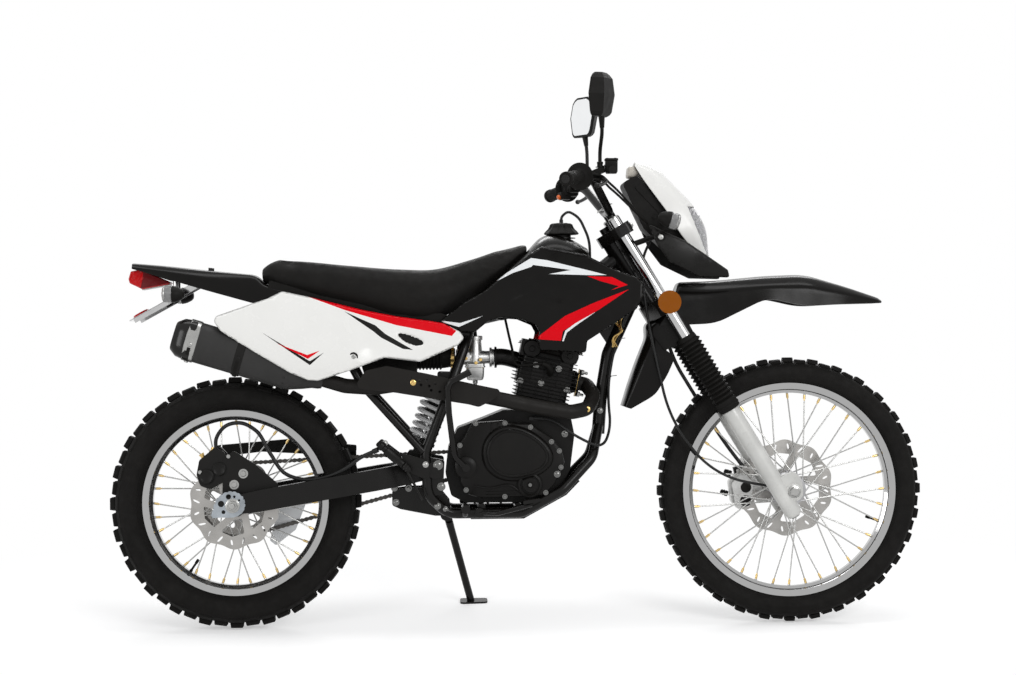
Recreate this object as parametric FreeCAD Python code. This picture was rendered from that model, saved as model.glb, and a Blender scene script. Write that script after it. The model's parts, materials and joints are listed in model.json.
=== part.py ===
import FreeCAD, Part
import math
import os
from FreeCAD import Vector as V

# Dual sport motorcycle, parked on its side stand.
# It is drawn upright, x forward from the rear axle, y to the rider's left, z up from the ground,
# and the finished machine is leaned over to its left onto the stand. Lengths in millimetres.
# Names ending in SHARE or SHARES hold shares of a named size; names ending in DEG hold degrees.

# Driving dimensions
WHEELBASE = 1450.0
FRONT_TYRE_R = 346.5
REAR_TYRE_R = 327.0
RAKE_DEG = 31.0
LEAN_DEG = 9.0
FORK_LENGTH = 810.0          # from the front axle up to the middle of the upper yoke
YOKE_OFFSET = 28.0           # fork legs ahead of the steering axis
AXLE_LEAD = 29.0             # front axle ahead of the fork legs
SEAT_GAP = 0.3               # between pieces that rest on each other
RUNNING_GAP = 0.05           # radial, between a shaft and what turns on it
OVERRUN = 2.0                # how far a cutting solid runs past the face it cuts

# Steering axis: UP runs along it, AHEAD square to it
RAKE = math.radians(RAKE_DEG)
UP = V(-math.sin(RAKE), 0, math.cos(RAKE))
AHEAD = V(math.cos(RAKE), 0, math.sin(RAKE))
LEFT = V(0, 1, 0)
FRONT_TYRE_HALF = 41.0
REAR_TYRE_HALF = 54.0
CENTRE_WIDE_SHARE = 0.46     # tread's centre blocks: half their width, as a share of the tyre's half width
GROUND_RISE = math.tan(math.radians(LEAN_DEG))   # how the ground rises to the left, seen from the machine
FRONT_AXLE = V(WHEELBASE, 0, FRONT_TYRE_R + FRONT_TYRE_HALF * CENTRE_WIDE_SHARE * GROUND_RISE)
REAR_AXLE = V(0, 0, REAR_TYRE_R + REAR_TYRE_HALF * CENTRE_WIDE_SHARE * GROUND_RISE)
STEER_FOOT = FRONT_AXLE - AHEAD * (YOKE_OFFSET + AXLE_LEAD)

UPPER_YOKE_THICK = 30.0
LOWER_YOKE_THICK = 44.0
LOWER_YOKE_DROP = 222.0      # lower yoke's middle below the upper yoke's
HEAD_TOP = FORK_LENGTH - UPPER_YOKE_THICK / 2 - SEAT_GAP
HEAD_BOTTOM = FORK_LENGTH - LOWER_YOKE_DROP + LOWER_YOKE_THICK / 2 + SEAT_GAP
HEAD_MIDDLE = STEER_FOOT + UP * ((HEAD_TOP + HEAD_BOTTOM) / 2)

# The side view is drawn on two grids. The body grid divides the way from the rear axle to the
# middle of the head tube into REACH_SHARES, and its height above the ground into RISE_SHARES.
# The front grid starts at the front axle, and divides the fork's length into FORK_SHARES.
REACH_SHARES = 1040
RISE_SHARES = 920
FORK_SHARES = 810
REACH_UNIT = HEAD_MIDDLE.x / REACH_SHARES
RISE_UNIT = HEAD_MIDDLE.z / RISE_SHARES
FORK_UNIT = FORK_LENGTH / FORK_SHARES


def body(x_share, z_share, y=0.0):
    """A point on the body grid."""
    return V(x_share * REACH_UNIT, y, z_share * RISE_UNIT)


def front(x_share, z_share, y=0.0):
    """A point on the front grid, which moves with the steering."""
    return FRONT_AXLE + V(x_share * FORK_UNIT, y, z_share * FORK_UNIT)


def steer(ahead, up, y=0.0):
    """A point given along and ahead of the steering axis."""
    return STEER_FOOT + AHEAD * ahead + UP * up + LEFT * y


# General shapes

def rounded_edges(points, radius, closed):
    """Straight runs through the points, joined by tangent arcs; a corner's arc is limited by its runs."""
    count = len(points)
    edges = []
    last = None
    first = None
    corners = range(count) if closed else range(1, count - 1)
    if not closed:
        last = points[0]
    for i in corners:
        before, corner, after = points[i - 1], points[i], points[(i + 1) % count]
        back, ahead = before - corner, after - corner
        turn = math.pi - back.getAngle(ahead)
        room = 0.45 * min(back.Length, ahead.Length)
        cut = min(radius * math.tan(turn / 2), room)
        if turn < 0.02 or cut < 1e-3:
            start = end = corner
            arc = None
        else:
            back.normalize()
            ahead.normalize()
            start, end = corner + back * cut, corner + ahead * cut
            bisector = back + ahead
            bisector.normalize()
            real = cut / math.tan(turn / 2)
            middle = corner + bisector * (real / math.cos(turn / 2) - real)
            arc = Part.Arc(start, middle, end).toShape()
        if last is not None:
            edges.append(Part.LineSegment(last, start).toShape())
        else:
            first = start
        if arc is not None:
            edges.append(arc)
        last = end
    finish = first if closed else points[-1]
    if last.distanceToPoint(finish) > 1e-6:
        edges.append(Part.LineSegment(last, finish).toShape())
    return edges


def face_of(points, radius=0.0):
    return Part.Face(Part.Wire(rounded_edges(points, radius, True)))


def side_plate(points, y_low, y_high, radius=0.0):
    """A plate whose outline is given in the side view, from y_low to y_high."""
    flat = [V(p.x, y_low, p.z) for p in points]
    return face_of(flat, radius).extrude(V(0, y_high - y_low, 0))


def steer_plate(outline, low, high, radius=0.0):
    """A plate square to the steering axis. The outline is (ahead, left), from low to high along the axis."""
    flat = [steer(a, low, y) for a, y in outline]
    return face_of(flat, radius).extrude(UP * (high - low))


def rod(start, end, radius):
    along = end - start
    return Part.makeCylinder(radius, along.Length, start, along)


def pipe(points, radius, bend):
    """A round bar through the points, with bends of the given radius."""
    path = Part.Wire(rounded_edges(points, bend, False))
    ring = Part.Wire([Part.makeCircle(radius, points[0], points[1] - points[0])])
    return path.makePipeShell([ring], True, False)


def lathe(profile, centre, axis, ref):
    """Turns a closed profile of (along, out) about an axis through centre."""
    points = [centre + axis * a + ref * r for a, r in profile]
    points.append(points[0])
    return Part.Face(Part.makePolygon(points)).revolve(centre, axis, 360)


def wheel_lathe(profile, axle):
    return lathe(profile, axle, LEFT, V(0, 0, 1))


def loft(rings, ruled=True):
    """A solid through closed rings of points."""
    wires = [Part.makePolygon(r + [r[0]]) for r in rings]
    return Part.makeLoft(wires, True, ruled)


def mirror(shape):
    return shape.mirror(V(0, 0, 0), V(0, 1, 0))


def both(shape):
    """The shape and its mirror image."""
    return [shape, mirror(shape)]


def joined(shapes):
    """One solid from overlapping ones."""
    whole = shapes[0].multiFuse(shapes[1:]) if len(shapes) > 1 else shapes[0]
    return whole.removeSplitter()


def group(shapes):
    solids = []
    for s in shapes:
        solids.extend(s.Solids)
    return Part.makeCompound(solids)


def thickened(line, thick):
    """The closed ring of an open line of (y, h) points, thickened to the side under a left-to-right line."""
    inner = []
    for i, (y, h) in enumerate(line):
        y0, h0 = line[max(i - 1, 0)]
        y1, h1 = line[min(i + 1, len(line) - 1)]
        run = math.hypot(y1 - y0, h1 - h0)
        inner.append((y - thick * (h1 - h0) / run, h + thick * (y1 - y0) / run))
    return line + inner[::-1]


def section(centre, tilt_deg, ring):
    """Points of (y, h) on a plane square to the side view; tilt turns h from upright towards the front."""
    t = math.radians(tilt_deg)
    rise = V(math.sin(t), 0, math.cos(t))
    return [centre + LEFT * y + rise * h for y, h in ring]


def sheet(stations, thick):
    """A thin panel through stations of (centre, tilt, half line from the left edge to the middle)."""
    rings = []
    for centre, tilt, half in stations:
        line = half + [(-y, h) for y, h in reversed(half) if y > 0]
        rings.append(section(centre, tilt, thickened(line, thick)))
    return loft(rings)


def boss(carrier, piece, start, way, radius):
    """A boss on the piece that reaches back along the way to the carrier, and stops a seat's gap short of it."""
    line = Part.makeLine(start, start + way)
    hits = [v.Point for v in line.common(piece).Vertexes]
    far = min(hits, key=lambda p: p.distanceToPoint(start))
    step = V(way)
    step.normalize()
    moved = carrier.copy()
    moved.translate(step * SEAT_GAP)
    post = rod(start, far + step * SEAT_GAP, radius).cut(moved)
    return max(post.Solids, key=lambda solid: solid.CenterOfMass.sub(start).dot(step))


# Wheels. Each tyre and wheel is turned about its axle; the lugs are blocks on the tread.
RIM_WALL = 2.8
FLANGE_HEIGHT = 13.5
FLANGE_THICK = 2.6
WELL_DEPTH = 10.0
FRONT_BEAD_R = 266.7         # 21 inch rim
REAR_BEAD_R = 228.6          # 18 inch rim
FRONT_RIM_HALF = 22.0
REAR_RIM_HALF = 28.0
FRONT_LUG = 12.0
REAR_LUG = 14.0
FRONT_ROWS = 32
REAR_ROWS = 24
LUG_ROOT = 7.0               # how far a lug reaches into the tread
# (share of the way from bead to crown, share of the tyre's half width)
SIDEWALL_SHARES = [(0.27, 0.74), (0.42, 0.95), (0.62, 1.0), (0.84, 0.94), (0.95, 0.72), (1.0, 0.36)]
# edge block: inner and outer edge, as shares of the half width
EDGE_IN_SHARE = 0.6
EDGE_OUT_SHARE = 1.05
EDGE_TIP_SHARE = 0.972       # edge block's inner corner, as a share of the tyre's radius
EDGE_OUTER_SHARE = 0.93      # and its outer corner
LUG_LENGTH_SHARE = 0.42      # of the spacing from row to row


def tyre(axle, bead_r, rim_half, half, tip_r, lug, rows):
    crown = tip_r - lug
    inside = rim_half - SEAT_GAP
    left = [(inside, bead_r + SEAT_GAP), (inside, bead_r + FLANGE_HEIGHT + SEAT_GAP)]
    for up, out in SIDEWALL_SHARES:
        left.append((half * out, bead_r + (crown - bead_r) * up))
    right = [(-y, r) for y, r in reversed(left)]
    carcass = wheel_lathe(left + right, axle)
    pitch = 2 * math.pi * tip_r / rows
    length = pitch * LUG_LENGTH_SHARE
    wide = half * CENTRE_WIDE_SHARE
    low = crown - LUG_ROOT
    centre = [(-wide, low), (-wide, tip_r), (wide, tip_r), (wide, low)]
    edge = [(half * EDGE_IN_SHARE, low), (half * EDGE_IN_SHARE, tip_r * EDGE_TIP_SHARE),
            (half * EDGE_OUT_SHARE, tip_r * EDGE_OUTER_SHARE),
            (half * EDGE_OUT_SHARE - lug, tip_r * EDGE_OUTER_SHARE - lug)]
    blocks = []
    for outline, phase in ((centre, 0.0), (edge, 0.5), ([(-y, r) for y, r in edge], 0.5)):
        points = [axle + V(-length / 2, y, r) for y, r in outline]
        block = face_of(points).extrude(V(length, 0, 0))
        for row in range(rows):
            turned = block.copy()
            turned.rotate(axle, LEFT, (row + phase) * 360.0 / rows)
            blocks.append(turned)
    return carcass.multiFuse(blocks)


# Hubs and spokes
SPOKES = 36
SPOKE_R = 1.8
SPOKE_OFFSET_DEG = 58.0      # how far round the hub a spoke starts from where it ends
NIPPLE_R = 3.2
NIPPLE_LENGTH = 14.0
HUB_BARREL_R = 24.0
HUB_FLANGE_R = 42.0
HUB_FLANGE_THICK = 5.0
SPOKE_CIRCLE_R = 36.0
SPOKE_STAGGER = 2.2          # either side of the flange's middle
FRONT_FLANGE_Y = 30.0
REAR_FLANGE_Y = 34.0
AXLE_R = 8.5
NIPPLE_SPREAD_SHARES = (0.12, 0.34)   # of the rim's half width


def rim(axle, bead_r, half):
    lip, seat, well = bead_r + FLANGE_HEIGHT, bead_r, bead_r - WELL_DEPTH
    outer = half + FLANGE_THICK
    left = [(outer, seat - RIM_WALL), (outer, lip), (half, lip), (half, seat),
            (half * 0.62, seat), (half * 0.42, well)]
    inner = [(half * 0.5, well - RIM_WALL), (half * 0.7, seat - RIM_WALL - FLANGE_THICK)]
    profile = left + [(-y, r) for y, r in reversed(left)]
    profile += [(-y, r) for y, r in reversed(inner)] + inner
    return wheel_lathe(profile, axle)


def laced_wheel(axle, bead_r, half, flange_y, hub_profile):
    hub = wheel_lathe(hub_profile, axle)
    inside_r = bead_r - WELL_DEPTH - RIM_WALL
    parts = [hub, rim(axle, bead_r, half)]
    for k in range(SPOKES):
        side = 1 if k % 2 == 0 else -1
        lead = 1 if (k // 2) % 2 == 0 else -1
        at_rim = math.radians(k * 360.0 / SPOKES)
        at_hub = at_rim + lead * math.radians(SPOKE_OFFSET_DEG)
        hub_y = side * (flange_y + lead * SPOKE_STAGGER)
        rim_y = side * half * NIPPLE_SPREAD_SHARES[1 if lead > 0 else 0]
        start = axle + V(SPOKE_CIRCLE_R * math.sin(at_hub), hub_y, SPOKE_CIRCLE_R * math.cos(at_hub))
        end = axle + V(inside_r * math.sin(at_rim), rim_y, inside_r * math.cos(at_rim))
        along = end - start
        along.normalize()
        parts.append(rod(start - along * SPOKE_R, end + along * RIM_WALL / 2, SPOKE_R))
        parts.append(rod(end - along * NIPPLE_LENGTH, end + along * RIM_WALL / 2, NIPPLE_R))
    return joined(parts)


FRONT_HUB_HALF = 44.0
REAR_HUB_HALF = 58.0
BOSS_R = 33.0
DISC_THICK = 4.0
FRONT_DISC_Y = 56.0          # disc's inner face, on the left
REAR_DISC_Y = 66.0           # disc's inner face, on the right
SPROCKET_Y = 72.0            # rear sprocket's inner face, on the left
SPROCKET_BOSS_R = 46.0


def hub_profile(flange_y, left_end, right_end, left_boss_r, right_boss_r):
    """Barrel with two spoke flanges, and a boss each side for a disc or sprocket."""
    bore = AXLE_R + RUNNING_GAP
    f = HUB_FLANGE_THICK / 2
    return [
        (left_end, bore), (left_end, left_boss_r), (flange_y + 2 * f + f, left_boss_r),
        (flange_y + f, HUB_FLANGE_R), (flange_y - f, HUB_FLANGE_R), (flange_y - 2 * f - f, HUB_BARREL_R),
        (-flange_y + 2 * f + f, HUB_BARREL_R), (-flange_y + f, HUB_FLANGE_R), (-flange_y - f, HUB_FLANGE_R),
        (-flange_y - 2 * f - f, right_boss_r), (right_end, right_boss_r), (right_end, bore),
    ]


def wheel_front():
    profile = hub_profile(FRONT_FLANGE_Y, FRONT_DISC_Y, -FRONT_HUB_HALF, BOSS_R, BOSS_R)
    return laced_wheel(FRONT_AXLE, FRONT_BEAD_R, FRONT_RIM_HALF, FRONT_FLANGE_Y, profile)


def wheel_rear():
    profile = hub_profile(REAR_FLANGE_Y, SPROCKET_Y, -REAR_DISC_Y, SPROCKET_BOSS_R, BOSS_R)
    return laced_wheel(REAR_AXLE, REAR_BEAD_R, REAR_RIM_HALF, REAR_FLANGE_Y, profile)


def tyre_front():
    return tyre(FRONT_AXLE, FRONT_BEAD_R, FRONT_RIM_HALF, FRONT_TYRE_HALF, FRONT_TYRE_R,
                FRONT_LUG, FRONT_ROWS)


def tyre_rear():
    return tyre(REAR_AXLE, REAR_BEAD_R, REAR_RIM_HALF, REAR_TYRE_HALF, REAR_TYRE_R,
                REAR_LUG, REAR_ROWS)


# Brake discs with a waved edge
FRONT_DISC_R = 128.0
REAR_DISC_R = 118.0
WAVE_DEPTH = 7.0
WAVES = 10
DISC_BAND = 30.0
DISC_ARMS = 6
DISC_BORE_R = 22.0
DISC_ARM = 15.0
DISC_RING = 16.0


def disc(axle, radius, y_low):
    count = WAVES * 8
    points = []
    for i in range(count):
        a = 2 * math.pi * i / count
        r = radius - WAVE_DEPTH / 2 * (1 - math.cos(WAVES * a))
        points.append(axle + V(r * math.sin(a), y_low, r * math.cos(a)))
    edge = Part.BSplineCurve()
    edge.interpolate(points, PeriodicFlag=True)
    blank = Part.Face(Part.Wire([edge.toShape()])).extrude(V(0, DISC_THICK, 0))
    bore_profile = [(y_low - OVERRUN, 0), (y_low - OVERRUN, DISC_BORE_R),
                    (y_low + DISC_THICK + OVERRUN, DISC_BORE_R), (y_low + DISC_THICK + OVERRUN, 0)]
    cuts = [wheel_lathe(bore_profile, axle)]
    inner, outer = DISC_BORE_R + DISC_RING, radius - WAVE_DEPTH - DISC_BAND
    for k in range(DISC_ARMS):
        step = 2 * math.pi / DISC_ARMS
        a0 = k * step + DISC_ARM / 2 / outer + 0.35
        a1 = (k + 1) * step - DISC_ARM / 2 / outer + 0.35
        b0 = k * step + DISC_ARM / 2 / inner
        b1 = (k + 1) * step - DISC_ARM / 2 / inner
        am, bm = (a0 + a1) / 2, (b0 + b1) / 2
        ring = [(inner, b0), (inner, bm), (inner, b1), (outer, a1), (outer, am), (outer, a0)]
        points = [axle + V(r * math.sin(a), y_low - OVERRUN, r * math.cos(a)) for r, a in ring]
        cuts.append(face_of(points, DISC_ARM / 2).extrude(V(0, DISC_THICK + 2 * OVERRUN, 0)))
    return blank.cut(cuts)


def disc_front():
    return disc(FRONT_AXLE, FRONT_DISC_R, FRONT_DISC_Y)


def disc_rear():
    return disc(REAR_AXLE, REAR_DISC_R, -REAR_DISC_Y - DISC_THICK)


# Chain drive
CHAIN_PITCH = 12.7
REAR_TEETH = 48
FRONT_TEETH = 15
ROLLER_R = 4.25
TOOTH_RISE = 4.2             # tip above the pitch circle
SPROCKET_THICK = 7.0
PLATE_HALF = 6.0             # half the height of a link plate
PLATE_THICK = 3.0
PLATE_GAP = 0.7              # between a link plate and the sprocket's side
CHAIN_STRIP_SHARE = 0.66     # of the plates' height, between the plates
GEARBOX = body(606, 424)     # gearbox output shaft
REAR_PITCH_R = CHAIN_PITCH / 2 / math.sin(math.pi / REAR_TEETH)
FRONT_PITCH_R = CHAIN_PITCH / 2 / math.sin(math.pi / FRONT_TEETH)
CHAIN_Y = SPROCKET_Y + SPROCKET_THICK / 2
SPROCKET_WINDOWS = 6
SPROCKET_RIM = 17.0


def toothed(centre, teeth, pitch_r, y_low, thick):
    """A sprocket's blank: a flat tip, straight flanks and a hollow for the roller at each tooth."""
    tip, root = pitch_r + TOOTH_RISE, pitch_r - ROLLER_R
    step = 2 * math.pi / teeth
    points = []
    for k in range(teeth):
        for r, share in ((tip, -0.09), (tip, 0.09), (root, 0.36), (root, 0.64)):
            a = (k + share) * step
            points.append(centre + V(r * math.sin(a), y_low - centre.y, r * math.cos(a)))
    return face_of(points).extrude(V(0, thick, 0))


def sprocket_rear():
    blank = toothed(REAR_AXLE, REAR_TEETH, REAR_PITCH_R, SPROCKET_Y, SPROCKET_THICK)
    low, high = SPROCKET_Y - OVERRUN, SPROCKET_Y + SPROCKET_THICK + OVERRUN
    cuts = [wheel_lathe([(low, 0), (low, DISC_BORE_R), (high, DISC_BORE_R), (high, 0)], REAR_AXLE)]
    inner, outer = SPROCKET_BOSS_R, REAR_PITCH_R - ROLLER_R - SPROCKET_RIM
    step = 2 * math.pi / SPROCKET_WINDOWS
    for k in range(SPROCKET_WINDOWS):
        ring = [(inner, 0.2), (inner, 0.5), (inner, 0.8), (outer, 0.86), (outer, 0.5), (outer, 0.14)]
        points = [REAR_AXLE + V(r * math.sin((k + s) * step), low, r * math.cos((k + s) * step))
                  for r, s in ring]
        cuts.append(face_of(points, SPROCKET_RIM / 3).extrude(V(0, high - low, 0)))
    return blank.cut(cuts)


def belt(offset, y_low, y_high):
    """The outline that a belt round both sprockets fills, offset from the pitch line."""
    centres = (REAR_AXLE, GEARBOX)
    radii = (REAR_PITCH_R + offset, FRONT_PITCH_R + offset)
    span = centres[1] - centres[0]
    along = V(span)
    along.normalize()
    square = V(-along.z, 0, along.x)
    lean = math.asin((radii[0] - radii[1]) / span.Length)
    top = square * math.cos(lean) + along * math.sin(lean)
    under = along * math.sin(lean) - square * math.cos(lean)
    a, b = centres[0] + top * radii[0], centres[1] + top * radii[1]
    c, d = centres[1] + under * radii[1], centres[0] + under * radii[0]
    edges = [Part.LineSegment(a, b).toShape(), Part.Arc(b, centres[1] + along * radii[1], c).toShape(),
             Part.LineSegment(c, d).toShape(), Part.Arc(d, centres[0] - along * radii[0], a).toShape()]
    face = Part.Face(Part.Wire(edges))
    face.translate(V(0, y_low, 0))
    return face.extrude(V(0, y_high - y_low, 0)), (a, b, c, d)


def chain():
    clear = SPROCKET_THICK / 2 + PLATE_GAP
    outer = clear + PLATE_THICK
    plates = []
    for low, high in ((CHAIN_Y - outer, CHAIN_Y - clear), (CHAIN_Y + clear, CHAIN_Y + outer)):
        whole, _ = belt(PLATE_HALF, low, high)
        hole, _ = belt(-PLATE_HALF, low - OVERRUN, high + OVERRUN)
        plates.append(whole.cut(hole))
    _, (a, b, c, d) = belt(0.0, 0.0, OVERRUN)
    half = PLATE_HALF * CHAIN_STRIP_SHARE
    for rear, fore in ((a, b), (d, c)):
        along = fore - rear
        along.normalize()
        start = rear + along * math.sqrt((REAR_PITCH_R + TOOTH_RISE) ** 2 - (REAR_PITCH_R - half) ** 2)
        end = fore - along * math.sqrt((FRONT_PITCH_R + TOOTH_RISE) ** 2 - (FRONT_PITCH_R - half) ** 2)
        start, end = start + along * CHAIN_PITCH, end - along * CHAIN_PITCH
        across = V(-along.z, 0, along.x) * half
        corners = [start + across, end + across, end - across, start - across]
        reach = outer - PLATE_THICK / 2
        plates.append(side_plate(corners, CHAIN_Y - reach, CHAIN_Y + reach))
    return joined(plates)


# Rear axle, with its spacers and the snail-shaped chain adjusters outside the arms
ARM_Y = 104.0                # swingarm arm's inner face at the axle
ARM_THICK = 26.0
ARM_DEPTH = 56.0
ADJUSTER_R = 31.0
ADJUSTER_THICK = 5.0
NUT_R = 14.0
NUT_THICK = 12.0
SPACER_R = 14.0
AXLE_HOLE_GAP = 0.3


def hexagon(centre, axis, radius, thick):
    """A nut or bolt head."""
    side = axis.cross(V(0, 0, 1)) if abs(axis.z) < 0.9 else axis.cross(V(1, 0, 0))
    side.normalize()
    other = axis.cross(side)
    turns = [k * math.pi / 3 for k in range(6)]
    points = [centre + side * (radius * math.cos(a)) + other * (radius * math.sin(a)) for a in turns]
    return face_of(points).extrude(axis * thick)


def rear_axle():
    end = ARM_Y + ARM_THICK + SEAT_GAP
    parts = [rod(REAR_AXLE - LEFT * (end + ADJUSTER_THICK), REAR_AXLE + LEFT * (end + ADJUSTER_THICK), AXLE_R)]
    ends = ((1, SPROCKET_Y + SPROCKET_THICK), (-1, REAR_DISC_Y + DISC_THICK))
    for side, hub_end in ends:
        out = LEFT * side
        inner = REAR_AXLE + out * (hub_end + SEAT_GAP)
        parts.append(rod(inner, REAR_AXLE + out * (ARM_Y - SEAT_GAP), SPACER_R))
        centre = REAR_AXLE + out * end
        cam = centre + V(ADJUSTER_R / 3, 0, ADJUSTER_R / 3)
        parts.append(rod(cam, cam + out * ADJUSTER_THICK, ADJUSTER_R))
        parts.append(hexagon(centre + out * ADJUSTER_THICK, out, NUT_R, NUT_THICK))
    return joined(parts)


# Swingarm: two box arms, a cross tube and the pivot tube
PIVOT = body(520, 415)
PIVOT_R = 22.0
PIVOT_HALF = 88.0
PIVOT_BOLT_R = 8.0
ARM_ROOT_Y = 50.0            # inner face at the pivot
ARM_END = 42.0               # arm's reach behind the axle
CROSS_TUBE_R = 24.0
CROSS_SHARE = 0.81           # along the arm from the axle


def swingarm():
    # (share of the way from axle to pivot, share of the spread, share of the depth)
    stations = [(-ARM_END / PIVOT.x, 1.0, 0.72), (0.0, 1.0, 0.86), (0.14, 0.98, 1.0), (0.72, 0.62, 1.0),
                (0.86, 0.1, 1.0), (1.0, 0.0, 0.8)]
    rings = []
    for way, spread, deep in stations:
        x = REAR_AXLE.x + way * (PIVOT.x - REAR_AXLE.x)
        z = REAR_AXLE.z + way * (PIVOT.z - REAR_AXLE.z)
        inner = ARM_ROOT_Y + spread * (ARM_Y - ARM_ROOT_Y)
        outer = inner + ARM_THICK
        half = ARM_DEPTH * deep / 2
        rings.append([V(x, inner, z - half), V(x, outer, z - half), V(x, outer, z + half),
                      V(x, inner, z + half)])
    arm = loft(rings)
    cross = REAR_AXLE + (PIVOT - REAR_AXLE) * CROSS_SHARE
    across = LEFT * (ARM_ROOT_Y + ARM_THICK / 2)
    parts = both(arm) + [rod(cross - across, cross + across, CROSS_TUBE_R),
                         rod(PIVOT - LEFT * PIVOT_HALF, PIVOT + LEFT * PIVOT_HALF, PIVOT_R)]
    ear_in = SHOCK_EYE_HALF + SEAT_GAP
    ear = side_plate([cross + V(-CROSS_TUBE_R / 2, 0, 0), cross + V(CROSS_TUBE_R, 0, -CROSS_TUBE_R / 2),
                      SHOCK_FOOT + V(SHOCK_EYE_R, 0, -SHOCK_EYE_R), SHOCK_FOOT + V(SHOCK_EYE_R, 0, SHOCK_EYE_R),
                      SHOCK_FOOT + V(-SHOCK_EYE_R, 0, SHOCK_EYE_R)],
                     ear_in, ear_in + PIVOT_PLATE_THICK, PIVOT_PLATE_THICK / 2)
    pin_end = LEFT * (ear_in + PIVOT_PLATE_THICK)
    parts += both(ear) + [rod(SHOCK_FOOT - pin_end, SHOCK_FOOT + pin_end, SHOCK_BAR_R)]
    whole = joined(parts)
    far = LEFT * (ARM_Y + ARM_THICK + OVERRUN)
    axle_hole = rod(REAR_AXLE - far, REAR_AXLE + far, AXLE_R + AXLE_HOLE_GAP)
    pivot_hole = rod(PIVOT - far, PIVOT + far, PIVOT_BOLT_R + SEAT_GAP)
    return whole.cut([axle_hole, pivot_hole])


# Frame: head tube, backbone, front tube and a twin cradle
HEAD_TUBE_R = 27.0
BACKBONE_R = 20.0
FRONT_TUBE_R = 17.0
CRADLE_R = 13.0
CRADLE_BEND = 55.0
CRADLE_Y = 96.0
UPRIGHT_Y = 114.0
BACKBONE_BEND = 120.0
GUSSET_HALF = 4.0
PIVOT_PLATE_THICK = 8.0
PIVOT_NUT_R = 15.0


RAIL_HEIGHT_SHARE = 301
RAIL_HEIGHT = body(0, RAIL_HEIGHT_SHARE).z
BACKBONE_SHARES = [(900, 880), (780, 838), (606, 799)]
FRONT_TUBE_SHARES = [(978, 708), (957, 590), (950, 500)]
# (grid x, grid z, y in millimetres) along the left cradle, from the front tube round to the backbone
CRADLE_ROUTE = [(950, 520, CRADLE_R), (930, 440, CRADLE_Y * 0.7), (850, 358, CRADLE_Y),
                (745, RAIL_HEIGHT_SHARE, CRADLE_Y), (552, RAIL_HEIGHT_SHARE, CRADLE_Y), (501, 350, UPRIGHT_Y),
                (496, 460, UPRIGHT_Y), (548, 590, UPRIGHT_Y * 0.9), (600, 730, CRADLE_Y * 0.6),
                (622, 800, CRADLE_R)]
GUSSET_SHARES = [(985, 720), (900, 850), (905, 880)]
STRAP_SHARES = [(488, 350), (540, 350), (545, 440), (488, 450)]
SHOCK_EAR_SHARES = [(574, 632), (580, 664)]
NECK_DROP_SHARE = 1.4        # backbone's end below the head tube's top, in head tube radii
CHIN_RISE_SHARE = 3.0        # front tube's end above the head tube's foot, in its own radii
STUB_REACH_SHARE = 2.6       # stub under the strut, in rail radii
LINK_PLATE_SHARES = [(562, 292), (558, 330), (528, 366), (452, 366), (408, 360), (408, 320), (430, 310),
                     (520, 292)]
LINK_PLATE_Y = 40.0
ENGINE_BAR_R = 10.0
ENGINE_BAR_SHARES = (640, 735)


def neck():
    """Where the backbone meets the head tube."""
    return steer(0, HEAD_TOP - HEAD_TUBE_R * NECK_DROP_SHARE)


def backbone(radius):
    return pipe([neck()] + [body(x, z) for x, z in BACKBONE_SHARES], radius, BACKBONE_BEND)


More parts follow.
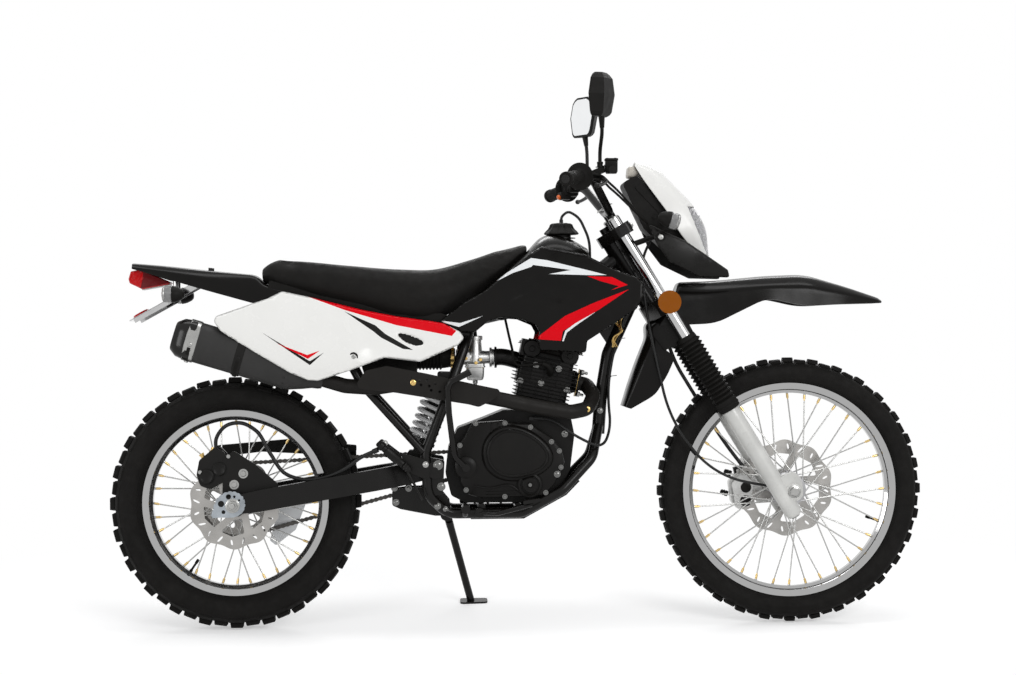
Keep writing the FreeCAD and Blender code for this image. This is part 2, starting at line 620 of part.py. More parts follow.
def frame():
    head = rod(steer(0, HEAD_BOTTOM), steer(0, HEAD_TOP), HEAD_TUBE_R)
    chin = steer(0, HEAD_BOTTOM + FRONT_TUBE_R * CHIN_RISE_SHARE)
    front_tube = pipe([chin] + [body(x, z) for x, z in FRONT_TUBE_SHARES], FRONT_TUBE_R, CRADLE_BEND)
    side = pipe([body(x, z, y) for x, z, y in CRADLE_ROUTE], CRADLE_R, CRADLE_BEND)
    gusset = side_plate([neck(), chin] + [body(x, z) for x, z in GUSSET_SHARES], -GUSSET_HALF, GUSSET_HALF)
    lug_in = PIVOT_HALF + SEAT_GAP
    lug_out = UPRIGHT_Y + CRADLE_R
    lug = rod(PIVOT + LEFT * lug_in, PIVOT + LEFT * lug_out, PIVOT_R)
    strap = side_plate([body(x, z) for x, z in STRAP_SHARES], lug_in, UPRIGHT_Y, PIVOT_PLATE_THICK)
    bolt = rod(PIVOT - LEFT * (lug_out + OVERRUN), PIVOT + LEFT * (lug_out + OVERRUN), PIVOT_BOLT_R)
    bar_end = LEFT * SHOCK_BAR_Y
    shock_bar = rod(SHOCK_TOP - bar_end, SHOCK_TOP + bar_end, SHOCK_BAR_R)
    ear_outline = [SHOCK_TOP + V(-SHOCK_EYE_R, 0, -SHOCK_EYE_R)] + [body(x, z) for x, z in SHOCK_EAR_SHARES]
    ear_outline.append(SHOCK_TOP + V(-SHOCK_EYE_R, 0, SHOCK_EYE_R))
    ear = side_plate(ear_outline, SHOCK_BAR_Y - PIVOT_PLATE_THICK, SHOCK_BAR_Y, PIVOT_PLATE_THICK)
    rear_x, rear_z, rear_y = CRADLE_ROUTE[4]
    bars = [rod(body(rear_x, rear_z, -rear_y), body(rear_x, rear_z, rear_y), CRADLE_R)]
    for x_share in ENGINE_BAR_SHARES:
        at = V(body(x_share, 0).x, 0, body(0, CASE_FLOOR_SHARE).z - SEAT_GAP - ENGINE_BAR_R)
        bars.append(rod(at - LEFT * CRADLE_Y, at + LEFT * CRADLE_Y, ENGINE_BAR_R))
    rail_end = LEFT * (RAIL_Y - RAIL_R - SEAT_GAP)
    bars.append(rod(RAIL_JOINT - rail_end, RAIL_JOINT + rail_end, RAIL_R))
    top, foot = STRUT_POINTS[-2:]
    way = foot - top
    way.normalize()
    stub = rod(foot + way * SEAT_GAP, foot + way * (RAIL_R * STUB_REACH_SHARE), RAIL_R)
    link = side_plate([body(x, z) for x, z in LINK_PLATE_SHARES], LINK_PLATE_Y, LINK_PLATE_Y + COVER_LIP,
                      PIVOT_PLATE_THICK)
    plain = [head, backbone(BACKBONE_R), front_tube, gusset, bolt, shock_bar] + bars + both(link)
    whole = joined(plain + both(side) + both(lug) + both(strap) + both(ear) + both(stub) + stand_bracket())
    return whole.cut(rod(steer(0, HEAD_BOTTOM - OVERRUN), steer(0, HEAD_TOP + OVERRUN), STEM_R + RUNNING_GAP))


# Rear shock absorber, between the frame's bar and the bracket on the swingarm's cross tube
SHOCK_TOP = body(545, 650)
SHOCK_FOOT = body(470, 446)
SHOCK_BAR_R = 8.0
SHOCK_BAR_Y = 84.0
SHOCK_EYE_R = 16.0
SHOCK_EYE_HALF = 15.0
SPRING_R = 33.0
SPRING_WIRE_R = 5.5
SPRING_TURNS = 7
DAMPER_R = 24.0


def rear_shock():
    span = SHOCK_TOP - SHOCK_FOOT
    length = span.Length
    along = V(span)
    along.normalize()
    ref = along.cross(LEFT)
    profile = [(0.0, 0.0), (0.0, SHOCK_EYE_R * 0.8), (length * 0.16, SHOCK_EYE_R * 0.8),
               (length * 0.16, SPRING_R + SPRING_WIRE_R), (length * 0.2, SPRING_R + SPRING_WIRE_R)]
    turns_low, turns_high = 0.2, 0.8
    for k in range(SPRING_TURNS):
        for share, out in ((0.25, SPRING_WIRE_R), (0.75, -SPRING_WIRE_R)):
            way = turns_low + (turns_high - turns_low) * (k + share) / SPRING_TURNS
            profile.append((length * way, SPRING_R + out))
    profile += [(length * 0.8, SPRING_R + SPRING_WIRE_R), (length * 0.84, SPRING_R + SPRING_WIRE_R),
                (length * 0.84, DAMPER_R), (length * 0.95, SHOCK_EYE_R * 0.8), (length, SHOCK_EYE_R * 0.8),
                (length, 0.0)]
    strut = lathe(profile, SHOCK_FOOT, along, ref)
    half = LEFT * SHOCK_EYE_HALF
    eyes = [rod(end - half, end + half, SHOCK_EYE_R) for end in (SHOCK_TOP, SHOCK_FOOT)]
    past = LEFT * (SHOCK_EYE_HALF + OVERRUN)
    holes = [rod(end - past, end + past, SHOCK_BAR_R + SEAT_GAP) for end in (SHOCK_TOP, SHOCK_FOOT)]
    return joined([strut] + eyes).cut(holes)


# Subframe: seat rails and their struts
RAIL_R = 11.0
RAIL_Y = 74.0
RAIL_BEND = 120.0
STRUT_Y = 96.0
RAIL_JOINT = body(602, 764)
STRUT_POINTS = [body(225, 845, RAIL_Y), body(330, 640, STRUT_Y), body(472, 482, UPRIGHT_Y)]
TAIL_BAR = body(-60, 900)
TAIL_BAR_Y = RAIL_Y * 0.85
RAIL_ROUTE = [(430, 792.4, RAIL_Y), (270, 836.6, RAIL_Y), (-70, 902, TAIL_BAR_Y)]   # (grid x, grid z, y)
FORE_BAR = body(506, 780)
BAR_R_SHARE = 0.8            # cross bars' radius, as a share of the rails'
POST_R_SHARE = 0.7


def subframe():
    route = [RAIL_JOINT + V(RAIL_R, RAIL_Y, 0)] + [body(x, z, y) for x, z, y in RAIL_ROUTE]
    rail = pipe(route, RAIL_R, RAIL_BEND)
    strut = pipe(STRUT_POINTS, RAIL_R, RAIL_BEND)
    tail_end = LEFT * TAIL_BAR_Y
    fore_end = LEFT * RAIL_Y
    bars = [rod(TAIL_BAR - tail_end, TAIL_BAR + tail_end, RAIL_R * BAR_R_SHARE),
            rod(FORE_BAR - fore_end, FORE_BAR + fore_end, RAIL_R * BAR_R_SHARE)]
    whole = joined(both(rail) + both(strut) + bars)
    lift = V(0, 0, CAP_R * 2)
    core = rod(TAIL_BAR - tail_end, TAIL_BAR + tail_end, RAIL_R * POST_R_SHARE)
    post = boss(rear_fender(), core, TAIL_BAR + lift, lift * -1, RAIL_R * POST_R_SHARE)
    return joined([whole, post])


# Skins: side panels and shrouds are curved sheets trimmed to an outline in the side view.
# Their lines across are given in shares of SKIN_HALF, and their heights on the grid they are drawn on.
SKIN_HALF = 100.0
SKIN_THICK = 3.5


def skin(grid, outline_shares, station_shares, thick, radius):
    """The left-hand panel: sheets through the stations' lines, from low to high, trimmed to the outline."""
    rings = []
    for x_share, line_shares in station_shares:
        line = [(y * SKIN_HALF, grid(x_share, z).z) for y, z in line_shares]
        x = grid(x_share, 0).x
        rings.append([V(x, y, z) for y, z in thickened(line, thick)])
    trim = side_plate([grid(x, z) for x, z in outline_shares], 0, 3 * SKIN_HALF, radius)
    return loft(rings).common(trim)


# Engine. The crankcase and gearbox are one heavy block, with a cover each side.
CASE_HALF = 62.0
CASE_FLOOR_SHARE = 326
CASE_OUTLINE_SHARES = [(562, 345), (548, 400), (556, 470), (580, 520), (655, 548), (700, 566), (872, 562),
                       (884, 500), (872, 410), (838, 345), (800, CASE_FLOOR_SHARE), (600, CASE_FLOOR_SHARE)]
RIGHT_OUTLINE_SHARES = [(590, 352), (583, 430), (590, 488), (606, 527), (673, 537), (770, 522), (852, 508),
                        (851, 440), (829, 375), (796, 345), (633, 340)]
RIGHT_COVER_Y = 104.0
CLUTCH = body(734, 448)
CLUTCH_R = 76.0
CLUTCH_Y = 126.0
OIL_CAP = body(765, 374)
OIL_CAP_R = 22.0
LEFT_COVER_Y = 100.0
GENERATOR = body(765, 440)
GENERATOR_R = 74.0
COVER_FILLET = 10.0
COVER_LIP = 4.0
SPROCKET_COVER_SHARES = [(572, 372), (560, 424), (576, 476), (640, 486), (720, 470), (720, 400), (650, 372)]
BORE_TILT_DEG = 12.0
BORE_FOOT = body(790, 560)
FIN_THICK = 2.6
FIN_PITCH = 9.4
BARREL_FINS = 7
HEAD_FINS = 8
BARREL_HALF = 74.0
HEAD_HALF = 84.0
BARREL_CORE_SHARE = 0.72
CAM_COVER_HEIGHT = 42.0
FIN_CORNER = 14.0


def engine_cases():
    block = side_plate([body(x, z) for x, z in CASE_OUTLINE_SHARES], -CASE_HALF, CASE_HALF, COVER_FILLET)
    deck = bore_block(HEAD_HALF, HEAD_HALF, -SEAT_GAP, BARREL_HALF, FIN_CORNER)
    block = block.cut(deck)
    shaft = rod(GEARBOX, GEARBOX + LEFT * (CHAIN_Y + SPROCKET_THICK), SPACER_R)
    sprocket = toothed(GEARBOX, FRONT_TEETH, FRONT_PITCH_R, SPROCKET_Y, SPROCKET_THICK)
    return joined([block, shaft, sprocket])


def engine_covers():
    inner = CASE_HALF + SEAT_GAP
    right = side_plate([body(x, z) for x, z in RIGHT_OUTLINE_SHARES], -RIGHT_COVER_Y, -inner, 2 * COVER_FILLET)
    rise = CLUTCH_Y - RIGHT_COVER_Y
    dome = [(-RIGHT_COVER_Y, 0), (-RIGHT_COVER_Y + COVER_LIP, CLUTCH_R),
            (-RIGHT_COVER_Y - rise * 0.5, CLUTCH_R), (-CLUTCH_Y, CLUTCH_R - rise * 0.6), (-CLUTCH_Y, 0)]
    cap = [(-RIGHT_COVER_Y + COVER_LIP, 0), (-RIGHT_COVER_Y + COVER_LIP, OIL_CAP_R),
           (-RIGHT_COVER_Y - COVER_LIP, OIL_CAP_R), (-RIGHT_COVER_Y - COVER_FILLET, OIL_CAP_R * 0.7),
           (-RIGHT_COVER_Y - COVER_FILLET, 0)]
    right = joined([right, wheel_lathe(dome, CLUTCH), wheel_lathe(cap, OIL_CAP)])
    bulge = [(inner, 0), (inner, GENERATOR_R), (LEFT_COVER_Y - COVER_FILLET, GENERATOR_R),
             (LEFT_COVER_Y, GENERATOR_R - COVER_FILLET), (LEFT_COVER_Y, 0)]
    left = wheel_lathe(bulge, GENERATOR)
    guard_low = CHAIN_Y + SPROCKET_THICK / 2 + PLATE_GAP + PLATE_THICK + COVER_LIP
    guard = side_plate([body(x, z) for x, z in SPROCKET_COVER_SHARES], guard_low, guard_low + COVER_LIP,
                       COVER_FILLET)
    return group([right, joined([left, guard])])


def bore_point(ahead, up, y=0.0):
    """A point in the cylinder's own frame, which leans forward."""
    tilt = math.radians(BORE_TILT_DEG)
    forward = V(math.cos(tilt), 0, -math.sin(tilt))
    rise = V(math.sin(tilt), 0, math.cos(tilt))
    return BORE_FOOT + forward * ahead + rise * up + LEFT * y


def bore_block(half_long, half_wide, low, high, corner):
    """A rounded block about the cylinder's axis."""
    corners = [(-half_long, -half_wide), (half_long, -half_wide), (half_long, half_wide), (-half_long, half_wide)]
    face = face_of([bore_point(a, low, y) for a, y in corners], corner)
    return face.extrude(bore_point(0, high) - bore_point(0, low))


def engine_cylinder():
    barrel_top = FIN_PITCH * BARREL_FINS
    head_top = barrel_top + FIN_PITCH * HEAD_FINS
    core = BARREL_HALF * BARREL_CORE_SHARE
    parts = [bore_block(core, core, 0, head_top, FIN_CORNER)]
    for k in range(BARREL_FINS):
        low = FIN_PITCH * (k + 0.6)
        parts.append(bore_block(BARREL_HALF, BARREL_HALF, low, low + FIN_THICK, FIN_CORNER))
    for k in range(HEAD_FINS):
        low = barrel_top + FIN_PITCH * (k + 0.6)
        parts.append(bore_block(HEAD_HALF, BARREL_HALF, low, low + FIN_THICK, FIN_CORNER))
    parts.append(bore_block(BARREL_HALF, core, head_top, head_top + CAM_COVER_HEIGHT, FIN_CORNER))
    port_up = barrel_top + HEAD_HALF / 3
    port = rod(bore_point(core, port_up), bore_point(HEAD_HALF + FIN_THICK, port_up), PORT_R)
    intake = pipe([bore_point(-core / 2, barrel_top + HEAD_HALF * 0.6), INTAKE + V(INTAKE_R, 0, 0),
                   INTAKE + V(SEAT_GAP, 0, 0)], INTAKE_R, INTAKE_R)
    return joined(parts + [port, intake])


# Intake: carburettor between the cylinder head and the airbox's rubber boot
INTAKE_R = 22.0
PORT_R = 27.0
INTAKE = body(678, 702)
BOOT_START = body(578, 702)
AIRBOX_FRONT = body(472, 702)
BOWL_R = 23.0
BOWL_DEPTH = 64.0
SLIDE_TOP = 48.0
AIRBOX_HALF = RAIL_Y - RAIL_R - SEAT_GAP
AIRBOX_OUTLINE_SHARES = [(336, 660), (330, 800), (472, 786), (472, 650)]
BOOT_R = 29.0


def carburettor():
    middle = (INTAKE + BOOT_START) * 0.5
    barrel = rod(BOOT_START, INTAKE, INTAKE_R)
    bowl = rod(middle - V(0, 0, BOWL_DEPTH), middle, BOWL_R)
    top = rod(middle, middle + V(0, 0, SLIDE_TOP), BOWL_R * 0.9)
    return joined([barrel, bowl, top])


def airbox():
    box = side_plate([body(x, z) for x, z in AIRBOX_OUTLINE_SHARES], -AIRBOX_HALF, AIRBOX_HALF, FIN_CORNER)
    back = V(SEAT_GAP, 0, 0)
    boot = rod(AIRBOX_FRONT - V(COVER_LIP, 0, 0), BOOT_START - back, BOOT_R)
    return joined([box, boot])


# Exhaust
PIPE_R = 19.0
PIPE_BEND = 46.0
PIPE_ROUTE_SHARES = [(936, 602, -0.52), (918, 568, -0.98), (872, 560, -1.22), (790, 574, -1.3),
                     (640, 606, -1.36), (450, 640, -1.38), (366, 628, -1.36)]
SILENCER_FRONT = body(236, 650)
SILENCER_REAR = body(-132, 762)
SILENCER_Y = 121.0
SILENCER_TALL = 53.0
SILENCER_WIDE = 38.0
HANGER_R = 6.0
HANGER_TOP_SHARES = (40, 882)
HANGER_FOOT_SHARES = (40, 720)
# (share of the can's length, share of its girth)
CAN_STATION_SHARES = [(0.0, 0.45), (0.05, 0.5), (0.22, 1.0), (0.93, 1.0), (0.98, 0.9), (1.0, 0.7)]


def exhaust_pipe():
    up = FIN_PITCH * BARREL_FINS + HEAD_HALF / 3
    route = [bore_point(HEAD_HALF + FIN_THICK + SEAT_GAP, up), bore_point(HEAD_HALF + PIPE_R * 1.5, up)]
    route += [body(x, z, y * SKIN_HALF) for x, z, y in PIPE_ROUTE_SHARES]
    way = SILENCER_FRONT - SILENCER_REAR
    way.normalize()
    mouth = SILENCER_FRONT - LEFT * SILENCER_Y
    route += [mouth + way * (PIPE_R * 3), mouth + way * SEAT_GAP]
    return pipe(route, PIPE_R, PIPE_BEND)


def oval(centre, along, tall, wide, count=16):
    rise = V(-along.z, 0, along.x)
    rise.normalize()
    points = []
    for k in range(count):
        a = 2 * math.pi * k / count
        points.append(centre + rise * (tall * math.cos(a)) + LEFT * (wide * math.sin(a)))
    return points


def silencer():
    span = SILENCER_REAR - SILENCER_FRONT
    along = V(-span.x, 0, -span.z)
    rings = []
    for way, size in CAN_STATION_SHARES:
        centre = SILENCER_FRONT + span * way - LEFT * SILENCER_Y
        rings.append(oval(centre, along, SILENCER_TALL * size, SILENCER_WIDE * size))
    can = loft(rings)
    start = body(*HANGER_TOP_SHARES, -RAIL_Y * 0.9)
    return joined([can, boss(subframe(), can, start, body(*HANGER_FOOT_SHARES, -SILENCER_Y) - start, HANGER_R)])


SHIELD_OUTLINE_SHARES = [(700, 619), (634, 633), (500, 664), (398, 684), (345, 673), (312, 628), (419, 616),
                         (607, 584), (634, 577), (664, 592)]
SHIELD_GAP = 6.0
SHIELD_POST_SHARES = [(620, 610), (430, 637)]
SHIELD_POST_SHARE = 1.3      # posts' y, and the pipe's middle behind the shield, as shares of SKIN_HALF
SHIELD_PIPE_SHARE = 1.36
SHIELD_HOLE_SHARES = [(462, 652), (482, 646), (502, 646), (522, 638), (486, 635), (507, 632), (512, 621),
                      (534, 617)]
SHIELD_HOLE_R = 3.6


def heat_shield():
    low = SHIELD_PIPE_SHARE * SKIN_HALF + PIPE_R + SHIELD_GAP
    plate = side_plate([body(x, z) for x, z in SHIELD_OUTLINE_SHARES], -low - SKIN_THICK, -low, FIN_CORNER)
    pipe_shape = exhaust_pipe()
    posts = [boss(pipe_shape, plate, body(x, z, -SHIELD_POST_SHARE * SKIN_HALF), LEFT * -SKIN_HALF, COVER_LIP)
             for x, z in SHIELD_POST_SHARES]
    deep = LEFT * (low + SKIN_THICK + OVERRUN)
    near = LEFT * (low - OVERRUN)
    holes = [rod(body(x, z) - deep, body(x, z) - near, SHIELD_HOLE_R) for x, z in SHIELD_HOLE_SHARES]
    return joined([plate] + posts).cut(holes)


# Fuel tank, its cap and the shrouds
TANK_STATION_SHARES = [
    (640, [(0.0, 822), (0.55, 822), (0.72, 842), (0.74, 858), (0.6, 868), (0.0, 873)]),
    (700, [(0.0, 828), (0.75, 800), (1.0, 850), (1.02, 884), (0.78, 912), (0.0, 922)]),
    (762, [(0.0, 850), (0.62, 830), (1.08, 805), (1.14, 900), (0.86, 958), (0.0, 974)]),
    (800, [(0.0, 868), (0.56, 850), (1.12, 800), (1.2, 900), (0.9, 985), (0.0, 1014)]),
    (880, [(0.0, 905), (0.5, 880), (1.12, 830), (1.2, 905), (0.9, 985), (0.0, 1012)]),
    (925, [(0.0, 912), (0.5, 900), (1.0, 850), (1.08, 905), (0.82, 962), (0.0, 985)]),
]
CAP_CENTRE = body(858, 1012)
CAP_R = 38.0
CAP_HEIGHT = 40.0


def tank_body():
    rings = []
    for x_share, half in TANK_STATION_SHARES:
        left = [body(x_share, z, y * SKIN_HALF) for y, z in half]
        right = [body(x_share, z, -y * SKIN_HALF) for y, z in half[-2:0:-1]]
        rings.append(left + right)
    return loft(rings)


def tank_cap():
    profile = [(-COVER_FILLET * 2, 0), (-COVER_FILLET * 2, CAP_R * 0.8), (SEAT_GAP, CAP_R * 0.8),
               (SEAT_GAP, CAP_R), (CAP_HEIGHT * 0.3, CAP_R), (CAP_HEIGHT * 0.5, CAP_R * 0.6),
               (CAP_HEIGHT, CAP_R * 0.35), (CAP_HEIGHT, 0)]
    return lathe(profile, CAP_CENTRE, V(0, 0, 1), V(1, 0, 0))


def fuel_tank():
    well = lathe([(-CAP_HEIGHT, 0), (-CAP_HEIGHT, CAP_R + COVER_LIP), (CAP_HEIGHT, CAP_R + COVER_LIP),
                  (CAP_HEIGHT, 0)], CAP_CENTRE, V(0, 0, 1), V(1, 0, 0))
    collar = lathe([(-CAP_HEIGHT, CAP_R * 0.8 + SEAT_GAP), (-CAP_HEIGHT, CAP_R + COVER_LIP),
                    (0, CAP_R + COVER_LIP), (0, CAP_R * 0.8 + SEAT_GAP)], CAP_CENTRE, V(0, 0, 1), V(1, 0, 0))
    tunnel = backbone(BACKBONE_R + SEAT_GAP)
    return joined([tank_body().cut([well, tunnel]), collar])


SHROUD_OUTLINE_SHARES = [(652, 874), (768, 968), (801, 988), (912, 966), (990, 925), (1049, 903), (1059, 890),
                         (1058, 855), (1041, 824), (914, 743), (911, 713), (792, 720), (787, 747), (792, 766),
                         (782, 785), (744, 801), (690, 805), (658, 794), (625, 767), (594, 769), (534, 797),
                         (599, 845)]
SHROUD_STATION_SHARES = [
    (520, [(1.02, 700), (1.05, 790), (0.98, 880), (0.9, 1000)]),
    (650, [(1.2, 700), (1.24, 800), (1.16, 900), (1.0, 1000)]),
    (790, [(1.4, 700), (1.46, 800), (1.36, 900), (1.14, 1000)]),
    (920, [(1.5, 700), (1.56, 800), (1.42, 900), (1.12, 1000)]),
    (1062, [(1.62, 700), (1.66, 800), (1.56, 900), (1.5, 1000)]),
]
SHROUD_RADIUS = 6.0
SHROUD_BOSS_SHARES = [(800, 905), (700, 870), (900, 880)]


def tank_shrouds():
    shroud = skin(body, SHROUD_OUTLINE_SHARES, SHROUD_STATION_SHARES, SKIN_THICK, SHROUD_RADIUS)
    tank = tank_body()
    posts = [boss(tank, shroud, body(x, z, SKIN_HALF / 2), LEFT * 2 * SKIN_HALF, COVER_LIP)
             for x, z in SHROUD_BOSS_SHARES]
    return group(both(joined([shroud] + posts)))


# Seat, side panels and tail
SEAT_STATION_SHARES = [
    (88, [(0.0, 912), (0.7, 908), (0.84, 918), (0.8, 934), (0.0, 944)]),
    (150, [(0.0, 884), (0.86, 882), (1.04, 905), (0.98, 938), (0.0, 956)]),
    (300, [(0.0, 842), (0.9, 840), (1.12, 872), (1.04, 922), (0.0, 944)]),
    (430, [(0.0, 808), (0.9, 804), (1.1, 838), (1.02, 908), (0.0, 934)]),
    (530, [(0.0, 806), (0.86, 802), (1.02, 836), (0.92, 904), (0.0, 934)]),
    (600, [(0.0, 852), (0.8, 850), (0.86, 866), (0.76, 926), (0.0, 952)]),
    (652, [(0.0, 888), (0.74, 887), (0.76, 896), (0.66, 948), (0.0, 968)]),
    (705, [(0.0, 932), (0.68, 930), (0.7, 938), (0.56, 974), (0.0, 988)]),
    (750, [(0.0, 970), (0.56, 968), (0.6, 974), (0.46, 996), (0.0, 1004)]),
    (768, [(0.0, 986), (0.48, 984), (0.5, 987), (0.4, 997), (0.0, 1002)]),
]


def seat():
    rings = []
    for x_share, half in SEAT_STATION_SHARES:
        left = [body(x_share, z, y * SKIN_HALF) for y, z in half]
        right = [body(x_share, z, -y * SKIN_HALF) for y, z in half[-2:0:-1]]
        rings.append(left + right)
    return loft(rings)


PANEL_OUTLINE_SHARES = [(130, 876), (208, 854), (489, 783), (528, 780), (582, 764), (600, 754), (582, 735),
                        (484, 693), (393, 705), (304, 673), (223, 648), (197, 650), (152, 669), (56, 726),
                        (-25, 777), (-43, 802), (-38, 815), (51, 846), (91, 859)]
PANEL_STATION_SHARES = [
    (-60, [(1.62, 760), (1.5, 800), (1.2, 850), (0.96, 900)]),
    (150, [(1.7, 640), (1.64, 720), (1.42, 800), (1.0, 900)]),
    (300, [(1.7, 640), (1.6, 720), (1.34, 790), (1.0, 880)]),
    (480, [(1.5, 640), (1.44, 700), (1.24, 770), (1.1, 850)]),
    (610, [(1.4, 680), (1.3, 740), (1.14, 780), (1.1, 840)]),
]
PANEL_BOSS_SHARES = [(272, 738), (556, 767)]
WINDOW_SHARES = [(425, 766), (445, 764), (489, 747), (493, 739), (476, 736), (448, 745)]


def side_panels():
    panel = skin(body, PANEL_OUTLINE_SHARES, PANEL_STATION_SHARES, SKIN_THICK, SHROUD_RADIUS)
    window = side_plate([body(x, z) for x, z in WINDOW_SHARES], 0, 3 * SKIN_HALF, COVER_LIP)
    rails = subframe()
    posts = [boss(rails, panel, body(x, z, RAIL_Y), LEFT * 2 * SKIN_HALF, COVER_LIP)
             for x, z in PANEL_BOSS_SHARES]
    return group(both(joined([panel.cut(window)] + posts)))


TAIL_STATION_SHARES = [
    (176, 871.6, 0.0, [(0.94, -0.4), (0.92, -0.1), (0.86, 0.0), (0.0, 0.02)]),
    (98, 894, 0.0, [(0.92, -0.5), (0.9, -0.14), (0.8, 0.0), (0.0, 0.04)]),
    (76, 920, 0.0, [(0.9, -0.74), (0.88, -0.3), (0.74, 0.0), (0.0, 0.05)]),
    (-60, 940, 0.0, [(0.86, -0.52), (0.83, -0.2), (0.64, 0.0), (0.0, 0.06)]),
    (-180, 952, 0.0, [(0.7, -0.3), (0.66, -0.12), (0.5, 0.0), (0.0, 0.05)]),
    (-256, 956, 0.0, [(0.5, -0.16), (0.48, -0.1), (0.4, -0.02), (0.0, 0.02)]),
]


def skin_stations(grid, station_shares):
    stations = []
    for x_share, z_share, tilt_deg, half in station_shares:
        line = [(y * SKIN_HALF, h * SKIN_HALF) for y, h in half]
        stations.append((grid(x_share, z_share), tilt_deg, line))
    return stations


def rear_fender():
    return sheet(skin_stations(body, TAIL_STATION_SHARES), SKIN_THICK)


LAMP_OUTLINE_SHARES = [(-272, 914), (-266, 934), (-242, 938), (-156, 902), (-236, 887), (-269, 903)]
LAMP_HALF = 42.0
LAMP_POST_SHARES = (-212, 975)
PLATE_WIDTH = 140.0
PLATE_SHEET = 2.5
PLATE_TOP = body(-146, 872)
PLATE_FOOT = body(-268, 806)
PLATE_HOLE_R = 3.5
PLATE_HOLE_Y = 56.0


def tail_lamp():
    lamp = side_plate([body(x, z) for x, z in LAMP_OUTLINE_SHARES], -LAMP_HALF, LAMP_HALF, COVER_LIP)
    drop = V(0, 0, -2 * SKIN_HALF)
    return joined([lamp, boss(rear_fender(), lamp, body(*LAMP_POST_SHARES), drop, 2 * HANGER_R)])


def plate_bracket():
    span = PLATE_FOOT - PLATE_TOP
    back = V(span)
    back.normalize()
    normal = V(-back.z, 0, back.x)
    half = PLATE_WIDTH / 2
    corners = [PLATE_TOP + LEFT * half, PLATE_FOOT + LEFT * half, PLATE_FOOT - LEFT * half,
               PLATE_TOP - LEFT * half]
    plate = face_of(corners, COVER_LIP * 2).extrude(normal * PLATE_SHEET)
    bar = rod(REAR_BULLET - LEFT * (half + STALK_R), REAR_BULLET + LEFT * (half + STALK_R), STALK_R)
    tail = rear_fender()
    drop = V(0, 0, -2 * SKIN_HALF)
    parts = [plate, bar]
    for side in (1, -1):
        above = V(REAR_BULLET.x, side * PLATE_HOLE_Y * 0.6, REAR_BULLET.z + SKIN_HALF)
        parts.append(boss(tail, bar, above, drop, STALK_R))
    plate = joined(parts)
    holes = []
    for side in (1, -1):
        at = PLATE_TOP + span * 0.8 + LEFT * (side * PLATE_HOLE_Y)
        holes.append(rod(at - normal * OVERRUN, at + normal * (PLATE_SHEET + OVERRUN), PLATE_HOLE_R))
    return plate.cut(holes)


BULLET_R = 22.0
BULLET_LENGTH = 58.0
STALK_R = 6.0
REAR_BULLET = body(-150, 872)
BULLET_Y = 132.0
# (share of the bullet's length, share of its radius), from its tail to its lens
BULLET_SHARES = [(-0.55, 0), (-0.4, 0.7), (-0.1, 1.0), (0.3, 1.0), (0.4, 0.8), (0.45, 0)]


def bullet(centre, reach_in, aim):
    """An indicator: a bullet with its lens at one end, on a stalk that reaches in to y = reach_in."""
    profile = [(BULLET_LENGTH * way, BULLET_R * out) for way, out in BULLET_SHARES]
    body_shape = lathe(profile, centre, aim, V(0, 0, 1))
    stalk = rod(V(centre.x, reach_in, centre.z), centre, STALK_R)
    return joined([body_shape, stalk])


def rear_indicators():
    aim = V(-1, 0, 0)
    return group(both(bullet(REAR_BULLET + LEFT * BULLET_Y, PLATE_WIDTH / 2 + STALK_R + SEAT_GAP, aim)))


# Chain guard, rear brake, pegs, pedals and levers
GUARD_OUTLINE_SHARES = [(-0.6, 1.5), (1.34, 1.65), (3.22, 1.47), (3.22, 1.3), (1.99, 1.24), (0.65, 1.32),
                        (-0.41, 1.2)]
GUARD_WIDE = 22.0
GUARD_TAB_SHARES = (0.56, 0.6)   # along the arm from the axle


def chain_guard():
    low = CHAIN_Y - SPROCKET_THICK
    guard = side_plate(around(REAR_AXLE, REAR_PITCH_R, GUARD_OUTLINE_SHARES), low, low + GUARD_WIDE, COVER_LIP)
    foot = [REAR_AXLE + (PIVOT - REAR_AXLE) * way + V(0, 0, ARM_DEPTH / 2 + SEAT_GAP) for way in GUARD_TAB_SHARES]
    top = [foot[1] + V(0, 0, ARM_DEPTH), foot[0] + V(0, 0, ARM_DEPTH)]
    tab = side_plate(foot + top, low + GUARD_WIDE - COVER_LIP, low + GUARD_WIDE + COVER_LIP)
    return joined([guard, tab])


# Outlines round an axle are in shares of the disc's or sprocket's radius, ahead of the axle and above it
CALIPER_OUTLINE_SHARES = [(-0.78, 0.76), (-0.34, 1.24), (-0.03, 0.93), (-0.17, 0.53), (-0.53, 0.36)]
BRACKET_OUTLINE_SHARES = [(-0.22, -0.17), (0.2, -0.2), (0.51, 0.09), (0.95, 0.4), (0.51, 0.85), (-0.03, 1.16),
                          (-0.25, 0.94)]


def around(axle, radius, shares):
    return [axle + V(x * radius, 0, z * radius) for x, z in shares]


def rear_brake():
    disc_low = REAR_DISC_Y + DISC_THICK
    caliper = side_plate(around(REAR_AXLE, REAR_DISC_R, CALIPER_OUTLINE_SHARES), -ARM_Y + COVER_LIP,
                         -REAR_DISC_Y + COVER_FILLET * 1.6, COVER_FILLET)
    slot = rod(REAR_AXLE - LEFT * (disc_low + COVER_LIP / 2), REAR_AXLE - LEFT * (REAR_DISC_Y - COVER_LIP / 2),
               REAR_DISC_R + COVER_LIP)
    plate = side_plate(around(REAR_AXLE, REAR_DISC_R, BRACKET_OUTLINE_SHARES), -ARM_Y + COVER_LIP,
                       -ARM_Y + 3 * COVER_LIP, COVER_FILLET)
    past = LEFT * (ARM_Y + ARM_THICK)
    hole = rod(REAR_AXLE - past, REAR_AXLE, SPACER_R + SEAT_GAP)
    return joined([caliper.cut(slot), plate]).cut(hole)


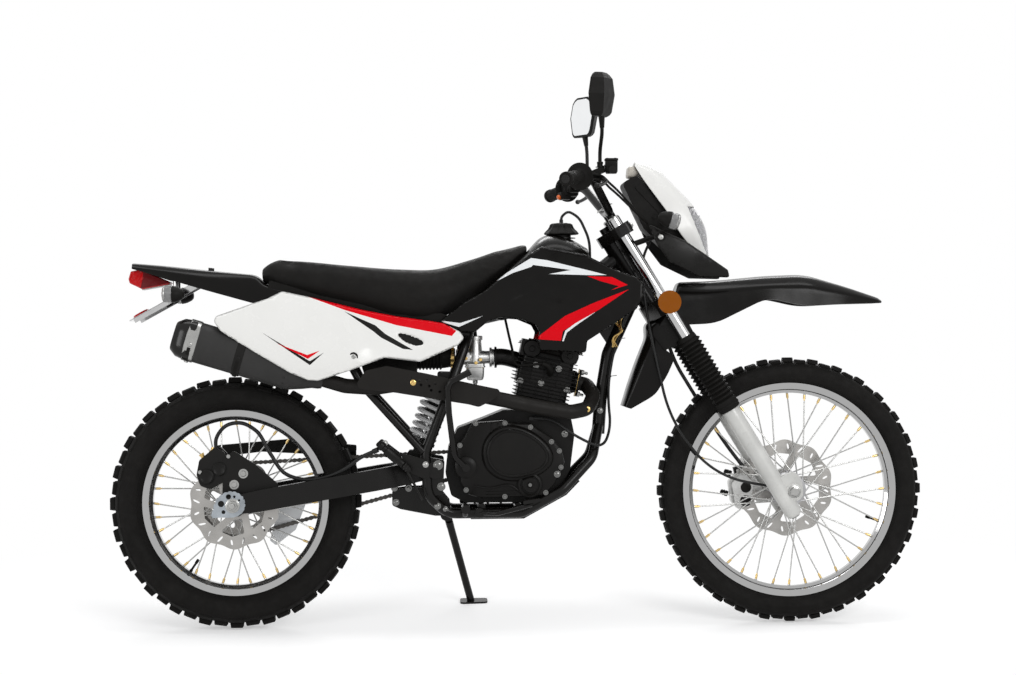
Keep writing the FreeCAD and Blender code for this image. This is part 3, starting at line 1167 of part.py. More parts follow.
PEG_R = 11.0
PEG_IN = 122.0
PEG_OUT = 200.0
PEG = body(597, 318)
LEVER_R = 6.0
LEVER_BEND = 18.0


def footpegs():
    peg = rod(PEG + LEFT * PEG_IN, PEG + LEFT * PEG_OUT, PEG_R)
    root = V(PEG.x, CRADLE_Y + CRADLE_R + SEAT_GAP, RAIL_HEIGHT)
    arm = pipe([root, root + LEFT * PEG_R, PEG + LEFT * (PEG_IN + PEG_R * 2)], LEVER_R * 1.4, LEVER_BEND)
    return group(both(joined([peg, arm])))


PEDAL_Y = 120.0
PEDAL_PIVOT = body(634, 304, -PEDAL_Y)
KICK_FOOT = body(600, 420)
# Routes of the foot levers: (grid x, grid z, y in millimetres, to the left)
PEDAL_ROUTE = [(680, 303, -140.0), (740, 318, -146.0), (768, 326, -150.0)]
PAD_OUTLINE_SHARES = [(745, 326), (790, 334), (790, 342), (745, 336)]
PAD_OUT_Y = 165.0
PAD_IN_Y = 135.0
GEAR_SHAFT_SHARES = (690, 370)
GEAR_ROUTE = [(720, 360, 118.0), (800, 352, 128.0), (824, 352, 132.0)]
GEAR_TIP_SHARES = (820, 352)
GEAR_TIP_OUT_Y = 165.0
KICK_ROUTE = [(570, 450, -138.0), (557, 560, -178.0), (553, 634, -186.0)]
KICK_TIP_ROUTE = [(553, 622, -185.0), (560, 642, -190.0), (612, 668, -196.0)]


def brake_pedal():
    lever = pipe([PEDAL_PIVOT] + [body(x, z, y) for x, z, y in PEDAL_ROUTE], LEVER_R, LEVER_BEND)
    pad = side_plate([body(x, z) for x, z in PAD_OUTLINE_SHARES], -PAD_OUT_Y, -PAD_IN_Y, COVER_LIP)
    root = V(PEDAL_PIVOT.x, -(CRADLE_Y + CRADLE_R + SEAT_GAP), PEDAL_PIVOT.z)
    hub = rod(root, PEDAL_PIVOT - LEFT * LEVER_R, 2 * LEVER_R)
    return joined([lever, pad, hub])


def gear_lever():
    at = body(*GEAR_SHAFT_SHARES, LEFT_COVER_Y)
    shaft = rod(body(*GEAR_SHAFT_SHARES, CASE_HALF + SEAT_GAP), at + LEFT * LEVER_R * 2, LEVER_R)
    route = [body(x, z, y) for x, z, y in GEAR_ROUTE]
    arm = pipe([at + LEFT * LEVER_R] + route, LEVER_R, LEVER_BEND)
    tip = rod(body(*GEAR_TIP_SHARES, route[0].y), body(*GEAR_TIP_SHARES, GEAR_TIP_OUT_Y), LEVER_R * 1.6)
    return joined([shaft, arm, tip])


def kick_lever():
    shaft_end = KICK_FOOT - LEFT * (PEG_IN + COVER_FILLET)
    shaft = rod(KICK_FOOT - LEFT * (RIGHT_COVER_Y + SEAT_GAP), shaft_end, PEG_R * 0.9)
    route = [body(x, z, y) for x, z, y in KICK_ROUTE]
    arm = pipe([KICK_FOOT - LEFT * PEG_IN] + route, LEVER_R * 1.3, LEVER_BEND * 2)
    tip = pipe([body(x, z, y) for x, z, y in KICK_TIP_ROUTE], LEVER_R * 1.4, LEVER_BEND)
    return joined([shaft, arm, tip])


SKID_LINE_SHARES = [(612, 288.4), (748.5, 288.4), (858.6, 347.8), (893, 382.8)]
SKID_HALF = 84.0


def skid_plate():
    line = [(body(x, z).x, body(x, z).z) for x, z in SKID_LINE_SHARES]
    ring = [V(x, -SKID_HALF, z) for x, z in thickened(line, -SKIN_THICK)]
    return face_of(ring).extrude(LEFT * (2 * SKID_HALF))


# Side stand, down, with its foot flat on the ground
STAND_PIVOT_Y = 130.0
STAND_FOOT_Y = 232.0
STAND_PIVOT = body(552, 284, STAND_PIVOT_Y)
STAND_FOOT = body(616, 0, STAND_FOOT_Y)
STAND_R = 10.0
STAND_BACK = V(-0.98, 0.12, -0.05)    # where the leg points when it is folded away
FOOT_LENGTH = 74.0
FOOT_WIDTH = 46.0
FOOT_THICK = 5.0
FOOT_SHARES = [(-0.4, -0.5), (0.6, -0.36), (0.6, 0.5), (-0.4, 0.5)]   # of its length and its width
PIVOT_CHEEK = 6.0
STAND_SWING_DEG = 95.0


def ground(point):
    """The point moved up or down onto the ground under the leaning machine."""
    return V(point.x, point.y, point.y * GROUND_RISE)


def stand_axis():
    down = ground(STAND_FOOT) - STAND_PIVOT
    axis = down.cross(STAND_BACK)
    axis.normalize()
    return axis


def stand_bracket():
    """The lug on the frame that carries the stand's pivot bolt."""
    axis = stand_axis()
    start = STAND_PIVOT - axis * (PIVOT_CHEEK / 2 + SEAT_GAP)
    plate = rod(start - axis * PIVOT_CHEEK, start, STAND_R * 1.7)
    arm = rod(V(STAND_PIVOT.x, CRADLE_Y, RAIL_HEIGHT), start, STAND_R)
    arm = arm.cut(rod(start, start + axis * STAND_R * 4, STAND_R * 4))
    bolt = rod(start, STAND_PIVOT + axis * (PIVOT_CHEEK / 2 + OVERRUN), STAND_R * 0.6)
    return [plate, arm, bolt]


def side_stand():
    axis = stand_axis()
    foot = ground(STAND_FOOT)
    down = foot - STAND_PIVOT
    down.normalize()
    cheek = rod(STAND_PIVOT - axis * (PIVOT_CHEEK / 2), STAND_PIVOT + axis * (PIVOT_CHEEK / 2), STAND_R * 1.7)
    across = axis.cross(down)
    back = STAND_PIVOT - axis * (PIVOT_CHEEK / 2)
    low = back + down * STAND_R * 4
    tongue = face_of([back - across * STAND_R, back + across * STAND_R, low + across * STAND_R,
                      low - across * STAND_R]).extrude(axis * PIVOT_CHEEK)
    rise = V(0, -math.sin(math.radians(LEAN_DEG)), math.cos(math.radians(LEAN_DEG)))
    side = V(0, rise.z, -rise.y)
    leg = rod(STAND_PIVOT + down * (STAND_R * 2.4), foot + rise * FOOT_THICK / 2, STAND_R)
    points = [foot + V(1, 0, 0) * (a * FOOT_LENGTH) + side * (b * FOOT_WIDTH) for a, b in FOOT_SHARES]
    pad = face_of(points, COVER_FILLET).extrude(rise * FOOT_THICK)
    square = ((-1, -1), (1, -1), (1, 1), (-1, 1))
    under = [foot + V(1, 0, 0) * (a * FOOT_LENGTH) + side * (b * FOOT_LENGTH) for a, b in square]
    trim = face_of(under).extrude(rise * -FOOT_LENGTH)
    whole = joined([cheek, tongue, leg, pad]).cut(trim)
    hole = rod(STAND_PIVOT - axis * FOOT_LENGTH, STAND_PIVOT + axis * FOOT_LENGTH, STAND_R * 0.6 + SEAT_GAP)
    return whole.cut(hole)


# Fork
LEG_Y = 92.0
STANCHION_R = 15.5
LOWER_LEG_R = 23.0
GAITER_R = 31.0
GAITER_FOLDS = 12
GAITER_FOLD_DEPTH = 6.0
GAITER_LOW = 268.0
GAITER_LENGTH = 222.0
LEG_BOTTOM = -58.0
STANCHION_TOP = 36.0         # above the upper yoke's middle
YOKE_RIM = 12.0
STEM_R = 13.0


def leg_rod(low, high, radius, y):
    return rod(steer(YOKE_OFFSET, low, y), steer(YOKE_OFFSET, high, y), radius)


def yoke(middle, thick):
    clamp = STANCHION_R + YOKE_RIM
    hub = HEAD_TUBE_R + COVER_LIP
    outline = [(-hub, -hub * 0.7), (-hub, hub * 0.7), (YOKE_OFFSET - clamp, LEG_Y + clamp * 0.3),
               (YOKE_OFFSET - clamp * 0.4, LEG_Y + clamp), (YOKE_OFFSET + clamp, LEG_Y + clamp),
               (YOKE_OFFSET + clamp, LEG_Y - clamp), (YOKE_OFFSET + clamp * 0.4, LEG_Y - clamp * 1.4),
               (YOKE_OFFSET + clamp * 0.4, -LEG_Y + clamp * 1.4), (YOKE_OFFSET + clamp, -LEG_Y + clamp),
               (YOKE_OFFSET + clamp, -LEG_Y - clamp), (YOKE_OFFSET - clamp * 0.4, -LEG_Y - clamp),
               (YOKE_OFFSET - clamp, -LEG_Y - clamp * 0.3)]
    return steer_plate(outline, middle - thick / 2, middle + thick / 2, YOKE_RIM)


def fork_yokes():
    stem = rod(steer(0, FORK_LENGTH - LOWER_YOKE_DROP), steer(0, FORK_LENGTH + UPPER_YOKE_THICK), STEM_R)
    lower = yoke(FORK_LENGTH - LOWER_YOKE_DROP, LOWER_YOKE_THICK)
    whole = joined([yoke(FORK_LENGTH, UPPER_YOKE_THICK), lower, stem])
    holes = [leg_rod(0, FORK_LENGTH * 2, STANCHION_R + SEAT_GAP / 3, side * LEG_Y) for side in (1, -1)]
    return whole.cut(holes)


def fork_stanchions():
    top = FORK_LENGTH + STANCHION_TOP
    return group(both(leg_rod(GAITER_LOW - LOWER_LEG_R, top, STANCHION_R, LEG_Y)))


def fork_gaiters():
    steps = GAITER_FOLDS * 2
    inner = STANCHION_R + SEAT_GAP
    profile = [(0, LOWER_LEG_R + SEAT_GAP), (0, GAITER_R)]
    for k in range(1, steps):
        out = GAITER_R if k % 2 == 0 else GAITER_R - GAITER_FOLD_DEPTH
        profile.append((GAITER_LENGTH * k / steps, out))
    profile += [(GAITER_LENGTH, GAITER_R * 0.8), (GAITER_LENGTH, inner), (GAITER_LENGTH * 0.9, inner),
                (LOWER_LEG_R, LOWER_LEG_R + SEAT_GAP)]
    one = lathe(profile, steer(YOKE_OFFSET, GAITER_LOW, LEG_Y), UP, AHEAD)
    return group(both(one))


def fork_lowers():
    hole = leg_rod(GAITER_LOW - LOWER_LEG_R - OVERRUN, FORK_LENGTH, STANCHION_R + SEAT_GAP / 3, LEG_Y)
    leg = leg_rod(LEG_BOTTOM, GAITER_LOW + LOWER_LEG_R * 0.8, LOWER_LEG_R, LEG_Y)
    lug_out = LEFT * (LEG_Y + LOWER_LEG_R * 0.8)
    lug = rod(FRONT_AXLE + LEFT * (LEG_Y - LOWER_LEG_R), FRONT_AXLE + lug_out, LOWER_LEG_R)
    web = side_plate([FRONT_AXLE + UP * LOWER_LEG_R * 2, steer(YOKE_OFFSET, LOWER_LEG_R * 3),
                      steer(YOKE_OFFSET, -LOWER_LEG_R), FRONT_AXLE - UP * LOWER_LEG_R * 0.9,
                      FRONT_AXLE + AHEAD * LOWER_LEG_R * 0.8],
                     LEG_Y - LOWER_LEG_R * 0.7, LEG_Y + LOWER_LEG_R * 0.7, COVER_LIP)
    side = joined([leg.cut(hole), lug, web])
    ends = LEFT * (LEG_Y + LOWER_LEG_R)
    axle = rod(FRONT_AXLE - ends, FRONT_AXLE + ends, AXLE_R)
    nuts = [hexagon(FRONT_AXLE + ends * s, LEFT * s, NUT_R, NUT_THICK / 2) for s in (1, -1)]
    collars = []
    for s, hub_end in ((1, FRONT_DISC_Y + DISC_THICK), (-1, FRONT_HUB_HALF)):
        inner = FRONT_AXLE + LEFT * (s * (hub_end + SEAT_GAP))
        collars.append(rod(inner, FRONT_AXLE + LEFT * (s * LEG_Y), SPACER_R))
    return joined(both(side) + [axle] + nuts + collars)


# Front brake caliper, behind the left leg, and its hose
CALIPER_BRIDGE_SHARES = [(-0.94, 0.31), (-0.55, -0.31), (-0.22, -0.16), (-0.59, 0.61)]
FRONT_CALIPER_SHARES = [(-1.17, 0.17), (-0.77, -0.45), (-0.48, -0.27), (-0.56, 0.11), (-0.88, 0.44)]


def front_brake():
    outline = around(FRONT_AXLE, FRONT_DISC_R, FRONT_CALIPER_SHARES)
    caliper = side_plate(outline, FRONT_DISC_Y - COVER_FILLET * 1.4, LEG_Y + COVER_FILLET, COVER_FILLET)
    slot_in, slot_out = FRONT_DISC_Y - COVER_LIP / 2, FRONT_DISC_Y + DISC_THICK + COVER_LIP / 2
    slot = rod(FRONT_AXLE + LEFT * slot_in, FRONT_AXLE + LEFT * slot_out, FRONT_DISC_R + COVER_LIP)
    bridge = side_plate(around(FRONT_AXLE, FRONT_DISC_R, CALIPER_BRIDGE_SHARES), LEG_Y - COVER_FILLET,
                        LEG_Y + COVER_LIP, COVER_LIP)
    leg = leg_rod(LEG_BOTTOM, GAITER_LOW, LOWER_LEG_R + SEAT_GAP, LEG_Y)
    return joined([caliper.cut(slot), bridge]).cut(leg)


# Front fender, headlamp mask and the parts round them
FLAP_STATION_SHARES = [
    (-432, 222, -72.0, [(0.5, -0.16), (0.48, 0.0), (0.3, 0.04), (0.0, 0.05)]),
    (-416, 276, -70.0, [(0.6, -0.66), (0.58, -0.06), (0.36, 0.03), (0.0, 0.04)]),
    (-394, 340, -66.0, [(0.64, -0.8), (0.61, -0.1), (0.38, 0.02), (0.0, 0.03)]),
    (-372, 398, -58.0, [(0.62, -0.84), (0.58, -0.14), (0.36, 0.0), (0.0, 0.0)]),
]
UNDER_YOKE_SHARES = (0.62, 0.58, 0.36)     # half widths at the sides' feet, the edge and the crease
UNDER_YOKE_DEPTH_SHARES = (0.8, 0.96)      # the sides' depth behind the steering axis and ahead of it
FENDER_STATION_SHARES = [
    (-206, 538, -6.0, [(0.64, -1.0), (0.6, -0.24), (0.38, 0.0), (0.0, 0.04)]),
    (-60, 549, 0.0, [(0.74, -0.52), (0.69, -0.2), (0.44, 0.0), (0.0, 0.05)]),
    (50, 549, 4.0, [(0.76, -0.74), (0.72, -0.24), (0.46, 0.0), (0.0, 0.05)]),
    (150, 524, 14.0, [(0.6, -0.3), (0.56, -0.12), (0.38, 0.0), (0.0, 0.04)]),
    (238, 490, 20.0, [(0.34, -0.06), (0.32, -0.03), (0.22, 0.0), (0.0, 0.01)]),
]


def front_fender():
    """The fender and its rear flap; between them it lies flat against the underside of the lower yoke."""
    foot, edge, crease = [share * SKIN_HALF for share in UNDER_YOKE_SHARES]
    under = [[(foot, -deep * SKIN_HALF), (edge, -COVER_FILLET), (crease, 0), (0, 0)]
             for deep in UNDER_YOKE_DEPTH_SHARES]
    seat_up = FORK_LENGTH - LOWER_YOKE_DROP - LOWER_YOKE_THICK / 2 - SEAT_GAP
    reach = YOKE_OFFSET + STANCHION_R + YOKE_RIM
    middle = [(steer(a, seat_up), -RAKE_DEG, line) for a, line in zip((-reach * 0.7, reach * 1.12), under)]
    stations = skin_stations(front, FLAP_STATION_SHARES) + middle + skin_stations(front, FENDER_STATION_SHARES)
    return sheet(stations, SKIN_THICK)


MASK_STATION_SHARES = [
    (-398, 861, 20.0, [(0.42, -0.1), (0.4, -0.05), (0.24, 0.0), (0.0, 0.0)]),
    (-344, 847, 45.0, [(0.62, -0.5), (0.58, -0.18), (0.34, -0.03), (0.0, 0.0)]),
    (-248, 750, 58.0, [(0.84, -0.72), (0.78, -0.28), (0.46, -0.05), (0.0, 0.0)]),
    (-212, 690, 78.0, [(0.86, -0.8), (0.8, -0.3), (0.48, -0.05), (0.0, 0.0)]),
    (-207, 610, 96.0, [(0.66, -0.3), (0.62, -0.14), (0.4, -0.03), (0.0, 0.0)]),
]
LENS_OUTLINE_SHARES = [(0.46, 628), (0.54, 690), (0.44, 734), (-0.44, 734), (-0.54, 690), (-0.46, 628)]
LENS_THICK = 9.0
LENS_MIDDLE_SHARE = 680
LENS_CUT_SHARE = -360        # where the cutting prism starts, behind the mask
MASK_POST_SHARES = (-285, 690)


def lens_prism(inset):
    """A prism through the mask's front, of the lens's outline drawn in by the inset."""
    points = []
    middle = front(0, LENS_MIDDLE_SHARE)
    for y, z in LENS_OUTLINE_SHARES:
        p = front(LENS_CUT_SHARE, z, y * SKIN_HALF)
        away = V(0, p.y, p.z - middle.z)
        away.normalize()
        points.append(p - away * inset)
    return face_of(points, COVER_FILLET).extrude(V(2 * SKIN_HALF + CAP_R, 0, 0))


def headlamp_mask():
    shell = sheet(skin_stations(front, MASK_STATION_SHARES), SKIN_THICK).cut(lens_prism(0))
    panel = instrument_panel()
    at = front(*MASK_POST_SHARES)
    parts = [shell]
    for side in (1, -1):
        parts.append(boss(panel, shell, at, LEFT * (side * 2 * SKIN_HALF), COVER_LIP))
    return joined(parts)


def headlamp_lens():
    return sheet(skin_stations(front, MASK_STATION_SHARES), LENS_THICK).common(lens_prism(SEAT_GAP))


HOUSING_OUTLINE_SHARES = [(-436, 806), (-400, 826), (-300, 740), (-262, 690), (-262, 640), (-330, 640),
                          (-380, 686)]
HOUSING_HALF = 58.0
DASH_OUTLINE_SHARES = [(-420, 822), (-417, 850), (-402, 852), (-386, 832), (-400, 822)]
ARM_END_SHARES = (-310, 680)     # where the housing's arms to the fork end


def headlamp_housing():
    return side_plate([front(x, z) for x, z in HOUSING_OUTLINE_SHARES], -HOUSING_HALF, HOUSING_HALF, COVER_FILLET)


def instruments():
    dash = side_plate([front(x, z) for x, z in DASH_OUTLINE_SHARES], -CAP_R, CAP_R, COVER_LIP)
    outline = [front(x, z) for x, z in HOUSING_OUTLINE_SHARES]
    return dash.cut(side_plate(outline, -SKIN_HALF, SKIN_HALF, COVER_FILLET - SEAT_GAP))


SHELL_OUTLINE_SHARES = [(-377, 699), (-326, 673), (-280, 652), (-167, 576), (-162, 556), (-245, 559), (-319, 596),
                        (-352, 640)]
SHELL_STATION_SHARES = [
    (-390, [(1.3, 540), (1.34, 620), (1.26, 720)]),
    (-260, [(1.28, 540), (1.34, 620), (1.2, 720)]),
    (-155, [(1.06, 540), (1.1, 600), (1.0, 720)]),
]
SHELL_POST_SHARES = (-316, 655)
SHELL_POST_REACH = 1.4 * SKIN_HALF


def headlamp_shell():
    shell = skin(front, SHELL_OUTLINE_SHARES, SHELL_STATION_SHARES, SKIN_THICK, SHROUD_RADIUS)
    start = steer(YOKE_OFFSET, FORK_LENGTH - UPPER_YOKE_THICK * 2, LEG_Y)
    way = front(*SHELL_POST_SHARES, SHELL_POST_REACH) - start
    return group(both(joined([shell, boss(fork_stanchions(), shell, start, way, COVER_LIP)])))


FRONT_BULLET = front(-322, 704)
FRONT_BULLET_Y = 170.0


def front_indicators():
    aim = V(1, 0, -0.3)
    aim.normalize()
    return group(both(bullet(FRONT_BULLET + LEFT * FRONT_BULLET_Y, HOUSING_HALF + SEAT_GAP, aim)))


# Handlebar and what is on it
BAR_R = 11.1
GRIP_R = 16.5
BAR_END_Y = 398.0
GRIP_IN_Y = 282.0
BAR_BEND = 60.0
BAR_AHEAD = 30.0             # of the steering axis
BAR_RISE = 58.0              # above the upper yoke's middle
BAR_FLAT_Y = 68.0            # half the length of its straight middle
BAR_ROUTE_SHARES = [(-514, 798, 1.72), (-533, 818, 2.15), (-603, 797, 3.98)]
RISER_R = 12.0


def bar_points():
    """The bar's turning points on the left, from its straight middle to its end."""
    outer = [front(x, z, y * SKIN_HALF) for x, z, y in BAR_ROUTE_SHARES]
    return [steer(BAR_AHEAD, FORK_LENGTH + BAR_RISE, BAR_FLAT_Y)] + outer


def handlebar():
    half = bar_points()
    right = [V(p.x, -p.y, p.z) for p in reversed(half)]
    parts = [pipe(right + half, BAR_R, BAR_BEND)]
    for side in (1, -1):
        at = steer(BAR_AHEAD, FORK_LENGTH + BAR_RISE, side * CAP_R)
        low = steer(BAR_AHEAD, FORK_LENGTH + UPPER_YOKE_THICK / 2 + SEAT_GAP, side * CAP_R)
        parts.append(rod(low, at, RISER_R))
    return joined(parts)


def along_bar(y):
    """A point of the bar's outer run, and the run's direction, on the left."""
    a, b = bar_points()[-2:]
    share = (y - a.y) / (b.y - a.y)
    way = b - a
    way.normalize()
    return a + (b - a) * share, way


def sleeve(y0, y1, radius, gap):
    a, _ = along_bar(y0)
    b, _ = along_bar(y1)
    return rod(a, b, radius).cut(rod(a + (a - b), b + (b - a), BAR_R + gap))


def grips():
    grip = sleeve(GRIP_IN_Y + SEAT_GAP, BAR_END_Y - OVERRUN, GRIP_R, SEAT_GAP / 3)
    flange = sleeve(GRIP_IN_Y + SEAT_GAP, GRIP_IN_Y + COVER_LIP, GRIP_R * 1.7, SEAT_GAP / 3)
    return group(both(joined([grip, flange])))


SWITCH_LENGTH = 26.0
PERCH_MIDDLE = 37.0              # the lever's clamp, from the grip's inner end
PERCH_HALF = 9.0
PERCH_R = GRIP_R * 1.15
# Places from the middle of the lever's clamp: forward, out along the bar and up
MASTER_LOW = V(19, -12, -4)      # the brake master cylinder's box
MASTER_HIGH = V(50, 30, 24)
LEVER_ROOT = V(34, 0, -8)
NECK_START = V(BAR_R + OVERRUN, 0, -OVERRUN)
NECK_R = 9.0
LEVER_ROUTE = [V(14, 40, -8), V(0, 100, -22), V(-14, 150, -26)]   # from the lever's root


def hand_controls():
    switch = sleeve(GRIP_IN_Y - SWITCH_LENGTH, GRIP_IN_Y, GRIP_R * 1.25, SEAT_GAP / 3)
    middle = GRIP_IN_Y - PERCH_MIDDLE
    perch_at, _ = along_bar(middle)
    perch = sleeve(middle - PERCH_HALF, middle + PERCH_HALF, PERCH_R, SEAT_GAP / 3)
    root = perch_at + LEVER_ROOT
    stem = rod(perch_at + NECK_START, root, NECK_R)
    lever = pipe([root] + [root + step for step in LEVER_ROUTE], LEVER_R, LEVER_BEND)
    a, _ = along_bar(GRIP_IN_Y - SKIN_HALF)
    b, _ = along_bar(BAR_END_Y)
    bar = rod(a, b, BAR_R + SEAT_GAP / 3)
    low, high = perch_at + MASTER_LOW, perch_at + MASTER_HIGH
    tank = Part.makeBox(high.x - low.x, high.y - low.y, high.z - low.z, low)
    clutch_side = joined([perch, stem, lever]).cut(bar)
    brake_side = mirror(joined([perch, stem, lever, tank]).cut(bar))
    return group([clutch_side, brake_side] + both(switch))


MIRROR_FOOT_Y = 245.0
MIRROR_Y = 330.0
MIRROR_HALF_WIDE = 62.0
MIRROR_DEEP = 26.0
MIRROR_EDGE = 5.0
MIRROR_TURN_DEG = 27.0       # how far the glass looks in, towards the rider
MIRROR_LOW_SHARES = (-513, 956)
MIRROR_HIGH_SHARES = (-509, 1066)
MIRROR_STATION_SHARES = [(0.0, 0.6, 0.5), (0.08, 0.78, 0.8), (0.5, 1.0, 1.0), (0.88, 0.8, 0.8), (1.0, 0.42, 0.4)]
MIRROR_FLAT_SHARE = 0.55     # of the half width, across the back of the shell
MIRROR_NECK_SHARE = 0.14     # where the stem ends, up the head


def mirrors():
    foot, _ = along_bar(MIRROR_FOOT_Y)
    foot = foot + V(0, 0, PERCH_R + SEAT_GAP * 3)
    low, high = front(*MIRROR_LOW_SHARES, MIRROR_Y), front(*MIRROR_HIGH_SHARES, MIRROR_Y)
    turn = math.radians(MIRROR_TURN_DEG)
    across = V(-math.sin(turn), math.cos(turn), 0)
    back = V(-math.cos(turn), -math.sin(turn), 0)
    rings = []
    for way, wide, deep in MIRROR_STATION_SHARES:
        c = low + (high - low) * way
        edge = across * (MIRROR_HALF_WIDE * wide)
        flat = edge * MIRROR_FLAT_SHARE
        shell = back * (-MIRROR_DEEP * deep)
        glass = back * MIRROR_EDGE
        rings.append([c + edge + glass, c - edge + glass, c - edge, c - flat + shell, c + flat + shell,
                      c + edge])
    neck = low + (high - low) * MIRROR_NECK_SHARE - back * MIRROR_EDGE
    stem = pipe([foot, foot + V(0, 0, CAP_R), neck], STALK_R * 0.8, LEVER_BEND)
    return group(both(joined([loft(rings), stem])))


# Hoses and cables. Each follows its guides in bends that touch, and ends face to face with what holds it.
HOSE_R = 5.0
CABLE_R = 3.6
HOSE_BEND = 45.0
CABLE_BEND = 60.0
DRIVE_R = 24.0
BREATHER_SHARES = [(858, 1068), (876, 1084), (906, 1066), (932, 1008)]
BREATHER_FOOT_SHARES = (933, 950)
CLUTCH_CABLE_SHARES = [(1020, 800, -0.28), (984, 690, -0.27), (974, 600, -0.27), (982, 515, -0.3),
                       (956, 462, -0.74), (880, 500, -0.86), (826, 541, -0.84), (776, 545, -0.84)]
SPEED_CABLE_SHARES = [(-352, 676, -0.4), (-390, 600, -0.56), (-379, 478, -0.76), (-352, 340, -0.8),
                      (-318, 190, -0.74), (-205, 40, -0.58), (-8, 2, -0.58)]
BRAKE_HOSE_POINTS = [(-6, 84, 74), (-17, 200, 92), (-17, 440, 92), (5, 525, 92), (5, 600, 92)]
REFLECTOR = front(-321, 494)
REFLECTOR_R = 30.0
REFLECTOR_THICK = 9.0
CYLINDER_SHARES = [(378, 484), (440, 430)]
CYLINDER_R = 13.0
PUSHROD_SHARES = (488, 340)
CYLINDER_PLATE_SHARES = [(366, 482), (384, 498), (430, 462), (506, 440), (506, 388), (440, 416)]
REAR_HOSE_POINTS = [(-44, 452, 84), (-44, 528, 86), (62, 528, 104), (150, 389.8, 111), (263, 408.4, 105),
                    (336, 452, 130), (392, 474, 142)]
REAR_HOSE_BEND = 18.0
GUIDE_OUTLINE_SHARES = [(108, 318), (177, 318), (150, 250), (97, 209), (81, 222)]
GUIDE_Y = 85.7
GUIDE_THICK = 3.0
GUIDE_TAB = 26.0
GUIDE_TAB_SHARES = (0.22, 0.33)   # along the arm from the axle


def clear_of(tube, *carriers):
    """What is left of a hose where it ends a seat's gap short of the pieces that hold it."""
    for carrier in carriers:
        for step in (LEFT, LEFT * -1, UP, UP * -1, AHEAD, AHEAD * -1):
            moved = carrier.copy()
            moved.translate(step * SEAT_GAP)
            tube = tube.cut(moved)
    return max(tube.Solids, key=lambda solid: solid.Volume)


def steering_cables():
    speed = pipe([front(x, z, y * SKIN_HALF) for x, z, y in SPEED_CABLE_SHARES], CABLE_R, CABLE_BEND * 0.7)
    near, far = FRONT_HUB_HALF + COVER_LIP * 1.4, LEG_Y - LOWER_LEG_R - COVER_LIP
    drive = rod(FRONT_AXLE - LEFT * near, FRONT_AXLE - LEFT * far, DRIVE_R)
    bore = rod(FRONT_AXLE, FRONT_AXLE - LEFT * LEG_Y, SPACER_R + SEAT_GAP)
    speed = clear_of(joined([speed, drive]).cut(bore), instrument_panel())
    hose = pipe([steer(a, u, y) for a, u, y in BRAKE_HOSE_POINTS], HOSE_R, HOSE_BEND)
    return group([speed, clear_of(hose, front_brake(), fork_yokes())])


def reflectors():
    side = LEG_Y + STANCHION_R + YOKE_RIM + SEAT_GAP
    return group(both(rod(REFLECTOR + LEFT * side, REFLECTOR + LEFT * (side + REFLECTOR_THICK), REFLECTOR_R)))


def rear_brake_line():
    inner = UPRIGHT_Y + CRADLE_R + SEAT_GAP
    y = -(inner + COVER_LIP + CYLINDER_R - OVERRUN)
    top, foot = [body(x, z, y) for x, z in CYLINDER_SHARES]
    plate = side_plate([body(x, z) for x, z in CYLINDER_PLATE_SHARES], -(inner + COVER_LIP), -inner, COVER_LIP)
    parts = [rod(top, foot, CYLINDER_R), plate, rod(foot, body(*PUSHROD_SHARES, y), COVER_LIP)]
    parts.append(pipe([body(x, z, -side) for x, z, side in REAR_HOSE_POINTS], HOSE_R, REAR_HOSE_BEND))
    return clear_of(joined(parts), rear_brake(), swingarm())


def chain_guide():
    fin = side_plate([body(x, z) for x, z in GUIDE_OUTLINE_SHARES], GUIDE_Y, GUIDE_Y + GUIDE_THICK, COVER_LIP)
    top = [REAR_AXLE + (PIVOT - REAR_AXLE) * way - V(0, 0, ARM_DEPTH / 2 + SEAT_GAP) for way in GUIDE_TAB_SHARES]
    low = [top[1] - V(0, 0, COVER_LIP), top[0] - V(0, 0, COVER_LIP)]
    return clear_of(joined([fin, side_plate(top + low, GUIDE_Y, GUIDE_Y + GUIDE_TAB)]), swingarm())


def breather():
    """The tank cap's hose, from its top to the frame behind the head tube."""
    top = CAP_CENTRE + V(0, 0, CAP_HEIGHT + SEAT_GAP)
    route = [top] + [body(x, z) for x, z in BREATHER_SHARES]
    foot = body(*BREATHER_FOOT_SHARES)
    spine = backbone(BACKBONE_R + SEAT_GAP)
    hose = pipe(route + [foot, foot - V(0, 0, HOSE_BEND)], CABLE_R, HOSE_BEND / 3).cut(spine)
    return max(hose.Solids, key=lambda solid: solid.Volume)


def clutch_cable():
    route = [body(x, z, y * SKIN_HALF) for x, z, y in CLUTCH_CABLE_SHARES]
    end = V(route[-1].x, -CASE_HALF - SEAT_GAP, route[-1].z)
    start = V(route[0].x, route[0].y, route[0].z)
    clip = rod(start, V(start.x, -GUSSET_HALF - SEAT_GAP, start.z), CABLE_R * 1.6)
    return clear_of(joined([pipe([start] + route[1:] + [end], CABLE_R, CABLE_BEND), clip]), frame())


def control_cables():
    return group([breather(), clutch_cable()])


def engine_block():
    return group([engine_cases(), engine_covers()])


def foot_levers():
    return group([brake_pedal(), gear_lever(), kick_lever()])


def instrument_panel():
    """The black housing behind the headlamp with its two arms to the fork, and the dials on top of it."""
    housing = headlamp_housing()
    fork = fork_stanchions()
    arms = []
    for side in (1, -1):
        start = steer(YOKE_OFFSET, FORK_LENGTH - UPPER_YOKE_THICK * 2.4, side * LEG_Y)
        way = front(*ARM_END_SHARES, side * HOUSING_HALF / 2) - start
        arms.append(boss(fork, housing, start, way, LEVER_R * 1.2))
    return group([joined([housing] + arms), instruments()])


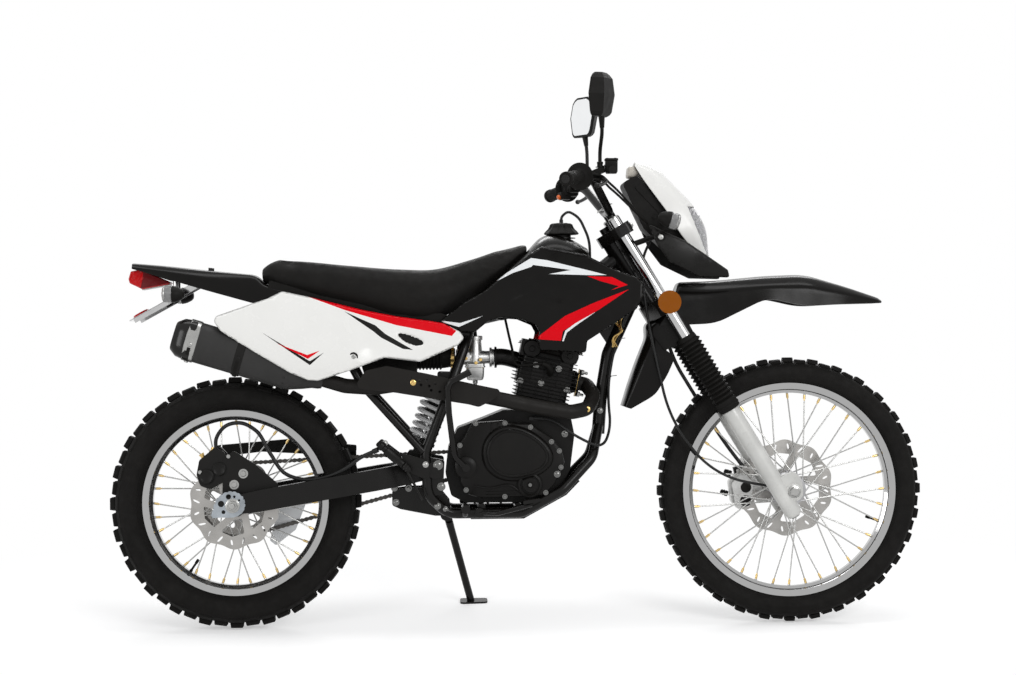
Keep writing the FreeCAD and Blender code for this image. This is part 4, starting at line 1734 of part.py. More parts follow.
NODES = {
    "chassis": [frame, subframe, control_cables, engine_block, engine_cylinder, carburettor, airbox,
                exhaust_pipe, silencer, heat_shield, fuel_tank, tank_cap, tank_shrouds, seat, side_panels,
                rear_fender, tail_lamp, plate_bracket, rear_indicators, swingarm, rear_shock, rear_axle, chain,
                chain_guard, chain_guide, rear_brake, rear_brake_line, footpegs, foot_levers, skid_plate],
    "steering": [fork_yokes, fork_stanchions, fork_gaiters, fork_lowers, front_brake, front_fender, headlamp_mask,
                 headlamp_lens, instrument_panel, headlamp_shell, front_indicators, handlebar, grips,
                 hand_controls, mirrors, steering_cables, reflectors],
    "front_wheel": [wheel_front, tyre_front, disc_front],
    "rear_wheel": [wheel_rear, tyre_rear, disc_rear, sprocket_rear],
    "side_stand": [side_stand],
}


def leaned(shape, move=V(0, 0, 0)):
    """The shape as the parked machine holds it."""
    turned = shape.copy()
    turned.rotate(V(0, 0, 0), V(1, 0, 0), -LEAN_DEG)
    turned.translate(move)
    return turned


def build():
    """Every node of the parked machine, on its origin: the middle of its box, on the ground."""
    shapes = {}
    for makers in NODES.values():
        for maker in makers:
            shapes[maker.__name__] = leaned(maker())
    box = Part.makeCompound(list(shapes.values())).optimalBoundingBox(False, False)
    home = V(-box.Center.x, -box.Center.y, -box.ZMin)
    for shape in shapes.values():
        shape.translate(home)
    return shapes, home


def main():
    os.makedirs("parts", exist_ok=True)
    shapes, home = build()
    for name, shape in shapes.items():
        shape.exportStep("parts/" + name + ".step")
        print(name, len(shape.Solids), "solids", round(shape.Volume / 1e3, 1), "cm3", shape.isValid())
    print("origin moved by", home)


if __name__ == "__main__":
    main()
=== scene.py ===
"""Dual sport motorcycle: finishes, fine pieces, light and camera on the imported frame."""
import json
import math
from bisect import bisect_right

import bmesh
import bpy
import numpy as np
from mathutils import Matrix, Vector
from mathutils.geometry import delaunay_2d_cdt


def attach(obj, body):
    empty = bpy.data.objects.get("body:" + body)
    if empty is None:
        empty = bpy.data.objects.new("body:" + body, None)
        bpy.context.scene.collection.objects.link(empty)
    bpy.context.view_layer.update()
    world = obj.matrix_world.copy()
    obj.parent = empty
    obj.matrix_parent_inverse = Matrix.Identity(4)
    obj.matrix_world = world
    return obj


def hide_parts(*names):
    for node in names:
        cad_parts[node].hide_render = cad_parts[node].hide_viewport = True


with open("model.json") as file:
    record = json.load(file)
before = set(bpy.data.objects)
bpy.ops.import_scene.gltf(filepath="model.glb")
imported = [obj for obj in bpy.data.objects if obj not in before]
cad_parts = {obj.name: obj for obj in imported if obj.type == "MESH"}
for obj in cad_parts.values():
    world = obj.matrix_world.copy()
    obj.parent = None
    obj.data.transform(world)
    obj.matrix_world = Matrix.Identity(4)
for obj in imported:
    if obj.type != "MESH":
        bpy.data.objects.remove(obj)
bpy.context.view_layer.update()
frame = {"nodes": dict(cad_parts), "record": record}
NODES = frame["nodes"]

# Places are given as on the upright machine, in millimetres: x forward from the rear axle,
# y to the rider's left, z up. The machine then leans onto its stand and moves to the row's frame.
LEAN = math.radians(9)
MM = 0.001


def vec(x, y, z):
    return Vector((x, y, z))


def joint_place(name):
    joints = frame["record"]["behaviour"]["joints"]
    return Vector(next(j["pos_m"] for j in joints if j["name"] == name))


HUB = joint_place("rear_wheel_spin")
HOME = vec(HUB.x, HUB.y - HUB.z * math.tan(LEAN), 0.0)
UPRIGHT = Matrix.Translation(HOME) @ Matrix.Rotation(-LEAN, 4, "X") @ Matrix.Scale(MM, 4)
REAR_AXLE = UPRIGHT.inverted() @ HUB
FRONT_AXLE = UPRIGHT.inverted() @ joint_place("front_wheel_spin")
HEAD_MIDDLE = UPRIGHT.inverted() @ joint_place("steering")
REACH_UNIT = HEAD_MIDDLE.x / 1040     # the head's middle lies at (1040, 920) on the solids' grid
RISE_UNIT = HEAD_MIDDLE.z / 920
RAKE = math.radians(31)
UP = vec(-math.sin(RAKE), 0.0, math.cos(RAKE))
AHEAD = vec(math.cos(RAKE), 0.0, math.sin(RAKE))
LEFT = vec(0.0, 1.0, 0.0)
FORE = vec(1.0, 0.0, 0.0)
SKY = vec(0.0, 0.0, 1.0)
SIDES = (1, -1)
FORK_LENGTH = 810.0
YOKE_DROP = 222.0                     # from the upper yoke down to the lower one
YOKE_OFFSET = 28.0
LEG_Y = 92.0
FRONT_RIM_R, REAR_RIM_R = 266.7, 228.6
FRONT_DISC_R, REAR_DISC_R = 128, 118
SKIN_HALF = 100.0
STEER_FOOT = FRONT_AXLE - AHEAD * 57.0


def body(x, z, y=0.0):
    """A point on the chassis, on the grid that the solids use."""
    return vec(x * REACH_UNIT, y, z * RISE_UNIT)


def steer(ahead, up, y=0.0):
    """A point ahead of the steering axis and up along it."""
    return STEER_FOOT + AHEAD * ahead + UP * up + LEFT * y


def front(x, z, y=0.0):
    """A point measured from the front axle."""
    return FRONT_AXLE + vec(x, y, z)


def line_of(place, pairs, y=0.0):
    """The points of an outline or route whose (x, z) pairs are given in one of the systems above."""
    return [place(x, z, y) for x, z in pairs]


def route_of(place, triples):
    """As line_of, for (x, z, y)."""
    return [place(x, z, y) for x, z, y in triples]


def turns(count):
    """The angles of so many even steps round a full turn."""
    return [2 * math.pi * k / count for k in range(count)]


def radial(angle, size=1.0):
    """Outward from an axle, at an angle from straight up towards the front."""
    return vec(size * math.sin(angle), 0, size * math.cos(angle))


def link_in(thing):
    bpy.context.scene.collection.objects.link(thing)
    return thing


# Camera: square to the leaning machine's side, with the photograph's small turn and roll
PHOTO_WIDTH = 1016
FOCAL = 87.7
SENSOR = 36.0
DISTANCE = 6500.0
AIM = vec(715.0, 0.0, 775.0)
TURN = math.radians(-1.9)
ROLL = math.radians(-0.52)
AIM_RISE_PX = 7.5            # how far above the picture's middle the aim lies
CLIP_END = 60.0


def make_camera():
    data = bpy.data.cameras.new("camera")
    data.lens = FOCAL
    data.sensor_width = SENSOR
    data.shift_y = -AIM_RISE_PX / PHOTO_WIDTH
    data.clip_end = CLIP_END
    camera = link_in(bpy.data.objects.new("camera", data))
    back = vec(math.sin(TURN), -math.cos(TURN), 0.0)
    right = vec(math.cos(TURN), math.sin(TURN), 0.0)
    basis = Matrix((right, SKY, back)).transposed()
    lean = Matrix.Rotation(-LEAN, 3, "X")
    place = (lean @ basis @ Matrix.Rotation(ROLL, 3, "Z")).to_4x4()
    place.translation = UPRIGHT @ (AIM + back * DISTANCE)
    camera.matrix_world = place
    bpy.context.scene.camera = camera


make_camera()

# Materials. Each is a shader with its own grain, in the object's own coordinates.
FINISHES = {}
SOCKETS = {"color": "Base Color", "roughness": "Roughness", "metallic": "Metallic",
           "normal": "Normal", "coat": "Coat Weight", "coat_roughness": "Coat Roughness",
           "specular": "Specular IOR Level", "transmission": "Transmission Weight",
           "sheen": "Sheen Weight", "ior": "IOR"}
COAT_ROUGHNESS = 0.08
ACRYLIC_IOR = 1.49
DULL = 0.1                            # specular level of grained rubber and plastic


class Finish:
    """A material under construction; the methods add nodes and return sockets."""

    def __init__(self, name):
        self.material = bpy.data.materials.new(name + "_finish")
        self.material["slot"] = name
        FINISHES[name] = self.material
        self.material.use_nodes = True
        self.tree = self.material.node_tree
        self.shader = self.tree.nodes["Principled BSDF"]
        self.place = self.node("ShaderNodeTexCoord").outputs["Object"]

    def node(self, kind, inputs=(), **values):
        """A new node; inputs are (number or name, socket or value), the rest names or properties."""
        made = self.tree.nodes.new(kind)
        for key, value in values.items():
            if key in made.inputs:
                made.inputs[key].default_value = value
            else:
                setattr(made, key, value)
        for key, value in inputs:
            self.feed(value, made.inputs[key])
        return made

    def feed(self, value, socket):
        if isinstance(value, bpy.types.NodeSocket):
            self.tree.links.new(value, socket)
        elif isinstance(value, tuple):
            socket.default_value = (*value, 1.0) if len(socket.default_value) > len(value) else value
        else:
            socket.default_value = value

    def noise(self, scale, detail=4.0, place=None):
        at = place or self.place
        return self.node("ShaderNodeTexNoise", [("Vector", at)], Scale=scale, Detail=detail).outputs["Fac"]

    def stretched(self, x, y, z):
        """The object's coordinates with each axis scaled, for brushed or drawn grain."""
        at = self.node("ShaderNodeMapping", [("Scale", (x, y, z)), ("Vector", self.place)])
        return at.outputs["Vector"]

    def steps(self, source, stops):
        """A value for each range of the source, changing at the stops."""
        made = self.node("ShaderNodeValToRGB", [("Fac", source)])
        made.color_ramp.interpolation = "CONSTANT"
        ramp = made.color_ramp.elements
        while len(ramp) < len(stops):
            ramp.new(0.5)
        for element, (where, value) in zip(ramp, stops):
            element.position = where
            element.color = (*value, 1.0)
        return made.outputs["Color"]

    def spread(self, source, low, high, start=0.3, end=0.7):
        """A number that goes from low to high as the source goes from start to end."""
        return self.node("ShaderNodeMapRange", [
            ("Value", source), ("From Min", start), ("From Max", end), ("To Min", low), ("To Max", high)
        ]).outputs["Result"]

    def mix(self, share, first, second):
        made = self.node("ShaderNodeMix", data_type="RGBA")
        for key, source in (("Factor", share), (6, first), (7, second)):
            self.feed(source, made.inputs[key])
        return made.outputs[2]

    def bump(self, height, depth):
        """Bump of the given depth in metres."""
        made = self.node("ShaderNodeBump", [("Height", height)], Strength=1.0, Distance=depth)
        return made.outputs["Normal"]

    def set(self, **values):
        for key, value in values.items():
            self.feed(value, self.shader.inputs[SOCKETS[key]])
        return self.material

    def mottled(self, color, dark, light, patches, roughness, smooth, dull, gloss=None, **more):
        """A colour that wanders between two shades, with a gloss uneven in these or its own patches."""
        cloud = self.noise(*patches)
        uneven = self.noise(*gloss) if gloss else cloud
        tint = self.mix(self.spread(cloud, 0, 1), shade(color, dark), shade(color, light))
        rough = self.spread(uneven, roughness * smooth, min(1.0, roughness * dull))
        return self.set(color=tint, roughness=rough, **more)


def shade(color, factor):
    return tuple(min(1.0, c * factor) for c in color)


def painted(name, color, roughness, orange_peel=0.00001, coat=0.0, dust=0.12, specular=0.5):
    """Paint or lacquered plastic: a trace of orange peel, faint mottling and uneven gloss."""
    f = Finish(name)
    return f.mottled(color, 1 - dust, 1 + dust, (14, 5), roughness, 0.8, 1.25, (38, 6),
                     normal=f.bump(f.noise(420, 2), orange_peel), coat=coat,
                     coat_roughness=COAT_ROUGHNESS, specular=specular)


def grained(name, color, roughness, scale=900, depth=0.00006, sheen=0.0):
    """Moulded plastic or rubber with a fine pebbled grain."""
    f = Finish(name)
    cells = f.node("ShaderNodeTexVoronoi", [("Vector", f.place)], Scale=scale).outputs["Distance"]
    return f.mottled(color, 0.82, 1.25, (22, 5), roughness, 0.88, 1.12, (60, 4),
                     normal=f.bump(cells, depth), sheen=sheen, specular=DULL)


def metal(name, color, roughness, grain=(600, 600, 60), depth=0.000004, cloud=0.1):
    """Bare metal with drawn or brushed grain and a slightly clouded gloss."""
    f = Finish(name)
    lines = f.noise(1.0, 3, f.stretched(*grain))
    return f.mottled(color, 1 - cloud, 1 + cloud / 2, (26, 5), roughness, 0.75, 1.3,
                     metallic=1.0, normal=f.bump(lines, depth))


def cast(name, color, roughness, metallic=1.0, depth=0.00008, specular=0.5):
    """Sand-cast or sprayed metal with a rough skin."""
    f = Finish(name)
    return f.mottled(color, 0.82, 1.15, (18, 6), roughness, 0.85, 1.15, (70, 4),
                     metallic=metallic, normal=f.bump(f.noise(900, 3), depth), specular=specular)


def lens(name, color, roughness=0.06, transmission=0.6, ribs=(0, 0, 420), depth=0.0002, specular=0.5):
    """Moulded lens with fine ribs inside it."""
    f = Finish(name)
    wave = f.node("ShaderNodeTexWave", [("Vector", f.stretched(*ribs))], Scale=1.0, bands_direction="Z")
    return f.set(color=color, roughness=roughness, transmission=transmission, ior=ACRYLIC_IOR,
                 specular=specular, normal=f.bump(wave.outputs["Fac"], depth))


frame_paint = painted("frame_paint", (0.0045, 0.004, 0.0036), 0.26, 0.00002, specular=0.2)
engine_black = cast("engine_black", (0.005, 0.0045, 0.004), 0.36, 0.0, specular=0.14)
cast_alloy = cast("cast_alloy", (0.56, 0.56, 0.55), 0.36)
black_plastic = grained("black_plastic", (0.006, 0.0056, 0.005), 0.5)
exhaust_black = painted("exhaust_black", (0.009, 0.008, 0.007), 0.5, 0.00004, specular=0.14)
silencer_black = cast("silencer_black", (0.016, 0.0155, 0.015), 0.52, 0.0, 0.00005, specular=0.3)
gloss_cap = painted("cap_gloss", (0.006, 0.0055, 0.005), 0.18, 0.00001, specular=0.25)
gloss_black = painted("gloss_black", (0.0036, 0.0032, 0.0028), 0.2, 0.000006, specular=0.13)
seat_cover = grained("seat_cover", (0.0055, 0.005, 0.0045), 0.6, 700, 0.00012, 0.02)
white_plastic = painted("white_plastic", (0.76, 0.757, 0.735), 0.24, 0.000006, 0.0, 0.015, specular=0.4)
red_paint = painted("stripe_red", (0.64, 0.0, 0.006), 0.26, 0.000006, 0.0, 0.03, specular=0.12)
white_paint = painted("stripe_white", (0.74, 0.76, 0.77), 0.28, 0.000006, 0.3, 0.02)
black_paint = painted("stripe_black", (0.006, 0.0056, 0.005), 0.3, 0.000006, 0.0, 0.06, specular=0.14)
dial_beige = painted("dial_beige", (0.44, 0.41, 0.36), 0.4)
switch_orange = painted("switch_orange", (0.75, 0.13, 0.01), 0.35)
red_lens = lens("red_lens", (0.52, 0.0, 0.002), 0.1, 0.0, specular=0.2)
dark_red_lens = lens("dark_red_lens", (0.13, 0.0, 0.002), 0.1, 0.0, specular=0.2)
amber_lens = lens("amber_lens", (0.26, 0.07, 0.0), 0.2, 0.0, specular=0.12)
clear_lens = lens("clear_lens", (0.9, 0.9, 0.92), transmission=0.85)
smoked_lens = lens("smoked_lens", (0.36, 0.36, 0.36), 0.1, 0.55, (260, 260, 260), 0.0003)
bright_steel = metal("bright_steel", (0.36, 0.36, 0.35), 0.28)
bolt_steel = metal("bolt_steel", (0.17, 0.17, 0.165), 0.24)
shock_paint = painted("shock_paint", (0.62, 0.62, 0.62), 0.3)
chain_steel = metal("chain_steel", (0.09, 0.085, 0.08), 0.42)
caliper_black = cast("caliper_black", (0.006, 0.0056, 0.005), 0.4, 0.0, specular=0.16)
chrome_tube = metal("chrome_tube", (0.52, 0.52, 0.52), 0.09, (40, 40, 900))
black_rubber = grained("black_rubber", (0.006, 0.0056, 0.005), 0.62, 1200)
fork_silver = painted("fork_silver", (0.56, 0.56, 0.54), 0.3)
wheel_metal = metal("wheel_metal", (0.60, 0.60, 0.61), 0.16, (30, 500, 30))
tyre_rubber = grained("tyre_rubber", (0.007, 0.0065, 0.006), 0.7, 500, 0.0001)
disc_steel = metal("disc_steel", (0.37, 0.36, 0.345), 0.3, (500, 30, 500))
cable_black = painted("cable_black", (0.006, 0.006, 0.006), 0.4, 0.00003, specular=0.25)
guide_alloy = metal("guide_alloy", (0.5, 0.51, 0.52), 0.36)
mirror_bowl = metal("mirror_bowl", (0.6, 0.61, 0.62), 0.06, (60, 60, 60), 0.000001)
mirror_glass = metal("mirror_glass", (0.86, 0.87, 0.88), 0.03, (20, 20, 20), 0.0000002, 0.02)
brass = metal("brass_fitting", (0.62, 0.43, 0.16), 0.28)
zinc = metal("zinc_plate", (0.34, 0.37, 0.40), 0.34, (300, 300, 300), 0.00001, 0.25)


def dress(node, material):
    materials = NODES[node].data.materials
    materials.clear()
    materials.append(material)


for part in frame["record"]["subparts"]:
    dress(part["node"], FINISHES[part["material_slot"]])

# Shapes. A form gathers faces in upright millimetres, and is then placed as one piece.
def slope(knots, points, k):
    last = len(knots) - 1
    if k == 0 or k == last:
        k = max(k, 1)
        return (points[k] - points[k - 1]) * (1 / (knots[k] - knots[k - 1]))
    before, after = knots[k] - knots[k - 1], knots[k + 1] - knots[k]
    into, out = (points[k] - points[k - 1]) * (1 / before), (points[k + 1] - points[k]) * (1 / after)
    return (into * after + out * before) * (1 / (before + after))


def run_at(knots, at):
    """A place kept within the knots, and the run that it lies in."""
    at = max(knots[0], min(knots[-1], at))
    return at, max(0, min(len(knots) - 2, bisect_right(knots, at) - 1))


def through(knots, points, at):
    """The point at a place along the smooth curve that passes through the points at their knots."""
    at, i = run_at(knots, at)
    span = knots[i + 1] - knots[i]
    t = (at - knots[i]) / span
    return (points[i] * (2 * t ** 3 - 3 * t * t + 1)
            + slope(knots, points, i) * (span * (t ** 3 - 2 * t * t + t))
            + points[i + 1] * (3 * t * t - 2 * t ** 3)
            + slope(knots, points, i + 1) * (span * (t ** 3 - t * t)))


def bend(a, corner, b, t):
    """The point at a share of the easy bend from a to b under a corner."""
    return a * (1 - t) ** 2 + corner * (2 * t * (1 - t)) + b * t * t


def folded(knots, points, at, share):
    """As through, but in straight runs, with each corner eased over a share of its runs."""
    at, i = run_at(knots, at)
    for k in (i, i + 1):
        if 0 < k < len(knots) - 1:
            before, after = knots[k] - knots[k - 1], knots[k + 1] - knots[k]
            reach = share * min(before, after)
            if abs(at - knots[k]) < reach:
                a = points[k] + (points[k - 1] - points[k]) * (reach / before)
                b = points[k] + (points[k + 1] - points[k]) * (reach / after)
                return bend(a, points[k], b, (at - knots[k] + reach) / (2 * reach))
    t = (at - knots[i]) / (knots[i + 1] - knots[i])
    return points[i] * (1 - t) + points[i + 1] * t


def knots_of(points):
    """The length of the line up to each of its points."""
    knots = [0.0]
    for a, b in zip(points, points[1:]):
        knots.append(knots[-1] + max((b - a).length, 0.01))
    return knots


def smooth_line(points, step):
    """Points every so many millimetres along the smooth curve through the given ones."""
    knots = knots_of(points)
    count = max(2, round(knots[-1] / step))
    return [through(knots, points, knots[-1] * i / count) for i in range(count + 1)]


def eased(points, step=6):
    """As smooth_line, but along straight runs with easy bends."""
    knots = knots_of(points)
    count = max(2, int(knots[-1] / step))
    return [folded(knots, points, knots[-1] * k / count, 0.5) for k in range(count + 1)]


def rounded(outline, radius, arc=5):
    """A closed outline with its corners rounded, by at most the radius."""
    most = 0.48                       # of a side may go into each of its corners
    made = []
    for i, corner in enumerate(outline):
        back, on = outline[i - 1] - corner, outline[(i + 1) % len(outline)] - corner
        half = back.angle(on) / 2
        trim = min(radius / max(math.tan(half), 0.05), back.length * most, on.length * most)
        start, end = corner + back.normalized() * trim, corner + on.normalized() * trim
        made += [bend(start, corner, end, k / arc) for k in range(arc + 1)]
    return made


def smoothed(corners, radius, arc=4):
    """As rounded, for (u, v) pairs."""
    return [(p.x, p.z) for p in rounded(flat(corners), radius, arc)]


def flat(pairs):
    return [vec(u, 0, v) for u, v in pairs]


def box_ring(u, v, radius, arc=4):
    """The (u, v) pairs of a rectangle of two half sides, with its corners rounded."""
    return smoothed([(u * a, v * b) for a, b in CORNERS], radius, arc)


def modifier(made, name, kind, **values):
    added = made.modifiers.new(name, kind)
    for key, value in values.items():
        setattr(added, key, value)
    return added


HEX_SIDES = 6
CORNERS = ((-1, -1), (1, -1), (1, 1), (-1, 1))


class Form:
    """Faces that become one piece."""

    def __init__(self):
        self.mesh = bmesh.new()
        self.paint = 0                # the number of the material for the faces that follow

    def face(self, verts):
        try:
            self.mesh.faces.new(verts).material_index = self.paint
        except ValueError:
            return

    def grid(self, rows, keep=None):
        """An open sheet over rows of points, or only its cells whose middle is to be kept."""
        rows = [[self.mesh.verts.new(p) for p in row] for row in rows]
        for a, b in zip(rows, rows[1:]):
            for j in range(len(a) - 1):
                if not keep or keep((a[j].co + b[j + 1].co) / 2):
                    self.face((a[j], b[j], b[j + 1], a[j + 1]))

    def loft(self, rings, ends=True):
        rows = [[self.mesh.verts.new(p) for p in ring] for ring in rings]
        count = len(rows[0])
        for a, b in zip(rows, rows[1:]):
            for i in range(count):
                j = (i + 1) % count
                self.face((a[i], a[j], b[j], b[i]))
        if ends:
            self.face(rows[0][::-1])
            self.face(rows[-1])
        return self

    def lathe(self, profile, centre, axis, steps=32, ends=True):
        """Turns a profile of (place along the axis, radius) round the axis."""
        axis = axis.normalized()
        one = axis.orthogonal().normalized()
        two = axis.cross(one)
        return self.loft([[centre + axis * along + (one * math.cos(a) + two * math.sin(a)) * radius
                           for a in turns(steps)] for along, radius in profile], ends)

    def wheel(self, profile, centre, steps=96):
        """Turns a closed profile of (y, radius) round an axle."""
        return self.lathe(profile + profile[:1], centre, LEFT, steps, ends=False)

    def rod(self, start, end, radius, sides=12):
        way = end - start
        return self.lathe([(0, radius), (way.length, radius)], start, way, sides)

    def tube(self, line, radius, sides=10):
        """A tube along a dense line of points; the radius may be a function of the share of the way."""
        side = (line[1] - line[0]).orthogonal().normalized()
        rings = []
        last = len(line) - 1
        for i, p in enumerate(line):
            way = (line[min(i + 1, last)] - line[max(i - 1, 0)]).normalized()
            side = (side - way * side.dot(way)).normalized()
            other = way.cross(side)
            r = radius(i / last) if callable(radius) else radius
            rings.append([p + (side * math.cos(a) + other * math.sin(a)) * r for a in turns(sides)])
        return self.loft(rings)

    def prism(self, outline, way):
        """A solid between an outline and the same one moved by the way."""
        return self.loft([outline, [p + way for p in outline]])

    def slab(self, outline, y_low, y_high):
        """An outline in the side view, from one y to another."""
        return self.prism([vec(p.x, y_low, p.z) for p in outline], LEFT * (y_high - y_low))

    def cut(self, place, pairs, radius, arc, y_low, y_high):
        """A slab of (x, z) pairs in one of the systems of places, with its corners rounded."""
        return self.slab(rounded(line_of(place, pairs), radius, arc), y_low, y_high)

    def swollen(self, outline, radius, steps):
        """Rounded outlines in the side view, at each (y, size about their middle)."""
        middle = sum(outline, Vector()) / len(outline)
        self.loft([[vec(middle.x + (p.x - middle.x) * s, y, middle.z + (p.z - middle.z) * s)
                    for p in rounded(outline, radius, 4)] for y, s in steps])

    def block(self, centre, x_way, y_way, z_way, taper=1.0):
        """A box of three half sides; its face along the third is smaller by the taper."""
        low = [centre - z_way + x_way * a + y_way * b for a, b in CORNERS]
        high = [centre + z_way + (x_way * a + y_way * b) * taper for a, b in CORNERS]
        return self.loft([low, high])

    def hexagon(self, centre, axis, radius, thick):
        """A bolt head with a chamfered top, on a washer."""
        axis = axis.normalized()
        washer = thick * 0.22
        self.lathe([(0, radius * 1.45), (washer, radius * 1.45)], centre, axis, 20)
        head = [(washer, radius), (thick * 0.86, radius), (thick, radius * 0.84)]
        return self.lathe(head, centre, axis, HEX_SIDES)

    def plate(self, outline, holes, at, thick):
        """A plate of (u, v) chains; at(u, v, w) gives the point, with w from 0 to the thickness."""
        points, edges = [], []
        for chain in [outline] + holes:
            add_loop(points, edges, chain)
        made, kept = cut_sheet(points, edges, flat(outline), [flat(hole) for hole in holes], 0.001)
        low, high = ([self.mesh.verts.new(at(p[0], p[1], w)) for p in made] for w in (0, thick))
        for corners, _, _ in kept:
            self.face([low[i] for i in corners])
            self.face([high[i] for i in reversed(corners)])
        for i, j in edges:
            self.face((low[i], low[j], high[j], high[i]))
        self.drop_loose()

    def axle_plate(self, axle, y_low, thick, outline, holes):
        """A plate round an axle; u runs forward and v up."""
        self.plate(outline, holes, lambda u, v, w: axle + vec(u, y_low + w, v), thick)

    def drop_loose(self):
        loose = [v for v in self.mesh.verts if not v.link_faces]
        bmesh.ops.delete(self.mesh, geom=loose, context="VERTS")

    def both(self):
        """Adds the mirror image on the machine's other side."""
        whole = list(self.mesh.verts) + list(self.mesh.faces)
        made = bmesh.ops.duplicate(self.mesh, geom=whole)["geom"]
        for v in made:
            if isinstance(v, bmesh.types.BMVert):
                v.co.y = -v.co.y
        faces = [f for f in made if isinstance(f, bmesh.types.BMFace)]
        bmesh.ops.reverse_faces(self.mesh, faces=faces)
        return self

    def place(self, name, on, materials, node=None, bevel=0.0, sharp=38, thick=0.0):
        """Makes the piece, in the row's frame, riding on a body."""
        if not thick:
            bmesh.ops.recalc_face_normals(self.mesh, faces=self.mesh.faces)
        self.mesh.transform(UPRIGHT)
        mesh = bpy.data.meshes.new(name)
        self.mesh.to_mesh(mesh)
        self.mesh.free()
        materials = materials if isinstance(materials, list) else [materials]
        for material in materials:
            mesh.materials.append(material)
        mesh.shade_smooth()
        mesh.set_sharp_from_angle(angle=math.radians(sharp))
        made = link_in(bpy.data.objects.new(name, mesh))
        if thick:
            modifier(made, "wall", "SOLIDIFY", thickness=thick / 1000, offset=-1)
        if bevel:
            modifier(made, "edge", "BEVEL", width=bevel / 1000, segments=2, limit_method="ANGLE",
                     angle_limit=math.radians(sharp), harden_normals=True)
        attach(made, on)
        if node:
            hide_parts(node)
        return made


# Skins: moulded panels whose depth is given by smooth lines at a few stations
def inside(x, z, outline):
    """Whether a place in the side view lies in a closed outline."""
    odd = False
    for i, p in enumerate(outline):
        q = outline[i - 1]
        if (p.z > z) != (q.z > z) and x < (q.x - p.x) * (z - p.z) / (q.z - p.z) + p.x:
            odd = not odd
    return odd


def add_loop(points, edges, chain):
    """Adds a closed chain of pairs to the points, and its sides to the edges."""
    first = len(points)
    points += chain
    edges += [(first + i, first + (i + 1) % len(chain)) for i in range(len(chain))]


def cut_sheet(points, edges, outline, holes, tolerance):
    """All points and the triangles between them in the outline and out of the holes, with middles."""
    made, _, faces, _, _, _ = delaunay_2d_cdt([Vector(p) for p in points], edges, [], 0, tolerance)
    kept = []
    for corners in faces:
        x, z = (sum(made[i][axis] for i in corners) / len(corners) for axis in (0, 1))
        if inside(x, z, outline) and not any(inside(x, z, hole) for hole in holes):
            kept.append((corners, x, z))
    return made, kept


def far_from(points, chains):
    """The distance in the side view from each point to the nearest run of the chains."""
    p = np.array([(q[0], q[1]) for q in points])
    best = np.full(len(p), 1e9)
    for chain in chains:
        a = np.array([(q.x, q.z) for q in chain])
        b = np.roll(a, -1, axis=0)
        for start, end in zip(a, b):
            way = end - start
            size = max(float(way @ way), 1e-9)
            t = np.clip(((p - start) @ way) / size, 0, 1)
            best = np.minimum(best, np.linalg.norm(p - (start + t[:, None] * way), axis=1))
    return best


def depth_lines(grid, stations):
    """The panel's y at any (x, z), from the stations' lines of (y, z)."""
    places = [grid(x, 0).x for x, _ in stations]
    lines = [([grid(0, z).z for _, z in line], [y * SKIN_HALF for y, _ in line])
             for _, line in stations]

    def depth(x, z):
        return through(places, [through(heights, depths, z) for heights, depths in lines], x)
    return depth


EDGE_ROWS = (0.25, 0.6, 1.0, 1.5)     # rows of points beside a panel's edge, in shares of its roll
CELL = 2.5                            # no two inner points of a panel share a cell of this size
ROW_SHARE = 0.87                      # the distance of the grid's rows, in spacings
CLEAR_SHARE = 0.25                    # how near an inner point may come to a stripe, in spacings
LINE_SHARE = 0.7                      # the spacing along outlines and stripes


def skin_points(chains, edge, spacing):
    """Candidate points inside a panel: rows along its edges and a staggered grid."""
    inner = []
    for share in EDGE_ROWS:
        inset = edge * share
        for chain in chains:
            for i, p in enumerate(chain):
                run = chain[(i + 1) % len(chain)] - p
                steps = max(1, round(run.length / spacing))
                side = vec(-run.z, 0, run.x).normalized()
                for k in range(steps):
                    at = p + run * ((k + 0.5) / steps)
                    for way in (1, -1):
                        inner.append((at.x + side.x * inset * way, at.z + side.z * inset * way,
                                      inset * 0.9))
    xs, zs = [p.x for p in chains[0]], [p.z for p in chains[0]]
    row, z = 0, min(zs)
    while z < max(zs):
        x = min(xs) + (row % 2) * spacing / 2
        while x < max(xs):
            inner.append((x, z, edge * 1.7))
            x += spacing
        z += spacing * ROW_SHARE
        row += 1
    return inner


